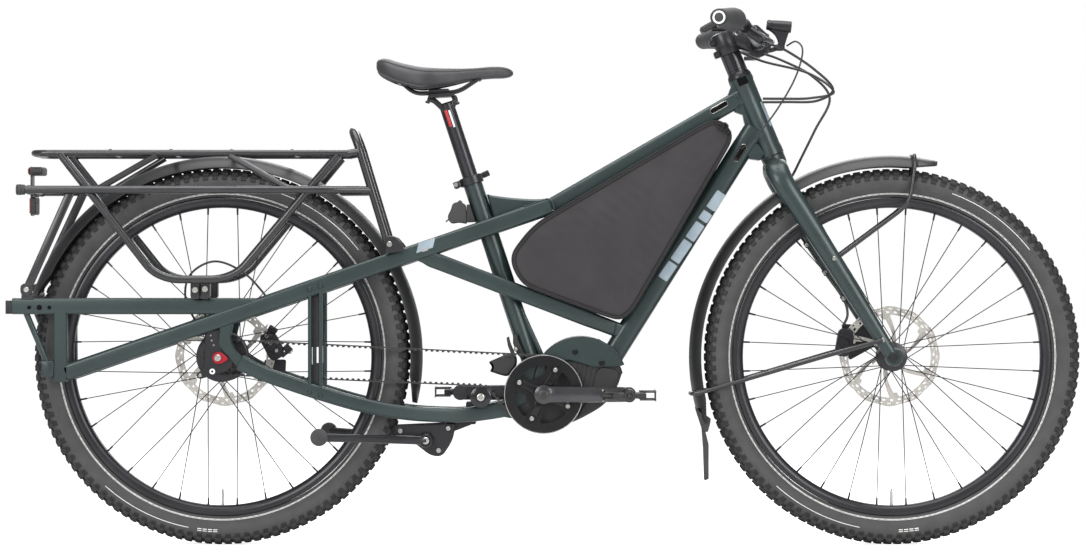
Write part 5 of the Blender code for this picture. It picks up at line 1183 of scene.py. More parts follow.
# Two dark bands on the head tube's sides, just below its top, are painted shade.
piece("head_tube_painted_shade_bands", RUBBER_AND_HOLE_SHADE, "frame", [
    head_patch(2, 24, 0.0004, 0.016), head_patch(178, 24, 0.0004, 0.016)
])


def bead(points, y, radius=0.0017):
    """A weld bead on both sides: a thin tube along a joint whose radius swells every 3 mm."""
    line = smooth(points, 24)
    run = run_along(line)
    return both([tube(xz(line, y), radius, Y, 8, 1 + 0.22 * np.sin(run * 2 * np.pi / 0.003))])


fillets = []
for corners, half_width in (
    ([
        (0.4086, 0.7696), (0.4293, 0.7668), (0.4381, 0.7807), (0.4255, 0.7993), (0.412, 0.799), (0.404, 0.78)
    ], 0.0214),
    ([(0.378, 0.864), (0.396, 0.8575), (0.404, 0.864), (0.399, 0.879), (0.38, 0.879)], 0.0168),
    ([(0.395, 0.859), (0.399, 0.839), (0.418, 0.83), (0.415, 0.85), (0.405, 0.87)], 0.0168),
    ([(0.3651, 0.8985), (0.3852, 0.8955), (0.38, 0.918), (0.3703, 0.9126)], 0.016),
):
    fillets.append(slab(outline_of(corners, 0.0016, 3), -half_width, half_width, 0.0008))
piece("frame_head_fillets", GREEN, "frame", fillets)

beads = bead([(-0.1219, 0.6906), (-0.1181, 0.679), (-0.1149, 0.6626), (-0.1079, 0.6533)], 0.015)
beads += bead([(0.0035, 0.6895), (0.012, 0.686), (0.0165, 0.677), (0.018, 0.664)], 0.0425)
beads += bead([(-0.0427, 0.674), (-0.02, 0.6815), (0.0035, 0.6895)], 0.041)
beads += bead([(0.137, 0.42), (0.1405, 0.432), (0.142, 0.444)], 0.025)
beads += bead([(0.106, 0.409), (0.1294, 0.3949), (0.145, 0.38), (0.152, 0.364)], 0.044)
beads += bead([(0.372, 0.895), (0.385, 0.893), (0.3885, 0.88), (0.385, 0.873)], 0.019)
piece("frame_weld_beads", GREEN, "frame", beads)


def rail_patch(corners, lift=0.0123, thick=0.0004):
    """A four-cornered print that follows the splayed side of both rails."""
    s, t = np.meshgrid(np.linspace(0, 1, 13), np.linspace(0, 1, 3), indexing="ij")
    shares = ((1 - s) * (1 - t), s * (1 - t), s * t, (1 - s) * t)
    x, z = (sum(share * corner[k] for share, corner in zip(shares, corners)) for k in range(2))
    outer = np.stack([x, np.interp(-x, -rail_path[:, 0], rail_path[:, 1]) + lift, z], -1)
    ring = np.concatenate([outer, outer[:, ::-1] - (0, thick, 0)], 1)
    return both([solid(ring, capped(13, 6))])


transfer = rail_patch([(-0.256, 0.5795), (-0.2235, 0.5894), (-0.2183, 0.6124), (-0.2508, 0.6013)])
inlay = rail_patch([(-0.244, 0.583), (-0.233, 0.5868), (-0.2305, 0.594), (-0.2415, 0.5902)], 0.0126, 0.0002)
piece("rail_transfer", PALE_PRINT, "frame", transfer)
piece("rail_transfer_inlay", GREY_PRINT, "frame", inlay)

DROPOUT = np.array([-0.6477, 0.3739])
slider = DROPOUT + smooth([
    (-0.0115, 0), (-0.009, 0.0075), (-0.002, 0.0115), (0.007, 0.0098), (0.019, 0.001), (0.0205, -0.003),
    (0.015, -0.007), (0.005, -0.0115), (-0.005, -0.0105), (-0.0115, 0),
], 5)[:-1]
holder = outline_of([
    (-0.672, 0.426), (-0.642, 0.43), (-0.644, 0.408), (-0.637, 0.386), (-0.623, 0.372), (-0.616, 0.362),
    (-0.633, 0.347), (-0.664, 0.337), (-0.685, 0.331), (-0.692, 0.34), (-0.678, 0.352), (-0.674, 0.372),
    (-0.674, 0.4),
], 0.006)
ring = [(0.0024, 0), (0.0056, 0), (0.0056, 0.0016), (0.0024, 0.0016)]
screws = [bolt((DROPOUT[0], 0.0896, DROPOUT[1]), Y, 0.007, 0.0035), bolt((-0.683, 0.0826, 0.339), Y, 0.0036)]
for x, z in ((-0.662, 0.418), (-0.66, 0.408), (-0.656, 0.399)):
    screws.append(bolt((x, 0.0826, z), Y, 0.0018, 0.0012))
piece("axle_sliders", RED_ANODISED, "frame", both([slab(slider, 0.0826, 0.0896, 0.0012)]))
piece("axle_holders", ANODISED, "frame", both([slab(holder, 0.0742, 0.0826, 0.001)]))
piece(
    "axle_holder_rings", WHITE_PRINT, "frame", both([lathe(ring, np.array([-0.6588, 0.0824, 0.3468]), Y, 32)])
)
piece("axle_holder_screws", STEEL, "frame", both(screws))
piece("rear_axle", DARK_STEEL, "frame", [rod((-0.6445, -0.0742, 0.375), (-0.6445, -0.0402, 0.375), 0.0074)])

# %% [markdown]
# ## Motor and its cradle
#
# The motor hangs in an aluminium cradle at the bottom of the frame. The cradle's cheeks are milled flat
# and screwed through, and the motor's cast and ribbed cover shows in front of them and below.

# %% Cradle and motor
cradle_arc = circle(CRADLE, 0.095, 49, np.radians(24), np.radians(202))
cheek = np.concatenate(
    [cradle_arc, [(0.002, 0.29), (0.002, 0.368), (0.05, 0.3676), (0.096, 0.3545), (0.149, 0.3562)]]
)
cradle_parts = both([slab(cheek, 0.0384, 0.0455, 0.0022)])
over = circle(CRADLE, 0.0946, 40, np.radians(26), np.radians(200))
under = circle(CRADLE, 0.0872, 40, np.radians(200), np.radians(26))
cradle_parts.append(slab(np.concatenate([over, under]), -0.04, 0.04, 0.001))
wrap_out = circle(CRANK_PLAN, 0.077, 24, np.radians(82), np.radians(205))
wrap_in, wrap_wall = (circle(CRANK_PLAN, r, 24, np.radians(205), np.radians(82)) for r in (0.033, 0.068))
cradle_parts += both([slab(np.concatenate([wrap_out, wrap_in]), 0.0389, 0.0418, 0.001)])
cradle_parts.append(slab(np.concatenate([wrap_out, wrap_wall]), -0.04, 0.04, 0.001))
cradle_parts.append(slab(outline_of(
    [(-0.06, 0.33), (-0.084, 0.3), (-0.084, 0.256), (-0.066, 0.252), (-0.05, 0.262)], 0.004
), -0.0416, 0.0416, 0.0015))
piece("motor_cradle_arch", GREEN, "frame", cradle_parts, ["motor_cradle"])
cradle_bolts = [
    bolt((x, 0.0454, z), Y, 0.0058, 0.0034) for x, z in ((0.06, 0.385), (0.113, 0.363), (0.018, 0.356))
]
piece("motor_cradle_screws", POLISHED_BLACK, "frame", both(cradle_bolts))

low_edge = smooth([
    (-0.064, 0.275), (-0.045, 0.252), (-0.01, 0.2345), (0.041, 0.24), (0.093, 0.264), (0.123, 0.286),
    (0.143, 0.315), (0.153, 0.342),
], 6)
top_arc = circle(CRADLE, 0.0864, 24, np.radians(14), np.radians(158))
motor_outline = np.concatenate([low_edge, top_arc])
motor_parts = [
    slab(motor_outline, -0.0376, 0.0376, 0.004),
    turned([
        (0, -0.0384), (0.056, -0.0384), (0.063, -0.0372), (0.066, -0.033), (0.066, 0.033), (0.063, 0.0372),
        (0.056, 0.0384), (0, 0.0384),
    ], CRANK, Y, 72),
]
ribs = []
for k in range(7):
    x, z = 0.056 + 0.0095 * k, 0.314 - 0.001 * k
    rib = outline_of([(x, z), (x + 0.0032, z), (x + 0.011, 0.358), (x + 0.0078, 0.358)], 0.001, 2)
    ribs.append(slab(rib, 0.0372, 0.0392, 0.0006))
cover = np.concatenate([smooth(
    [(0.064, 0.254), (0.093, 0.267), (0.119, 0.287), (0.139, 0.316), (0.148, 0.344)], 5
), smooth([(0.138, 0.352), (0.112, 0.354), (0.1, 0.34), (0.09, 0.3), (0.072, 0.27)], 5)])
motor_parts += both([slab(cover, 0.0368, 0.04, 0.0018), *ribs])
piece("motor_housing", PLASTIC, "frame", motor_parts, ["motor"])

# %% [markdown]
# ## Belt drive
#
# A toothed belt replaces the chain. Its teeth sit on the inside of the loop at a pitch of 11 mm, and
# they are drawn at that pitch along the loop's real length: round the sprocket, along the upper run,
# round the front ring, and back under the idler, whose arm presses the loop from outside. The
# loop's line is built from circles and their shared tangents, as a belt drawing is.

# %% Belt line
PITCH = 0.011
RING_RADIUS, SPROCKET_RADIUS = 44 * PITCH / (2 * np.pi), 20 * PITCH / (2 * np.pi)
IDLER, IDLER_RADIUS = (-0.128, 0.295), 0.021
BELT_Y = -0.052


def tangent(a, ra, b, rb):
    """The ends of the straight run from circle a to circle b, both on the right of a positive radius."""
    a, b = np.array(a), np.array(b)
    gap = np.linalg.norm(b - a)
    turn = np.arctan2(*(b - a)[::-1]) + np.arccos((ra - rb) / gap)
    way = np.array([np.cos(turn), np.sin(turn)])
    return a + way * ra, b + way * rb


def belt_line(offset=0.0, step=0.001):
    """Points a millimetre apart along the belt at that distance outside its pitch line, clockwise."""
    wheels = [(AXLES["rear"], SPROCKET_RADIUS + offset), (CRANK_PLAN, RING_RADIUS + offset), (
        IDLER, -(IDLER_RADIUS + 0.0022 - offset)
    )]
    line = []
    for k, (centre, radius) in enumerate(wheels):
        arrive = tangent(*wheels[k - 1], centre, radius)[1]
        leave, reach = tangent(centre, radius, *wheels[(k + 1) % 3])
        start, end = (np.arctan2(p[1] - centre[1], p[0] - centre[0]) for p in (arrive, leave))
        if radius > 0 and end > start:
            end -= 2 * np.pi
        if radius < 0 and end < start:
            end += 2 * np.pi
        line.append(circle(centre, abs(radius), max(4, int(abs((end - start) * radius) / step)), start, end))
        count = max(2, int(np.linalg.norm(reach - leave) / step))
        line.append(leave + (reach - leave) * np.linspace(0, 1, count)[1:-1, None])
    return np.concatenate(line)


def along_loop(line):
    """How far along the closed line each point lies, and the whole length."""
    run = run_along(np.concatenate([line, line[:1]]))
    return run[:-1], run[-1]


pitch_line = belt_line()
distance, belt_length = along_loop(pitch_line)
teeth = int(round(belt_length / PITCH))
print("belt length", round(belt_length, 3), "m,", teeth, "teeth")
way = unit(np.roll(pitch_line, -1, 0) - np.roll(pitch_line, 1, 0))
inward = np.stack([way[:, 1], -way[:, 0]], -1)
phase = (distance / belt_length * teeth) % 1
tooth = np.clip(1.9 * np.cos(2 * np.pi * phase) + 0.2, 0, 1)
back = pitch_line - inward * 0.0015
front = pitch_line + inward * (0.0009 + 0.003 * tooth)[:, None]
half = 0.0053
loop = np.stack(
    [xz(back, BELT_Y - half), xz(back, BELT_Y + half), xz(front, BELT_Y + half), xz(front, BELT_Y - half)], 1
)
belt_part = solid(loop, [grid_faces(len(pitch_line), 4, wrap_rows=True)])
piece("drive_belt", BELT_URETHANE, "frame", [belt_part], ["belt"], 50)

# %% [markdown]
# The front ring is a black guard disc with four kidney windows, screwed to the toothed ring behind it.
# A thin steel-bright ring round the guard's rim is a painted highlight. The windows are cut in a polar
# grid, like those of the brake discs. The rear sprocket is steel, because its few teeth carry the most
# load.

# %% Ring, sprocket and idler
def toothed(centre, radius, count, low, high, hole):
    """A pulley whose rim has rounded notches for the belt's teeth."""
    steps = 16 * count
    turn = np.arange(steps) * 2 * np.pi / steps
    notch = np.clip(1.9 * np.cos(count * turn) + 0.2, 0, 1)
    return slab(circle(
        centre, radius - 0.0016 - 0.0029 * notch, steps
    ), low, high, 0.0003, circle(centre, hole, steps))


ring_parts = [toothed(CRANK_PLAN, RING_RADIUS, 44, -0.0584, -0.0465, 0.0625)]
count = 240
radii = np.array([
    0.0125, 0.018, 0.025, 0.033, 0.035, 0.0365, 0.04, 0.046, 0.052, 0.0555, 0.057, 0.0578, 0.06, 0.068, 0.074,
    0.0772,
])
turn = np.arange(count) * 2 * np.pi / count
r, a = np.meshgrid(radii, turn, indexing="ij")
corners = np.stack([CRANK[0] + r * np.cos(a), CRANK[2] + r * np.sin(a)], -1)
row = (radii[:-1] + radii[1:])[:, None] / 2
column_turn = np.degrees(turn + np.pi / count)[None]
from_window = abs((column_turn - 22 + 45) % 90 - 45)
window_half = np.interp(row, [0.035, 0.0365, 0.04, 0.0555, 0.0578], [17, 21, 25, 30, 24])
mask = ~((row > 0.035) & (row < 0.0578) & (from_window < window_half))
# The guard's rim is a steel-bright ring: a painted highlight along the black guard's edge.
guard_highlight_edge = [(
    0.0768, -0.0618
), (0.0782, -0.0618), (0.0785, -0.0612), (0.0785, -0.0598), (0.0782, -0.0592), (0.0768, -0.0592)]
ring_parts.append(stencil(corners, mask, -0.0616, -0.0592))
end_cap = [(0, -0.0025), (0.0078, -0.0025), (0.0085, -0.0015), (0.0085, 0.003), (0, 0.003)]
arms, ring_screws = [], []
for k in range(4):
    turn_k = np.radians(64 + 90 * k)
    out = np.array([np.cos(turn_k), 0, np.sin(turn_k)])
    foot = CRANK + Y * -0.063
    path = np.stack([foot + out * 0.012, foot + out * 0.03, foot + out * 0.0535 + Y * 0.001])
    grows = np.array([[1.2, 1.3], [1.0, 0.85], [0.8, 0.9]])
    arms.append(sweep(path, rounded_box(0.005, 0.017, 0.0022), Y, grows, edge=0.001))
    arms.append(turned(end_cap, foot + out * 0.0535, Y, 28))
    ring_screws.append(bolt(CRANK + out * 0.0535 - Y * 0.0654, -Y, 0.0046, 0.0022))
piece("belt_ring_guard", POLISHED_BLACK, "crank", ring_parts + arms, ["belt_ring"])
piece("belt_ring_painted_highlight_edge", STEEL, "crank", [lathe(guard_highlight_edge, CRANK, Y, 128)])
piece("belt_ring_screws", STEEL, "crank", ring_screws)

sprocket = [toothed(AXLES["rear"], SPROCKET_RADIUS, 20, -0.058, -0.0462, 0.0081), slab(circle(
    AXLES["rear"], SPROCKET_RADIUS + 0.003, 96
), -0.0463, -0.0446, 0.0004, circle(AXLES["rear"], 0.0081, 96))]
piece("rear_sprocket_teeth", DARK_STEEL, "sprocket", sprocket, ["rear_sprocket"])

idler_groove = [(0.0085, -0.0066), (0.011, -0.0066), (0.011, -0.0058), (0.0085, -0.0058)]
idler_centre = np.array([IDLER[0], BELT_Y, IDLER[1]])
piece("idler_roller", GLOSS_PLASTIC, "idler", [
    lathe(hoop(0.0061, 0.021, 0.006, 0.0015), idler_centre, Y, 64), lathe(idler_groove, idler_centre, Y, 48)
], ["idler"])
idler_arm = outline_of([
    (-0.156, 0.316), (-0.074, 0.317), (-0.074, 0.295), (-0.112, 0.293), (-0.12, 0.278), (-0.136, 0.278),
    (-0.145, 0.293), (-0.156, 0.296),
], 0.006)
piece("idler_arm", ANODISED, "frame", [slab(idler_arm, -0.0422, -0.035, 0.0015), rod(
    (IDLER[0], -0.0415, IDLER[1]), (IDLER[0], -0.0585, IDLER[1]), 0.0054
)])
piece("idler_screw", STEEL, "frame", [bolt((IDLER[0], -0.0588, IDLER[1]), -Y, 0.0078, 0.003)])
flap = outline_of([
    (-0.1128, 0.365), (-0.0732, 0.3822), (-0.0568, 0.3775), (-0.055, 0.36), (-0.0732, 0.335),
    (-0.0896, 0.339), (-0.1106, 0.346), (-0.105, 0.3545),
], [0.004, 0.006, 0.005, 0.012, 0.012, 0.006, 0.004, 0.004], 5)
blade = outline_of([
    (-0.077, 0.4125), (-0.072, 0.416), (-0.069, 0.404), (-0.059, 0.379), (-0.066, 0.376), (-0.074, 0.396)
], 0.0015, 3)
bracket = outline_of([
    (-0.064, 0.419), (-0.056, 0.419), (-0.053, 0.406), (-0.038, 0.376), (-0.046, 0.37), (-0.056, 0.38),
    (-0.064, 0.402),
], 0.002, 3)
guide_parts = [
    slab(flap, -0.0428, -0.0302, 0.0045), slab(blade, -0.04, -0.033, 0.0015),
    slab(bracket, -0.03, -0.02, 0.0015), rod((-0.058, -0.021, 0.39), (-0.058, -0.042, 0.39), 0.0048),
]
piece("belt_guide_flap", PLASTIC, "frame", guide_parts, ["belt_guide"])
piece("belt_guide_screw", STEEL, "frame", [bolt((-0.058, -0.042, 0.39), -Y, 0.004, 0.0024)])

# %% [markdown]
# ## Cranks and pedals
#
# A crank arm is forged: its section tapers from the boss to the pedal's eye, with a flat facet between
# softened edges. Each pedal has a plastic body round its axle and a bent metal cage at both ends with
# small grip pins. Everything turns with its own body, so the right arm and the left arm stay opposite.

# %% Cranks
for name, side, ahead in (("right", -1, 1), ("left", 1, -1)):
    eye = CRANK + X * (ahead * 0.168)
    inner, outer = side * 0.0702, side * 0.085
    middle = (inner + outer) / 2
    stations = ((0.0, 0.0), (0.03, 0.0), (0.09, 0.0004), (0.15, 0.0), (0.168, 0.0))
    path = np.stack([CRANK + X * ahead * d + Y * (middle + side * s) for d, s in stations])
    size = np.array([[0.95, 1.12], [1.0, 1.1], [0.9, 1.04], [0.88, 1.0], [0.86, 0.98]])
    arm = [
        sweep(path, rounded_box(0.014, 0.03, 0.0046, 2), Y, size, edge=0.002),
        turned([
            (0, -0.0074), (0.016, -0.0074), (0.0186, -0.006), (0.019, -0.003), (0.019, 0.006),
            (0.0176, 0.0074), (0, 0.0074),
        ], CRANK + Y * middle, side * -Y, 56),
        turned([
            (0, -0.0072), (0.0138, -0.0072), (0.0152, -0.006), (0.0154, 0.006), (0.0142, 0.0072), (0, 0.0072)
        ], eye + Y * middle, side * -Y, 48),
    ]
    bolts = [bolt(CRANK + Y * (outer - side * 0.0008), side * Y, 0.0092, 0.0026)]
    if side > 0:
        arm.append(rod(CRANK + Y * inner, CRANK - Y * 0.064, 0.0118, count=32))
    piece(f"crank_{name}_arm", FORGED_GREY, "crank", arm, [f"crank_{name}"])
    axle_parts = [rod(eye + Y * (outer - side * 0.002), eye + Y * (side * 0.184), 0.0064, 0.0046, 24), lathe(
        [(0.0064, 0), (0.0105, 0), (0.0105, 0.004), (0.0064, 0.004)], eye + Y * outer, side * Y, 6
    )]
    piece(f"crank_{name}_hardware", DARK_STEEL, "crank", bolts + axle_parts)

    low_y, high_y = sorted((side * 0.0906, side * 0.1838))
    body = f"pedal_{name}"
    pedal_centre = eye + Y * (low_y + high_y) / 2
    core = lathe([
        (0.0072, -0.042), (0.012, -0.044), (0.0128, -0.04), (0.0098, -0.03), (0.0094, 0.03), (0.012, 0.038),
        (0.012, 0.044), (0.0072, 0.046),
    ], pedal_centre, Y, 32)
    bars = []
    for x in (-0.026, 0.026):
        line = np.stack([pedal_centre + (x, y, 0) for y in (-0.044, 0.0, 0.044)])
        bars.append(sweep(line, rounded_box(0.012, 0.011, 0.003), X, edge=0.002))
    for y in (-0.0405, 0.0, 0.0405):
        bars.append(block(pedal_centre + (0, y, 0), (0.066, 0.0085, 0.0105), 0, 0.002, 0.001))
    bars.append(turned([(0, 0.0455), (0.006, 0.0455), (0.0066, 0.048), (0.01, 0.048), (
        0.0108, 0.0468
    ), (0.0108, 0.04), (0, 0.04)], pedal_centre, side * Y, 28))
    piece(f"pedal_{name}_body", PLASTIC, body, [core, *bars], [f"pedal_{name}"])
    cages, pins = [], []
    for way_x in (-1, 1):
        x = way_x * 0.0515
        corners = ((way_x * 0.02, -0.0452, 0), (x, -0.044, 0), (x, 0.044, 0), (way_x * 0.02, 0.0452, 0))
        path = bent([pedal_centre + corner for corner in corners], 0.01, 5)
        for up in (0.0075, -0.0075):
            cages.append(sweep(path + (0, 0, up), rounded_box(0.003, 0.0024, 0.0009, 2), Z, edge=0.0004))
        middle = len(path) // 2
        plate = path[middle - 1 : middle + 1] * (1, 0.93, 1) + pedal_centre * (0, 0.07, 0)
        cages.append(sweep(plate, rounded_box(0.016, 0.002, 0.0008, 2), Z, edge=0.0003))
        for y in (-0.034, -0.017, 0.0, 0.017, 0.034):
            for up in (1, -1):
                pins.append(rod(pedal_centre + (
                    x, y, up * 0.007
                ), pedal_centre + (x, y, up * 0.011), 0.0014, count=8, edge=0.0003))
    piece(f"pedal_{name}_cage", DARK_STEEL, body, cages)
    piece(f"pedal_{name}_pins", STEEL, body, pins)

# %% [markdown]
# ## The frame bag
#
# The bag fills the frame's triangle and covers the battery. It's sewn from two side panels and a
# gusset, with a bound seam where they meet. A side panel is drawn as rings: the first few follow the
# outline inward by a few millimetres, to give the seam's roll, and the rest close on the middle while
# the cloth swells over the padding. Low ripples that fade in from the seams stand for the pull of the
# stitching.

# %% Bag panels
BAG_CORNERS = [
    (-0.023, 0.641), (0.328, 0.848), (0.354, 0.85), (0.376, 0.822), (0.373, 0.804), (0.179, 0.47),
    (0.155, 0.4475), (0.126, 0.4555), (-0.044, 0.5185), (-0.066, 0.56), (-0.066, 0.584),
]
BAG_ROUNDING = [0.04, 0.02, 0.02, 0.015, 0.02, 0.03, 0.02, 0.03, 0.04, 0.02, 0.03]


def evenly(outline, count):
    """The closed outline in that many even steps, softened so that its normals turn smoothly."""
    closed = np.concatenate([outline, outline[:1]])
    run = run_along(closed)
    at_run = np.linspace(0, run[-1], count, endpoint=False)
    made = np.stack([np.interp(at_run, run, closed[:, k]) for k in range(2)], -1)
    for _ in range(6):
        made = (np.roll(made, 1, 0) + 2 * made + np.roll(made, -1, 0)) / 4
    return made


bag_edge = evenly(outline_of(BAG_CORNERS, BAG_ROUNDING, 8), 260) - (0.002, 0.0022)
bag_middle = np.array([0.175, 0.64])


def bag_rings():
    """Rings from the left panel's middle over the seam and gusset to the right panel's middle."""
    insets = [
        (0.0, 0.0455), (0.0006, 0.048), (0.0022, 0.0496), (0.0048, 0.0502), (0.0075, 0.0494), (0.0105, 0.05)
    ]
    half = [(grown(bag_edge, -inset), np.full(len(bag_edge), y)) for inset, y in insets]
    inner = half[-1][0]
    for t in np.linspace(0, 1, 26)[1:-1]:
        ring = inner + (bag_middle - inner) * t**0.9
        swell = 0.05 + 0.0042 * (1 - (1 - t) ** 2.2)
        ripple = 0.0011 * np.sin(
            9 * ring[:, 0] / 0.05 + 5 * ring[:, 1] / 0.05
        ) * np.sin(7 * ring[:, 1] / 0.06 + 1.3)
        pull = 0.0009 * np.sin(np.arange(len(ring)) * 2 * np.pi / len(ring) * 22) * np.exp(-6 * t)
        half.append((ring, swell + (ripple + pull) * np.sin(np.pi * min(1, 1.3 * t)) ** 0.5))
    return half


half = bag_rings()
rings = [xz(ring, y) for ring, y in half[::-1]] + [xz(bag_edge, y) for y in (0.03, 0.0, -0.03)]
rings += [xz(ring, -y) for ring, y in half]
swell = half[-1][1].mean()
shell = closed_on(np.stack(rings), xz([bag_middle, bag_middle], [swell, -swell]))
bag = piece("frame_bag_shell", BAG_CLOTH, "frame", [shell], ["frame_bag"], 60)

cords = [
    tube(xz(grown(bag_edge, -0.0022), 0.0494), 0.0021, Y, 10, closed=True),
    tube(xz(grown(bag_edge, -0.008), 0.0499), 0.0017, Y, 8, closed=True),
]
piece("frame_bag_binding", WEBBING, "frame", both(cords))
stitch = xz(evenly(grown(bag_edge, -0.0085), 520), 0.0502)
stitches = [tube(stitch[start : start + 3], 0.00045, Y, 4, edge=0) for start in range(0, len(stitch), 4)]
piece("frame_bag_stitches", WEBBING, "frame", both(stitches))

# %% [markdown]
# The bag's zip runs along the left panel under the top tube: two tapes, a row of teeth and a slider
# with a cord pull. The battery inside keeps its measured form and gets a moulded plastic finish.

# %% Zip and battery
zip_start, zip_end = np.array([0.06, 0.657]), np.array([0.29, 0.79])
zip_way = unit(zip_end - zip_start)
zip_up, zip_pitch = np.array([-zip_way[1], zip_way[0]]), np.arctan2(zip_way[1], zip_way[0])
tapes, teeth_parts = [], []
for side in (1, -1):
    centre_line = np.stack([zip_start, zip_end]) + zip_up * side * 0.0062
    tapes.append(sweep(xz(centre_line, 0.0535), rounded_box(0.0016, 0.0085, 0.0007, 2), Y, edge=0.0006))
for k in range(178):
    x, z = zip_start + zip_way * (0.002 + 0.0015 * k) + zip_up * (0.0009 if k % 2 else -0.0009)
    teeth_parts.append(block((x, 0.054, z), (0.0011, 0.0022, 0.003), zip_pitch, 0.0004, 0.0002))
piece("frame_bag_zip_tapes", WEBBING, "frame", tapes)
piece("frame_bag_zip_teeth", PLASTIC, "frame", teeth_parts)
x, z = zip_end - zip_way * 0.004
pull = [
    block((x, 0.056, z), (0.011, 0.004, 0.009), zip_pitch, 0.002),
    tube(smooth([(x, 0.0585, z), (x + 0.001, 0.06, z - 0.01), (x, 0.059, z - 0.026)], 5), 0.0013),
]
piece("frame_bag_zip_slider", DARK_STEEL, "frame", pull)
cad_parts["battery_pack"].material_slots[0].material = PLASTIC

# %% [markdown]
# ## Saddle, post and clamp
#
# The saddle is foam over a plastic shell, skinned with microfibre. Its surface is a section that
# changes from tail to nose: at each station it has its own half width, crown and lower edge, and a
# shallow channel along the middle takes the pressure off. Spline curves join the stations, so the waist
# is smooth.

# %% Saddle
STATIONS = np.array([
    (-0.336, 0.03, 0.964, 0.948), (-0.33, 0.052, 0.9685, 0.937), (-0.315, 0.07, 0.97, 0.928),
    (-0.29, 0.0765, 0.9625, 0.918), (-0.252, 0.069, 0.9545, 0.9085), (-0.22, 0.048, 0.952, 0.91),
    (-0.185, 0.032, 0.9515, 0.9165), (-0.145, 0.024, 0.9525, 0.926), (-0.11, 0.022, 0.9545, 0.93),
    (-0.085, 0.0195, 0.954, 0.931), (-0.071, 0.014, 0.95, 0.9335), (-0.064, 0.007, 0.9445, 0.938),
])


def saddle_surface(count=64):
    """Rings P(i, j): y = w sgn(cos) |cos|^0.75, z between the lower edge and the crown as sin swings."""
    stations = smooth(STATIONS, 5)
    turn = np.arange(count) * 2 * np.pi / count
    c, s = np.cos(turn), np.sin(turn)
    x, w, top, edge = (stations[:, k, None] for k in range(4))
    belt = edge + 0.42 * (top - edge)
    y = w * np.sign(c) * abs(c) ** 0.75
    rise = np.where(s > 0, (top - belt) * abs(s) ** 0.85, -(belt - edge) * abs(s) ** 0.45)
    behind = np.clip((x + 0.33) / 0.03, 0, 1)
    channel = 0.0045 * np.exp(-((y / 0.0085) ** 2)) * (s > 0) * behind * np.clip((-0.11 - x) / 0.04, 0, 1)
    hollow = 0.011 * (s < 0) * abs(s) ** 10 * behind * np.clip((-0.13 - x) / 0.05, 0, 1)
    points = np.stack([np.broadcast_to(x, y.shape), y, belt + rise - channel + hollow], -1)
    return closed_on(points, [points[0].mean(0), points[-1].mean(0)]), points


saddle_part, saddle_points = saddle_surface()
saddle = piece("saddle_cover", SADDLE_SKIN, "seatpost", [saddle_part], ["saddle"], 60)
seams = []
for share in (0.085, 0.415):
    column = int(share * 64)
    seams.append(tube(saddle_points[6:-3, column] + (0, 0, 0.0001), 0.0007, Y, 6))
piece("saddle_seams", WEBBING, "seatpost", seams)
stations = smooth(STATIONS, 5)[4:-4]
lip = np.stack([stations[:, 0], stations[:, 1] * 0.66, stations[:, 3] + 0.0026], -1)
lip_path = np.concatenate([lip, (lip * (1, -1, 1))[::-1]])
piece("saddle_shell_lip", PLASTIC, "seatpost", [
    sweep(lip_path, rounded_box(0.004, 0.0026, 0.001, 2), Z, closed=True)
])

rail_middle, rail_pitch = np.array([-0.218, 0.902]), 0.034
rail_way = np.array([np.cos(rail_pitch), np.sin(rail_pitch)])
(ax, az), (bx, bz) = rail_middle - rail_way * 0.044, rail_middle + rail_way * 0.044
wire = [
    (-0.292, 0.02415, 0.929), (-0.289, 0.023, 0.924), (ax, 0.023, az), (bx, 0.023, bz),
    (-0.136, 0.0161, 0.9285), (-0.13, 0.01495, 0.931),
]
wires = both([tube(bent(wire, 0.018, 7), 0.0035, Y, 16)])
piece("saddle_rail_wires", POLISHED_BLACK, "seatpost", wires, ["saddle_rails"])
sockets = [rod(
    (-0.29, -0.029, 0.9255), (-0.29, 0.029, 0.9255), 0.0062
), rod((-0.132, -0.019, 0.931), (-0.132, 0.019, 0.931), 0.0056)]
clamp_centre = np.array([rail_middle[0] + 0.006, 0, rail_middle[1]])
top_plate = both([block(clamp_centre + (0, 0.023, 0.004), (0.04, 0.013, 0.006), rail_pitch, 0.0028, 0.0012)])
top_plate.append(block(clamp_centre + (0, 0, 0.0046), (0.016, 0.044, 0.005), rail_pitch, 0.002, 0.001))
piece("saddle_rail_clamp", ANODISED, "seatpost", sockets + top_plate)

# %% [markdown]
# A loop of cord hangs at the bag's front corner. It is one smooth curve that crosses itself like a tied
# bow.

# %% Bag's pull
pull_loop = [
    (0.338, -0.0515, 0.844), (0.344, -0.0535, 0.831), (0.355, -0.054, 0.825), (0.363, -0.052, 0.833),
    (0.356, -0.056, 0.8395), (0.353, -0.0555, 0.829), (0.36, -0.053, 0.82), (0.368, -0.05, 0.823),
    (0.366, -0.049, 0.814),
]
piece("frame_bag_pull", WEBBING, "frame", [tube(smooth(pull_loop, 5), 0.0022, Y, 8)])

# %% [markdown]
# The seat post is a plain tube with a forged head, which holds the saddle's rails between two plates.
# Two printed bars show on its right side. The collar at its foot is split, and a lever on the left pulls
# it shut. The lever turns on a body of its own.

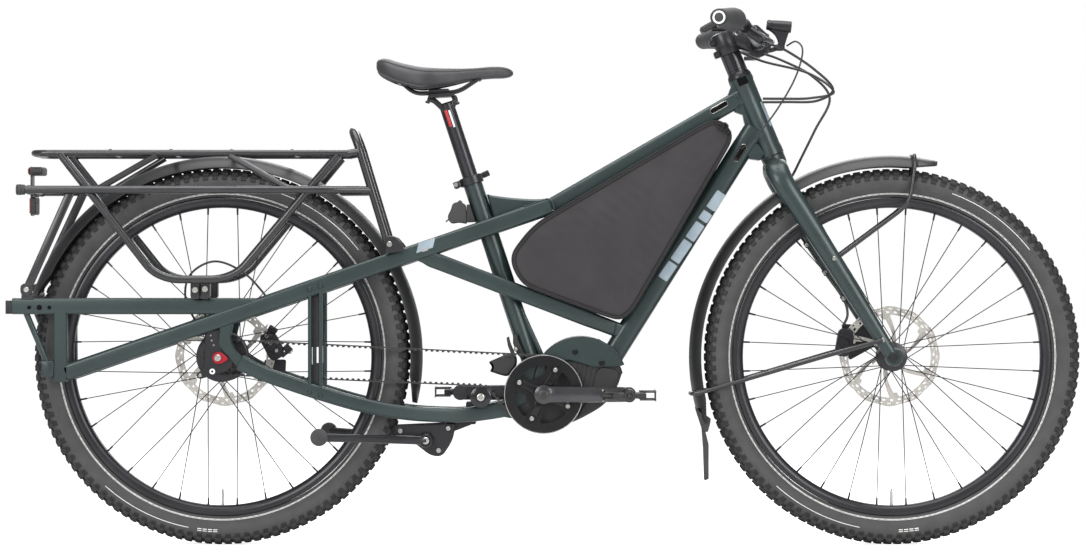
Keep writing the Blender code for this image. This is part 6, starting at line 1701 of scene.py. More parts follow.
# %% Seat post and clamp
post = [
    rod(seat_axis(-0.13), seat_axis(0.167), 0.0155, count=48, edge=0.003),
    block((-0.207, 0, 0.8965), (0.052, 0.056, 0.007), 0.06, 0.003, 0.0015),
]
for ahead, *corners in (
    (-0.003, (-0.213, 0, 0.879), (-0.223, 0, 0.887), (-0.235, 0, 0.8905)),
    (0.0035, (-0.184, 0, 0.878), (-0.18, 0, 0.888), (-0.183, 0, 0.896)),
):
    horn = smooth([seat_axis(0.144) + X * ahead, *corners], 5)
    post.append(sweep(horn, rounded_box(0.025, 0.011, 0.004, 3), Y, edge=0.002))
cheek_line = [(-0.232, 0.023, 0.8972), (-0.185, 0.023, 0.899)]
post += both([sweep(np.array(cheek_line), rounded_box(0.012, 0.004, 0.0016, 2), Y, edge=0.001)])
piece("seatpost_tube", ANODISED, "seatpost", post, ["seatpost"])
head_bolts = [bolt(
    (-0.2345, 0, 0.8855), (-0.25, 0, -1), 0.0046, 0.0044
), bolt((-0.176, 0, 0.883), (0.35, 0, -1), 0.0046, 0.0044)]
head_bolts += both([bolt((-0.179, 0.0125, 0.887), Y, 0.005, 0.0026)])
piece("seatpost_screws", DARK_STEEL, "seatpost", head_bolts)


def post_bar(low, high, left, right):
    """A print on the post's right side, between two heights along it and two offsets across it."""
    turn = np.arcsin(np.linspace(left, right, 9) / 0.0157)[:, None]
    ahead = unit(np.cross(Y, SEAT_UP))
    return wrapped(seat_axis, np.sin(turn) * ahead - np.cos(turn) * Y, low, high, 0.0157, 0.0004)


piece("seatpost_red_bar", RED_PRINT, "seatpost", [post_bar(0.118, 0.152, -0.0085, -0.0025)])
piece("seatpost_white_bar", WHITE_PRINT, "seatpost", [post_bar(0.115, 0.15, -0.0005, 0.003)])

RAISE = SEAT_UP * 0.0085
collar = [
    (0.0194, -0.0135), (0.0225, -0.0135), (0.0235, -0.0125), (0.0235, 0.0025), (0.0225, 0.0035),
    (0.0168, 0.0035), (0.0162, 0.003), (0.0162, 0.0006), (0.0194, 0.0006),
]
clamp = seat_axis(0.0035)
lug = both([block(clamp + (-0.0285, 0.0058, -0.009), (0.015, 0.008, 0.013), np.radians(18), 0.003, 0.001)])
piece("seat_clamp_collar", ANODISED, "frame", [
    lathe(collar, SEAT_TOP + RAISE, SEAT_UP, 56), *lug
], ["seat_clamp"])
hinge = clamp + (-0.03, 0.0145, -0.0095)
reach = [
    (0, 0, 0), (0.004, 0.0165, 0.001), (0.018, 0.0185, 0.006), (0.036, 0.0175, 0.013), (0.054, 0.0135, 0.021)
]
lever_path = smooth(hinge + np.array(reach), 6)
lever_size = np.interp(np.linspace(0, 1, len(lever_path)), [0, 0.25, 0.8, 1], [0.9, 1.0, 1.35, 1.0])
lever_scale = np.stack([np.ones_like(lever_size), lever_size], -1)
lever = [
    sweep(lever_path, superellipse(0.0052, 0.008, 2.6, 18), Y, lever_scale, edge=0.0015),
    block(hinge + (0.058, 0.0125, 0.0228), (0.015, 0.0085, 0.012), 0.42, 0.003, 0.001),
    rod(hinge - SEAT_UP * 0.0073, hinge + SEAT_UP * 0.0073, 0.0041),
]
piece("seat_clamp_lever_arm", ANODISED, "seat_clamp_lever", lever, ["seat_clamp_lever"])
skewer = clamp + (-0.031, 0, -0.0095)
piece("seat_clamp_skewer", STEEL, "frame", [rod(skewer - Y * 0.0125, skewer + Y * 0.0095, 0.0026), rod(
    skewer - Y * 0.014, skewer - Y * 0.01, 0.0052, count=6
)])

# %% [markdown]
# The charge port sits behind the seat tube under a rubber cover with a finger tab. The cover is one
# bent shape that turns about its upper edge.

# %% Charge port cover
cover_outline = outline_of([
    (-0.158, 0.678), (-0.156, 0.64), (-0.172, 0.643), (-0.188, 0.64), (-0.196, 0.654), (-0.188, 0.668),
    (-0.185, 0.681), (-0.17, 0.685),
], [0.004, 0.004, 0.006, 0.006, 0.008, 0.006, 0.006, 0.005], 5)
socket = outline_of([(-0.1568, 0.643), (-0.1385, 0.644), (-0.15, 0.679), (-0.1568, 0.679)], 0.003, 3)
piece("charge_port_socket", PLASTIC, "frame", [slab(socket, -0.015, 0.015, 0.001)])
cover_parts = [
    slab(cover_outline, -0.0163, 0.0163, 0.0016), rod((-0.17, -0.015, 0.683), (-0.17, 0.015, 0.683), 0.0042)
]
cover_parts += [block((-0.194, y, 0.648), (0.0024, 0.0022, 0.012), -0.9, 0.001) for y in (-0.006, 0, 0.006)]
piece("charge_port_flap", SOFT_RUBBER, "charge_port_cover", cover_parts, ["charge_port_cover"])

# %% [markdown]
# ## Fork and brakes
#
# The fork's legs are forged and taper from the crown to the dropout, with a flatter section across the
# wheel, so they give a little fore and aft. The crown is one forging with the steerer pressed into it.
# The leg's path is straight and leans forward, and the section follows it.

# %% Fork
leg_path = smooth([
    steer(0.1905, -0.003, 0.013), steer(0.1935, -0.004, 0.035), steer(0.208, -0.005, 0.0525),
    steer(0.24, -0.002, 0.06), steer(0.32, 0.013, 0.0612), steer(0.46, 0.037, 0.0616),
    steer(0.623, 0.064, 0.062),
], 8)
leg_run = run_along(leg_path)
leg_depth = np.interp(leg_run / leg_run[-1], [0, 0.08, 0.2, 0.6, 1], [0.045, 0.047, 0.042, 0.035, 0.0262])
leg = sweep(
    leg_path, superellipse(1.0, 1.0, 2.35, 28), Y, np.stack([leg_depth * 0.737, leg_depth], -1), edge=0.003
)
crown_profile = [(0, 0.1683), (
    0.0228, 0.1683
), (0.0236, 0.1695), (0.0234, 0.185), (0.0205, 0.2), (0.015, 0.2075), (0, 0.2085)]
dropout = turned([(0, 0.0507), (
    0.0165, 0.0507
), (0.0188, 0.0522), (0.0186, 0.06), (0.0172, 0.0672), (0.0155, 0.0686), (0, 0.0686)], CENTRES["front"], Y)
fork_parts = [
    rod(steer(-0.0915), steer(0.172), 0.0143, count=32),
    turned(crown_profile, HEAD_TOP, DOWN, 48),
    *both([leg, dropout]),
]
piece("fork_blades", GREEN, "steering", fork_parts, ["fork"])
axle_end = turned([(0, 0.068), (0.0105, 0.068), (
    0.0105, 0.0728
), (0.0092, 0.0745), (0.0052, 0.0745), (0.0048, 0.0715), (0, 0.0715)], CENTRES["front"], Y, 28)
piece("fork_axle_caps", ANODISED, "steering", both([axle_end]))

clip_parts, clip_bolts = [], []
for x, y, z in ((0.5265, 0.06, 0.599), (0.5635, 0.0575, 0.543), (0.6, 0.054, 0.4905)):
    clip_parts.append(rod((x - 0.0032, y, z + 0.0052), (x + 0.0032, y, z - 0.0052), 0.0046, count=16))
    clip_bolts.append(bolt((x, y - 0.004, z), -Y, 0.0046, 0.003))
for x, y, z in ((0.5731, 0.075, 0.5703), (0.6694, 0.0712, 0.4087)):
    clip_bolts += both([bolt((x, y, z), Y, 0.0046, 0.0032)])
piece("fork_hose_clips", SOFT_RUBBER, "steering", clip_parts)
piece("fork_boss_screws", STEEL, "steering", clip_bolts)

# %% [markdown]
# A hydraulic caliper is two half bodies bolted together round the disc, each with a piston and a pad.
# Here each half is a forged block with a boss over its piston, and the slot between them is open, so
# the disc passes between real pads.

# %% Calipers
def caliper_parts(centre, tilt, slot_y, inner, outer, size):
    """Two halves of a caliper, its bridge at the far end from the axle, its pistons, pads and bolts."""
    along = np.array([np.cos(tilt), 0, np.sin(tilt)])
    across = np.array([-np.sin(tilt), 0, np.cos(tilt)])
    axes = np.stack([along, across])[:, [0, 2]]

    def at_caliper(u, v, y):
        return xz(centre, y)[0] + along * u + across * v

    corners = [(
        -0.5, -0.35
    ), (-0.36, -0.5), (0.36, -0.5), (0.5, -0.35), (0.5, 0.25), (0.3, 0.5), (-0.3, 0.5), (-0.5, 0.25)]
    plan = outline_of(np.array(corners) * size, 0.006, 4) @ axes + centre
    pad = outline_of(
        [(-0.014, -0.01), (0.014, -0.01), (0.011, 0.012), (-0.011, 0.012)], 0.003, 3
    ) @ axes + centre
    halves, pads, bolts = [], [], []
    for low, high in ((slot_y - inner, slot_y - 0.0032), (slot_y + 0.0032, slot_y + outer)):
        halves.append(slab(plan, low, high, 0.0016))
    for sign, depth in ((-1, inner), (1, outer)):
        face = slot_y + sign * depth
        boss = at_caliper(0, -0.002, face + min(sign * 0.0014, 0.0003))
        halves.append(rod(at_caliper(0, -0.002, slot_y + sign * 0.006), boss, 0.0125, 0.0112, 28, 0.0012))
        for u in (-0.019, 0.019):
            boss = at_caliper(u, -0.006, face + min(sign * 0.001, 0.0002))
            halves.append(rod(at_caliper(u, -0.006, slot_y + sign * 0.008), boss, 0.0052, 0.0046, 20, 0.0008))
        pads.append(slab(pad, slot_y + sign * 0.0017 - 0.0004, slot_y + sign * 0.0017 + 0.0004, 0.0002))
    for u in (-0.34, 0.34):
        bolts.append(bolt(at_caliper(u * size[0], 0.22 * size[1], slot_y + outer), Y, 0.0038, 0.003))
    pin = (at_caliper(0, 0.44 * size[1], y) for y in (slot_y - inner + 0.004, slot_y + outer - 0.004))
    pads.append(rod(*pin, 0.0016))
    return halves, pads, bolts


front_tilt, rear_tilt = np.radians(-100), np.radians(-62)
halves, pads, bolts = caliper_parts(
    np.array([0.602, 0.402]), front_tilt, 0.041, 0.0135, 0.017, (0.056, 0.032)
)
mount = outline_of([(0.596, 0.44), (0.664, 0.436), (0.678, 0.402), (0.612, 0.366)], 0.006, 4)
piece("front_caliper_body", ANODISED, "steering", halves + [
    slab(mount, 0.0525, 0.058, 0.0012)
], ["front_caliper"])
piece("front_caliper_pads", DARK_STEEL, "steering", pads)
bolts += [bolt((x, 0.058, z), Y, 0.0044, 0.003) for x, z in ((0.64, 0.428), (0.62, 0.378))]
piece("front_caliper_bolts", STEEL, "steering", bolts)
halves, pads, bolts = caliper_parts(
    np.array([-0.549, 0.396]), rear_tilt, 0.06, 0.0155, 0.0086, (0.058, 0.034)
)
for y, radius, count, edge, *ends in (
    (0.05, 0.007, 20, 0.001, (-0.556, 0.433), (-0.54, 0.423)),
    (0.048, 0.0075, 20, 0.001, (-0.524, 0.396), (-0.512, 0.384)),
    (0.05, 0.004, 16, 0.0006, (-0.53, 0.374), (-0.516, 0.386)),
    (0.047, 0.005, 16, 0.0006, (-0.566, 0.415), (-0.548, 0.415)),
):
    halves.append(rod(*xz(ends, y), radius, count=count, edge=edge))
adjusters = [bolt((-0.512, 0.048, 0.384), unit((0.7, 0, -0.7)), 0.0055, 0.003), bolt(
    (-0.559, 0.05, 0.4348), unit((-0.85, 0, 0.53)), 0.005, 0.0025
)]
adjusters += [
    bolt((x, 0.0446, z), -Y, 0.004, 0.003) for x, z in ((-0.56, 0.415), (-0.54, 0.386), (-0.553, 0.401))
]
piece("rear_caliper_bolts", STEEL, "frame", adjusters)
tab = outline_of([(-0.566, 0.368), (-0.522, 0.368), (-0.524, 0.326), (-0.566, 0.336)], 0.005, 4)
piece("rear_caliper_body", ANODISED, "frame", halves + [
    slab(tab, 0.0636, 0.0686, 0.0012)
], ["rear_caliper"])
piece("rear_caliper_pads", DARK_STEEL, "frame", pads)

# %% [markdown]
# ## Fenders
#
# A fender is a strip of polycarbonate, arched across and rolled to the wheel's circle, with a rib along
# each edge. The surface is a section of constant width turned about the axle, P(a, t), and its ends
# draw in to a rounded tip. Stays of aluminium rod hold it off the tyre.

# %% Fender strips
FENDER_RADIUS, FENDER_HALF = 0.4, 0.0375


def fender(axle, start, end, radius=FENDER_RADIUS, count=90):
    """A thin arched strip: r = R - d(a) |t|^2.6 outside, a lip at both edges, t across from -1 to 1."""
    t = np.linspace(-1, 1, 25)
    fall = abs(t) ** 2.6
    centre_band = 0.0012 * np.exp(-((t / 0.16) ** 2))
    outer_section = np.stack([FENDER_HALF * t, radius - 0.0012 + centre_band], -1)
    inner_section = (outer_section - (0, 0.0018))[::-1]
    lips = outer_section[-1:] + (0.0004, -0.0012)
    section = np.concatenate([outer_section, lips, inner_section, inner_section[-1:] + (-0.0004, 0.0006)])
    fall = np.concatenate([fall, fall[-1:], fall[::-1], fall[:1]])
    turn = np.linspace(start, end, count)
    tip = 0.03 / FENDER_RADIUS
    near = np.clip(np.minimum(turn - start, end - turn) / tip, 0, 1)
    width = 0.35 + 0.65 * np.sqrt(1 - (1 - near) ** 2)
    depth = 0.007 + 0.0135 * np.clip(np.minimum(turn - start, end - turn) * radius / 0.055, 0, 1)
    r = section[None, :, 1] - depth[:, None] * fall
    y = section[None, :, 0] * width[:, None]
    points = np.stack([axle[0] + r * np.cos(turn)[:, None], y, axle[1] + r * np.sin(turn)[:, None]], -1)
    return solid(points, capped(count, len(section)))


front_plan, rear_plan = np.array(AXLES["front"]), np.array(AXLES["rear"])
front_strip = front_plan - (0.003, 0)
piece("front_fender_strip", FENDER_PLASTIC, "steering", [
    fender(front_strip, np.radians(76.3), np.radians(201), FENDER_RADIUS + 0.002)
])
piece("rear_fender_strip", FENDER_PLASTIC, "frame", [
    fender(rear_plan, np.radians(-13.5), np.radians(162))
], ["rear_fender"], 40)


def on_wheel(plan, radius, degrees, y=0.0):
    turn = np.radians(degrees)
    return np.array([plan[0] + radius * np.cos(turn), y, plan[1] + radius * np.sin(turn)])


stays, stay_feet = [], []
for start, corner, foot, degrees, radius in (
    ((0.577, 0.048, 0.569), (0.726, 0.043, 0.68), 0.0405, 83.5, 0.004),
    ((0.669, 0.073, 0.4087), (0.565, 0.0655, 0.3795), 0.0415, 190.5, 0.0043),
):
    top = [on_wheel(front_strip, 0.4045, degrees, 0.035), on_wheel(front_strip, 0.4055, degrees)]
    half_path = bent(
        [start, corner, on_wheel(front_plan, 0.386, degrees, foot), *top], [0, 0.03, 0.008, 0.008, 0], 6
    )
    stays.append(tube(np.concatenate([half_path, (half_path * (1, -1, 1))[-2::-1]]), radius, X, 12))
    foot_place = on_wheel(front_plan, 0.3905, degrees, 0.0385)
    stay_feet.append(block(foot_place, (0.012, 0.0048, 0.012), np.radians(degrees), 0.002))
flap_plan = [on_wheel(front_strip, *place)[[0, 2]] for place in (
    (0.4028, 201), (0.4028, 195), (0.3978, 195), (0.3978, 201)
)]
flap_plan += [(0.3262, 0.2), (0.3266, 0.131), (0.318, 0.128), (0.3165, 0.19)]
mudflap = slab(outline_of(flap_plan, 0.0015, 3), -0.026, 0.026, 0.001)
flap_side = outline_of([
    (0.2997, 0.2749), (0.3086, 0.2649), (0.3305, 0.252), (0.329, 0.241), (0.3246, 0.2251), (0.3162, 0.2251),
    (0.3086, 0.249),
], 0.002, 3)
flap_sides = both([slab(flap_side, 0.0252, 0.0272, 0.0006)])
piece("front_fender_stays", RACK_BLACK, "steering", stays, ["front_fender"])
piece("front_mudflap", SOFT_RUBBER, "steering", [mudflap, *flap_sides])
piece("front_fender_clips", PLASTIC, "steering", both(stay_feet))
piece("rear_fender_boss", PLASTIC, "frame", [block((-0.62, 0, 0.772), (0.02, 0.018, 0.012), 0, 0.003)])

# %% [markdown]
# ## Cockpit
#
# The handlebar is one drawn tube, butted at the clamp and bent back toward the rider. The stem is
# forged and then machined: a split clamp round the steerer with two pinch bolts, an arm, and a
# faceplate over the bar.

# %% Handlebar and stem
def bar_half(side):
    return [(0.425, side * 0.03, 1.0), (0.405, side * 0.13, 1.013), (0.372, side * 0.25, 1.031), (
        0.3325, side * 0.372, 1.0285
    )]


bar_centre = np.array([0.425, 0, 1.0])
bar_curve = bent(np.array(bar_half(1)[::-1] + bar_half(-1)), 0.05, 12)
sleeve_half = [(0.0155, 0.027), (0.015, 0.03), (0.0112, 0.036), (0, 0.036)]
sleeve = turned([(r, -along) for r, along in sleeve_half[::-1]] + sleeve_half, bar_centre)
piece("handlebar_tube", ANODISED, "steering", [
    tube(bar_curve, 0.0111, Z, 28), sleeve
], ["handlebar"])

stem_profile = [
    (0.0184, -0.053), (0.024, -0.053), (0.0246, -0.0542), (0.0246, -0.0665), (0.0236, -0.0672),
    (0.0236, -0.07), (0.0246, -0.0707), (0.0246, -0.0948), (0.0234, -0.097), (0.015, -0.0985),
    (0.007, -0.0985), (0.006, -0.0965), (0.002, -0.0965), (0.002, -0.0935), (0.0184, -0.0935),
]
neck_path = np.stack([steer(-0.074, 0.018), steer(-0.074, 0.026), np.array([0.416, 0, 0.996])])
stem_parts = [
    lathe(stem_profile, HEAD_TOP, DOWN, 56),
    sweep(neck_path, superellipse(1.0, 1.0, 3.0, 32), Y, np.array(
        [[0.036, 0.038], [0.035, 0.036], [0.04, 0.034]]
    ), edge=0.002),
    lathe(hoop(0.0158, 0.0235, 0.0205, 0.001, 0.001), bar_centre, Y, 48),
]
lug_bolts = []
for down in (-0.06, -0.084):
    stem_parts += both([
        block(steer(down, -0.0215, 0.0084), (0.019, 0.0135, 0.0135), HEAD_ANGLE, 0.0045, 0.0012),
        rod(steer(down, -0.0245, 0.003), steer(down, -0.0245, 0.0152), 0.0068, count=24, edge=0.001),
    ])
    lug_bolts += both([bolt(steer(down, -0.0245, 0.015), Y, 0.0042, 0.0036)])
for rise in (1, -1):
    place = bar_centre + (0.019, 0.0135, rise * 0.015)
    stem_parts += both([rod(place - X * 0.015, place, 0.0058, count=20)])
    lug_bolts += both([bolt(place, X, 0.004, 0.0034)])
lamp_arm = smooth([(0.443, 0, 0.986), (0.456, 0, 0.989), (0.465, 0, 0.9925)], 5)
stem_parts.append(sweep(lamp_arm, superellipse(0.0105, 0.01, 3, 16), Y, edge=0.001))
lamp_fork = outline_of([(0.46, 0.9865), (0.479, 0.9865), (0.479, 0.9995), (0.46, 0.9995)], 0.0055, 4)
stem_parts += both([slab(lamp_fork, 0.0061, 0.0079, 0.0004)])
stem_parts.append(rod((0.4625, -0.0066, 0.992), (0.4625, 0.0066, 0.992), 0.0046))
piece("stem_forging", ANODISED, "steering", stem_parts, ["stem"])
piece("stem_bolts", DARK_STEEL, "steering", lug_bolts)

# %% [markdown]
# Between the head tube and the stem lie the upper headset cup and a stack of spacers. Each spacer's
# edge is broken, and the thin dark seams between them make a stack look like a stack.

# %% Headset
spacer_parts = []
for low, high in ((-0.0525, -0.0175), (-0.0175, -0.0125)):
    middle = HEAD_TOP + DOWN * (low + high) / 2
    spacer_parts.append(
        lathe(hoop(0.0186, 0.0206, (high - low) / 2 - 0.0001, 0.0003, 0.0003), middle, DOWN, 48)
    )
upper_cup = [(
    0.0186, -0.0122
), (0.0205, -0.0122), (0.0238, -0.006), (0.0248, -0.0015), (0.0248, -0.0004), (0.0186, -0.0004)]
lower_cup = [(0.0186, 0.1682), (0.024, 0.1682), (0.0242, 0.169), (0.0238, 0.1698), (0.0186, 0.1698)]
headset_parts = [lathe(cup, HEAD_TOP, DOWN, 48) for cup in (upper_cup, lower_cup)]
piece("headset_spacers", GLOSS_PLASTIC, "steering", spacer_parts)
piece("headset_cups", ANODISED, "steering", headset_parts)

# %% [markdown]
# The grips are moulded rubber over a lock-on sleeve. The section swells where the palm rests and narrows
# to the end plug, P(i, j), and ridges under the thumb fade in and out. They give under the hand. The end
# plug carries a plain ring.

# %% Grips
def grip_parts(side):
    """Rings along the bar: radius r(t), a small reach toward the rider, and ridges on the thumb's side."""
    a, b = np.array(bar_half(side)[2]), np.array(bar_half(side)[3])
    way = unit(b - a)
    start = a + way * 0.004
    length = np.linalg.norm(b - a) - 0.0015
    rearward = np.array([-1.0, 0, 0.1])
    back = unit(rearward - (rearward @ way) * way)
    up = np.cross(back, way) * side
    t = np.linspace(0, 1, 46)
    turn = np.arange(40) * 2 * np.pi / 40
    c, s = np.cos(turn)[None], np.sin(turn)[None]
    radii = [0.016, 0.0205, 0.0228, 0.0232, 0.0215, 0.0176, 0.0168]
    r = np.interp(t, [0, 0.03, 0.1, 0.22, 0.45, 0.85, 1], radii)[:, None]
    wing = np.interp(t, [0.0, 0.2, 0.55, 0.92, 1.0], [0, 0.5, 1.0, 0.7, 0.4])[:, None]
    reach = 0.003 * wing * np.clip(-c, 0, 1) ** 1.5
    fade = np.interp(t, [0.14, 0.2, 0.6, 0.66], [0, 1, 1, 0])[:, None]
    ridge = 0.0004 * np.sin(t * 2 * np.pi * 24)[:, None] * np.clip(c + 0.2, 0, 1) * fade
    points = start + way * (length * t)[:, None, None]
    points = points + (r + ridge)[..., None] * (
        -c[..., None] * back + s[..., None] * up
    ) + reach[..., None] * back
    return closed_on(points, [points[0].mean(0), points[-1].mean(0)]), start, way, length


for name, side in (("left", 1), ("right", -1)):
    rubber, start, way, length = grip_parts(side)
    made = piece(
        f"grip_rubber_{name}", SOFT_RUBBER, "steering", [rubber], [f"grip_{name}"], 60
    )
    end = start + way * length
    sleeve = rod(start - way * 0.012, start - way * 0.0002, 0.0162, count=32, edge=0.001)
    plug = [(0, -0.001), (0.016, -0.001), (0.0158, 0.0012), (0.014, 0.0018), (0, 0.0018)]
    plug_ring = [(0.009, 0.0016), (0.0126, 0.0016), (0.0126, 0.0021), (0.009, 0.0021)]
    piece(f"grip_clamp_{name}", ANODISED, "steering", [sleeve])
    piece(f"grip_plug_{name}", PLASTIC, "steering", [turned(plug, end, way)])
    piece(f"grip_plug_ring_{name}", WHITE_PRINT, "steering", [lathe(plug_ring, end, way, 40)])

# %% [markdown]
# A brake lever's mount is a forged clamp with the master cylinder in one piece, and the lever turns on a
# pin in its yoke. The lever blade is drawn as a flat section along a curve, thick at the pivot and
# hooked at its end.

# %% Brake levers
LEVER_AXIS = unit(np.array([0.3, 0, 0.954]))
for name, side in (("left", 1), ("right", -1)):
    a, b = (np.array(p) for p in bar_half(side)[1:3])
    centre, way = (a + b) / 2, unit(b - a)

    def at_mount(x, y, z):
        return centre + np.array([x, side * y, z])

    pivot = at_mount(0.04, 0.012, -0.028)
    tank_line = [
        (0.013, 0.006, -0.008), (0.028, -0.01, -0.017), (0.048, -0.032, -0.0285), (0.052, -0.037, -0.031)
    ]
    tank_size = np.array([1.05] * 5 + [1.0] * 5 + [0.86] * 5 + [0.66] * 4)
    tank = smooth([at_mount(*place) for place in tank_line], 6)
    yoke = np.stack(
        [at_mount(*p) for p in ((0.01, 0.002, -0.008), (0.024, 0.007, -0.018), (0.038, 0.011, -0.027))]
    )
    barb = np.array([0.4415, side * 0.1525, 0.9905])
    mount = [
        sweep(tank, superellipse(0.0225, 0.0235, 2.6, 28), Z, tank_size, edge=0.0025),
        block(at_mount(0.031, -0.013, -0.007), (0.034, 0.0175, 0.005), -0.55, 0.004, 0.001, yaw=-side * 0.72),
        sweep(yoke, superellipse(0.021, 0.019, 3, 24), Z, edge=0.002),
        lathe(hoop(0.0113, 0.0158, 0.0078), centre, way, 32),
        *(rod(
            pivot + LEVER_AXIS * s * 0.0064, pivot + LEVER_AXIS * s * 0.009, 0.0088, count=24
        ) for s in (1, -1)),
        block(centre + (-0.012, 0, -0.008), (0.011, 0.013, 0.01), 0.6, 0.003),
        rod(at_mount(0.05, -0.035, -0.03), barb - (0.002, 0, 0), 0.005, count=6),
    ]
    piece(f"lever_mount_body_{name}", ANODISED, "steering", mount, [f"lever_mount_{name}"])
    screws = [
        bolt(centre + (-0.015, 0.003, -0.013), (-0.4, 0, -1), 0.0036, 0.003),
        bolt(centre + (-0.011, -0.003, 0.014), (-0.4, 0, 1), 0.0034, 0.0028),
    ]
    for u in (-0.012, 0.012):
        place = at_mount(0.031, -0.013, -0.0042) + np.array([u * 0.75, -side * u * 0.62, -u * 0.45])
        screws.append(bolt(place, (0.35, 0, 0.94), 0.0022, 0.0016))
    piece(f"lever_mount_screws_{name}", STEEL, "steering", screws)
    reach = np.array([
        (0, 0, 0), (0.01, 0.018, -0.003), (0.0125, 0.04, -0.004), (0.01, 0.07, -0.006),
        (0.006, 0.095, -0.006), (-0.006, 0.125, -0.0045), (-0.012, 0.135, -0.004),
    ])
    blade = smooth(pivot + reach * (1, side, 1), 6)
    share = np.linspace(0, 1, len(blade))
    thick = np.interp(share, [0, 0.2, 0.9, 1.0], [1.25, 1.0, 0.9, 1.0])
    wide = np.interp(share, [0, 0.2, 0.6, 0.92, 1.0], [1.0, 0.85, 0.95, 0.95, 1.0])
    boss = rod(pivot - LEVER_AXIS * 0.0047, pivot + LEVER_AXIS * 0.0047, 0.0072, count=24)
    blade = sweep(blade, superellipse(0.0082, 0.0096, 2.6, 20), X, np.stack([thick, wide], -1), edge=0.002)
    body = f"brake_lever_{name}"
    piece(f"brake_lever_blade_{name}", ANODISED, body, [blade, boss], [body])
    pin = rod(pivot - LEVER_AXIS * 0.0096, pivot + LEVER_AXIS * 0.0096, 0.0026)
    piece(f"brake_lever_pin_{name}", STEEL, "steering", [pin])

# %% [markdown]
# The display is a wedge-shaped shell with a bonded glass face, held ahead of the stem on a cranked
# bracket. The remote by the left thumb is a moulded body with one round key in a well. The headlight has
# an aluminium shell, a bezel and a clear lens, and the lens shows a reflector bowl behind it.

# %% Display and remote
screen_turn = np.radians(30)
screen_ahead = np.array([np.cos(screen_turn), 0, np.sin(screen_turn)])
screen_up = np.array([-np.sin(screen_turn), 0, np.cos(screen_turn)])
screen_centre = np.array([0.327, 0, 1.034])
shell_plan = outline_of(
    [(-0.018, -0.0035), (-0.012, -0.007), (0.018, -0.0062), (0.018, 0.0062), (-0.018, 0.0052)], 0.002, 4
)
shell = slab(shell_plan @ np.stack(
    [screen_ahead, screen_up]
)[:, [0, 2]] + screen_centre[[0, 2]], -0.0258, 0.0258, 0.0022)
glass = block(screen_centre + screen_up * 0.006, (0.032, 0.046, 0.0016), screen_turn, 0.0007, 0.0006)
bracket = tube(bent([(0.333, 0, 1.03), (0.38, 0, 1.032), (0.415, 0, 1.021)], 0.02, 8), 0.005, Y, 20)
band = lathe(hoop(0.0237, 0.0268, 0.0058, 0.0006), bar_centre, Y, 40)
piece("display_shell", PLASTIC, "steering", [shell, bracket, band])
piece("display_face", DISPLAY_GLASS, "steering", [glass])
remote_up = np.array([-0.5, 0, 0.866])
remote_face = np.array([0.372, 0.152, 1.011])
remote_ahead = np.array([0.866, 0, 0.5])
remote = block(remote_face + (
    0.004, 0.002, 0
) - remote_up * 0.0012, (0.031, 0.0235, 0.0136), np.radians(30), 0.005, 0.0022)
remote_arm = tube(smooth(
    [remote_face + (0.004, 0.006, -0.004), remote_face + (0.009, 0.022, 0.001), (0.385, 0.183, 1.0095)], 5
), 0.0052, Y, 16)
well = lathe([
    (0.005, 0.005), (0.0062, 0.005), (0.0066, 0.0062), (0.0062, 0.007), (0.0052, 0.0068)
], remote_face, remote_up, 28)
piece("remote_body", PLASTIC, "steering", [remote, remote_arm, well])
key = turned(
    [(0, 0.0058), (0.0044, 0.0058), (0.0044, 0.0096), (0.0036, 0.0104), (0, 0.01)], remote_face, remote_up, 28
)
piece("remote_key", SOFT_RUBBER, "remote_button", [key], ["remote_button"])
marks = []
for off in (-0.009, 0.0125):
    place = remote_face + remote_ahead * off + (0.002, 0.002, 0) + remote_up * 0.0057
    marks.append(block(place, (0.005, 0.0012, 0.0008), np.radians(30), 0.0003, 0.0002))
piece("remote_marks", GREY_PRINT, "steering", marks)

# %% [markdown]
# The headlight's shell, lens and bowl are turned about the lamp's own line. A stalk carries them down to
# the pin that the lamp tilts on.

# %% Headlight
lamp_way = unit(np.array([1.0, 0, -0.1]))
lamp_start = np.array([0.4425, 0, 1.0385])
barrel = [
    (0, 0.0), (0.0078, 0.0), (0.0098, 0.0012), (0.0105, 0.003), (0.0105, 0.01), (0.0098, 0.0104),
    (0.0098, 0.0112), (0.0107, 0.0116), (0.0118, 0.03), (0.012, 0.047), (0.0118, 0.0498), (0.0104, 0.0502),
    (0.01, 0.046), (0.006, 0.038), (0.0028, 0.035), (0, 0.035),
]
lamp_parts = [turned(barrel, lamp_start, lamp_way, 48)]
stalk = outline_of([
    (0.444, 1.03), (0.492, 1.03), (0.487, 1.022), (0.48, 1.0), (0.478, 0.993), (0.466, 0.993), (0.466, 1.004),
    (0.46, 1.018),
], [0.002, 0.002, 0.01, 0.01, 0.003, 0.003, 0.01, 0.012], 4)
lamp_parts.append(slab(stalk, -0.0052, 0.0052, 0.002))
lamp_parts.append(rod((0.472, -0.0039, 0.993), (0.472, 0.0039, 0.993), 0.0068, count=28))
piece("headlight_shell", ANODISED, "headlight", lamp_parts, ["headlight"])
glass = [(0, 0.047), (0.0099, 0.047), (0.0099, 0.049), (0.006, 0.0502), (0, 0.0505)]
bowl = [(0, 0.0353), (
    0.0027, 0.0353
), (0.0058, 0.0383), (0.0097, 0.0458), (0.009, 0.0458), (0.0055, 0.039), (0.002, 0.0362), (0, 0.0362)]
piece("headlight_lens", CLEAR_LENS, "headlight", [turned(glass, lamp_start, lamp_way)])
piece("headlight_reflector", STEEL, "headlight", [turned(bowl, lamp_start, lamp_way)])
piece("headlight_pin", STEEL, "headlight", [rod((0.472, -0.0057, 0.993), (0.472, 0.0057, 0.993), 0.0018)])

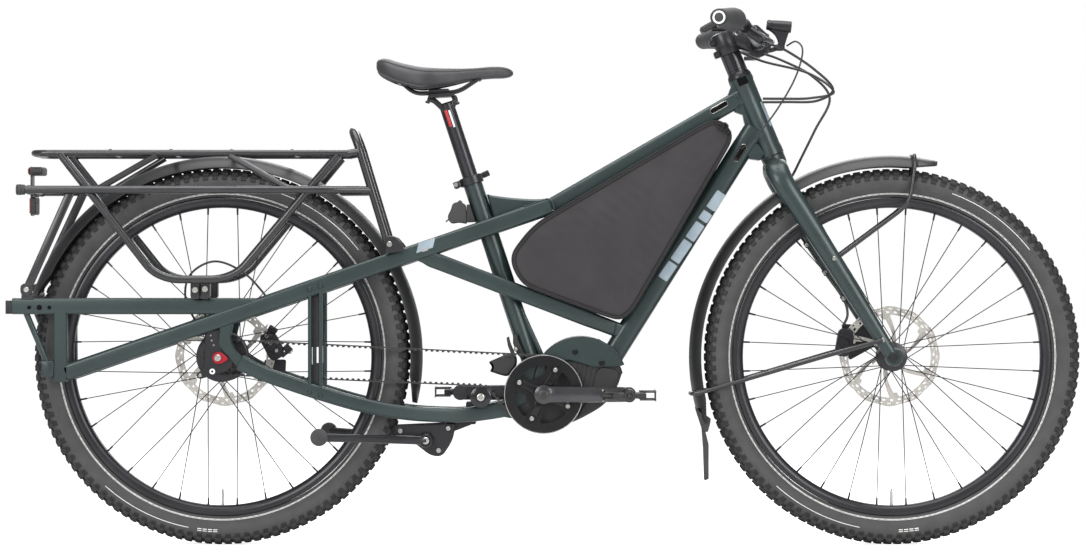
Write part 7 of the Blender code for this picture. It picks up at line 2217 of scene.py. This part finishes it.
# %% [markdown]
# ## The rack
#
# The rack is welded from bent aluminium tube and powder coated black. A hoop at the front stands beside
# the rails, the deck runs back from it, and lower rails with looped braces hang panniers. Each tube is a
# sweep with its bends rounded, and where one meets another it ends inside the other's wall.

# %% Rack tubes
RACK_TUBE, DECK_TUBE = 0.008, 0.0062
deck_loop = bent([
    (-0.39, 0.095, 0.779), (-1.0125, 0.095, 0.779), (-1.0125, -0.095, 0.779), (-0.39, -0.095, 0.779)
], 0.03, 8)
hoop_half = [(-0.308, 0.077, 0.59), (-0.37, 0.083, 0.795), (-0.38, 0.07, 0.82), (-0.381, 0.045, 0.824)]
hoop_path = bent(np.concatenate([hoop_half, (np.array(hoop_half) * (1, -1, 1))[::-1]]), 0.03, 9)
deck_parts = [tube(deck_loop, DECK_TUBE, Z, 20), tube(hoop_path, 0.0085, Y, 20, edge=0.0015)]
saddle_joint = [(0.0046, 0.001), (0.0062, 0.0014), (0.0066, 0.004), (0.0056, 0.0062), (0.0046, 0.0062)]
for x in (-0.5, -0.62, -0.74, -0.86):
    deck_parts.append(rod((x, -0.09, 0.781), (x, 0.09, 0.781), 0.005))
    deck_parts += both([lathe(saddle_joint, (x, 0.089, 0.7808), -Y, 20)])
deck_parts += both([rod((-0.393, 0.095, 0.779), (-0.369, 0.085, 0.783), 0.0062)])
piece("rack_deck_tubes", RACK_BLACK, "frame", deck_parts, ["rack_deck"])

lower = bent([(-1.037, 0.112, 0.706), (-0.43, 0.112, 0.706), (-0.345, 0.08, 0.706)], 0.03, 9)
loop = bent(
    [
        (-0.958, 0.095, 0.7765), (-0.775, 0.115, 0.544), (-0.739, 0.115, 0.529), (-0.641, 0.115, 0.529),
        (-0.603, 0.115, 0.544), (-0.477, 0.108, 0.695), (-0.41, 0.095, 0.7745),
    ],
    [0, 0.04, 0.03, 0.03, 0.04, 0.05, 0],
    9,
)
leg = np.array([(-1.026, 0.09, 0.506), (-1.0205, 0.0915, 0.518), (-0.935, 0.108, 0.705)])
foot = outline_of([(-1.037, 0.497), (-1.013, 0.497), (-1.013, 0.521), (-1.037, 0.521)], 0.0105, 6)
gusset = [(-0.316, 0.615), (-0.297, 0.615), (-0.281, 0.597), (-0.279, 0.586), (-0.316, 0.579)]
side_tubes = [
    tube(lower, RACK_TUBE, Z, 20, edge=0.0015),
    tube(loop, RACK_TUBE, Y, 20),
    rod((-0.768, 0.095, 0.7745), (-0.881, 0.112, 0.708), 0.0063, count=18),
    rod((-0.624, 0.095, 0.7745), (-0.507, 0.112, 0.708), 0.0063, count=18),
    sweep(bent(leg, 0.01), rounded_box(0.007, 0.017, 0.0028, 3), Y, edge=0.001),
    slab(foot, 0.0924, 0.0972),
    block((-1.0235, 0.085, 0.496), (0.024, 0.015, 0.014), 0, 0.003, 0.001),
    slab(outline_of(gusset, 0.005, 4), 0.073, 0.088, 0.0012),
]
side_screws = [
    bolt((-0.308, 0.088, 0.599), Y, 0.0056, 0.003),
    bolt((-1.025, 0.0972, 0.509), Y, 0.0056, 0.0032),
]
for x, z in ((-0.6903, 0.5085), (-0.6709, 0.5103)):
    low, high = x - 0.0094, x + 0.0094
    hanger = outline_of([(low, 0.49), (high, 0.49), (high, 0.527), (low, 0.527)], 0.008, 5)
    side_tubes.append(slab(hanger, 0.08, 0.112, 0.002))
    side_tubes.append(rod((x, 0.096, z), (x, 0.1136, z), 0.0088, 0.008, 24, 0.001))
    side_screws.append(bolt((x, 0.1136, z), Y, 0.0062, 0.0034))
end_cap = [
    (0, -0.006), (0.009, -0.006), (0.0106, -0.0046), (0.0108, -0.003), (0.01, -0.0026),
    (0.01, -0.0014), (0.0108, -0.001), (0.0108, 0.004), (0.01, 0.0044), (0.01, 0.0056),
    (0.0104, 0.006), (0.0098, 0.011), (0, 0.011),
]
caps = [turned(end_cap, (-1.037, 0.112, 0.706), X, 32)]
for name in ("left", "right"):
    piece(f"rack_side_tubes_{name}", RACK_BLACK, "frame", side_tubes, [f"rack_side_{name}"])
    piece(f"rack_screws_{name}", STEEL, "frame", side_screws)
    piece(f"rack_end_cap_{name}", SOFT_RUBBER, "frame", caps)
    side_tubes, side_screws, caps = (
        [mirror(part) for part in made] for made in (side_tubes, side_screws, caps)
    )

# %% [markdown]
# The tail light hangs between the lower rails on a cross bar. Its lamp is a red acrylic lens over small
# ribs, and the reflector below it is a plate with a raised rim and a field of small pyramids, the shape
# that sends light back.

# %% Tail light
tail_x = -1.019


def tail_plate(outline, z, low, high, edge):
    """A plate across the tail at height z, from low to high behind and ahead of the lamp's bar."""
    return slab(np.asarray(outline) + (0, z), tail_x + low, tail_x + high, edge, axis=X, u=Y, v=Z)


carrier = outline_of([(-0.0195, 0.656), (0.0195, 0.656), (0.0195, 0.7545), (-0.0195, 0.7545)], 0.006, 4)
lamp_bar = [
    rod((tail_x, -0.103, 0.706), (tail_x, 0.103, 0.706), 0.0055, count=18),
    tail_plate(carrier, 0, -0.0079, -0.0042, 0.0008),
    *both([rod((tail_x, 0.096, 0.706), (tail_x, 0.1034, 0.706), 0.0095, count=20, edge=0.0012)]),
]
piece("tail_light_carrier", RACK_BLACK, "frame", lamp_bar, ["tail_light"])
LAMP_Z, REFLECTOR_Z = 0.745, 0.676
body = tail_plate(superellipse(0.078, 0.017, 5, 48), LAMP_Z, -0.008, 0.0185, 0.0016)
reflector_back = tail_plate(superellipse(0.06, 0.036, 6, 40), REFLECTOR_Z, -0.007, 0.0045, 0.0014)
piece("tail_light_housing", PLASTIC, "frame", [body, reflector_back])
lens_parts = [tail_plate(superellipse(0.076, 0.0156, 5, 48), LAMP_Z, -0.0108, -0.0078, 0.002)]
for y in np.linspace(-0.03, 0.03, 16):
    lens_parts.append(block((tail_x - 0.0105, y, LAMP_Z), (0.001, 0.0016, 0.011), 0, 0.0004, 0.0003))
piece("tail_light_lens", RED_LENS, "frame", lens_parts)
reflector = [tail_plate(superellipse(0.057, 0.033, 6, 40), REFLECTOR_Z, -0.0085, -0.006, 0.001)]
pyramid = np.array(
    [(0.0014, *corner) for corner in 0.0014 * np.array([(-1, -1), (1, -1), (1, 1), (-1, 1)])] + [(0, 0, 0)]
)
sides = [np.array([[0, 1, 2, 3]]), np.array([[1, 0, 4], [2, 1, 4], [3, 2, 4], [0, 3, 4]])]
for y in np.linspace(-0.0255, 0.0255, 18):
    for z in np.linspace(-0.0135, 0.0135, 10):
        reflector.append(solid(pyramid + (tail_x - 0.0096, y, REFLECTOR_Z + z), sides))
piece("tail_reflector", RED_LENS, "frame", reflector, sharp=20)

# %% [markdown]
# ## Kickstand
#
# The stand is a two-legged cast one. Its legs swing together on a shaft through a housing bolted under
# the chainstays, and in the photograph they are folded back beside the wheel. The housing is an outline
# carried across, hollowed where the tyre passes, so it stays clear of the wheel.

# %% Kickstand
KICK = np.array([-0.237, 0, 0.209])
stand = [rod(KICK - Y * 0.066, KICK + Y * 0.066, 0.0099, count=32)]
path = smooth(
    [KICK + Y * 0.056, (
        -0.242, 0.061, 0.2092
    ), (-0.262, 0.072, 0.2105), (-0.36, 0.1335, 0.2157), (-0.437, 0.181, 0.2195)],
    6,
)
size = np.interp(np.linspace(0, 1, len(path)), [0, 0.15, 0.9, 1], [1.25, 1.08, 0.92, 0.95])
stand += both([
    tube(path, 0.0085, Z, 22, size, edge=0.001),
    rod(KICK + Y * 0.0475, KICK + Y * 0.066, 0.015, 0.014, 32, 0.002),
])
piece("kickstand_legs", ANODISED, "kickstand", stand, ["kickstand"])
foot = [
    (0, -0.011), (0.014, -0.011), (0.0166, -0.0085), (0.017, -0.005), (0.0162, -0.0042),
    (0.0162, -0.002), (0.017, -0.0012), (0.0166, 0.003), (0.013, 0.005), (0, 0.0054),
]
piece("kickstand_feet", SOFT_RUBBER, "kickstand", both([turned(foot, (-0.442, 0.186, 0.22), Y, 36)]))
piece("kickstand_shaft_screws", STEEL, "kickstand", both([bolt(KICK + Y * 0.066, Y, 0.0075, 0.0035)]))

housing_plan = outline_of(
    [(-0.3, 0.238), (-0.2, 0.2425), (
        -0.178, 0.2425
    ), (-0.186, 0.205), (-0.205, 0.176), (-0.228, 0.178), (-0.262, 0.205), (-0.302, 0.218)],
    [0.004, 0.004, 0.006, 0.012, 0.012, 0.012, 0.012, 0.005],
    5,
)
bracket_parts = both([slab(housing_plan, 0.0362, 0.04, 0.0018)])
front_block = outline_of([
    (-0.213, 0.24), (-0.185, 0.24), (-0.19, 0.206), (-0.207, 0.179), (-0.224, 0.181), (-0.226, 0.2)
], 0.006, 5)
arm = outline_of([(-0.205, 0.2395), (-0.15, 0.2625), (-0.1455, 0.24), (-0.19, 0.223)], 0.004, 4)
head = outline_of([(-0.158, 0.285), (-0.138, 0.285), (-0.138, 0.24), (-0.158, 0.24)], 0.004, 4)
bracket_parts += [
    slab(front_block, -0.0366, 0.0366, 0.0014),
    slab(arm, -0.0238, 0.0238, 0.0016),
    slab(head, -0.0218, 0.0218, 0.0016),
    lathe(hoop(0.0107, 0.0162, 0.0465, 0.0012, 0.0015), KICK, Y, 40),
]
piece("kickstand_housing", ANODISED, "frame", bracket_parts, ["kickstand_bracket"])
screws = [
    bolt((x, 0.04, z), Y, 0.0052, 0.0036) for x, z in ((-0.288, 0.228), (-0.193, 0.233), (-0.212, 0.189))
]
piece("kickstand_housing_screws", STEEL, "frame", both(screws))

# %% [markdown]
# ## Hoses and cables
#
# Each free hose or cable is a round section carried along a smooth curve through the points that its
# route was set out with. Two brake hoses, the control cable and the headlight's wire leave the
# handlebar, and three of them go back into the frame; those three are left on no body. The hub's
# cable stays on the frame.

# %% Cords
def cord(name, points, radius, node, body, blend=None, material=HOSE_SKIN):
    """A free round cord along a smooth curve."""
    path = smooth(points, 10)
    made = piece(name, material, body, [tube(path, radius, Y, 12, edge=0.0003)], [node], 60)
    if blend:
        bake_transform(made)
    return made


HOSE = 0.0026
barb_left, barb_right = (0.4415, 0.1525, 0.9905), (0.4415, -0.1525, 0.9905)
front_route = [
    barb_left, (0.478, 0.118, 0.975), (0.54, 0.105, 0.942), (0.576, 0.095, 0.895), (0.545, 0.084, 0.83),
    (0.508, 0.081, 0.755), (0.483, 0.082, 0.7), (0.496, 0.074, 0.648), (0.5265, 0.06, 0.599),
    (0.5635, 0.0575, 0.543), (0.6, 0.054, 0.4905), (0.6085, 0.048, 0.459), (0.599, 0.044, 0.4345),
]
rear_route = [
    barb_right, (0.474, -0.122, 0.98), (0.53, -0.1, 0.945), (0.57, -0.078, 0.906),
    (0.54, -0.05, 0.884), (0.48, -0.022, 0.883), (0.4344, -0.014, 0.883),
]
control_route = [
    (0.382, 0.142, 0.999), (0.44, 0.11, 0.972), (0.53, 0.06, 0.945), (0.578, 0.01, 0.905),
    (0.53, -0.018, 0.891), (0.475, -0.012, 0.89), (0.4354, -0.004, 0.8905),
]
lamp_route = [
    (0.483, -0.004, 0.996), (0.5, -0.018, 1.004), (0.512, -0.036, 0.99), (0.508, -0.046, 0.96),
    (0.49, -0.052, 0.915), (0.455, -0.052, 0.858), (0.42, -0.046, 0.815), (0.39, -0.0275, 0.788),
]
hub_route = [
    (-0.545, -0.0677, 0.4836), (-0.545, -0.061, 0.4836), (-0.548, -0.054, 0.488),
    (-0.596, -0.048, 0.54), (-0.655, -0.05, 0.565), (-0.704, -0.052, 0.54),
    (-0.714, -0.054, 0.49), (-0.685, -0.057, 0.435), (-0.652, -0.062, 0.415),
    (-0.648, -0.068, 0.411), (-0.648, -0.0738, 0.411),
]
rear_blend = ("steering", "frame", (0.56, -0.09, 0.928), (0.45, -0.016, 0.883))
control_blend = ("steering", "frame", (0.56, 0.03, 0.925), (0.45, -0.008, 0.89))
lamp_blend = ("steering", "frame", (0.508, -0.046, 0.96), (0.4, -0.034, 0.797))
cord("front_brake_hose", front_route, HOSE, "front_hose", "steering")
cord("rear_brake_hose", rear_route, HOSE, "rear_hose", None, rear_blend)
cord("bar_control_cable", control_route, HOSE, "control_cable", None, control_blend)
cord("headlight_wire", lamp_route, 0.0018, "light_cable", None, lamp_blend)
cord("hub_wire", hub_route, 0.0022, "hub_cable", "frame")
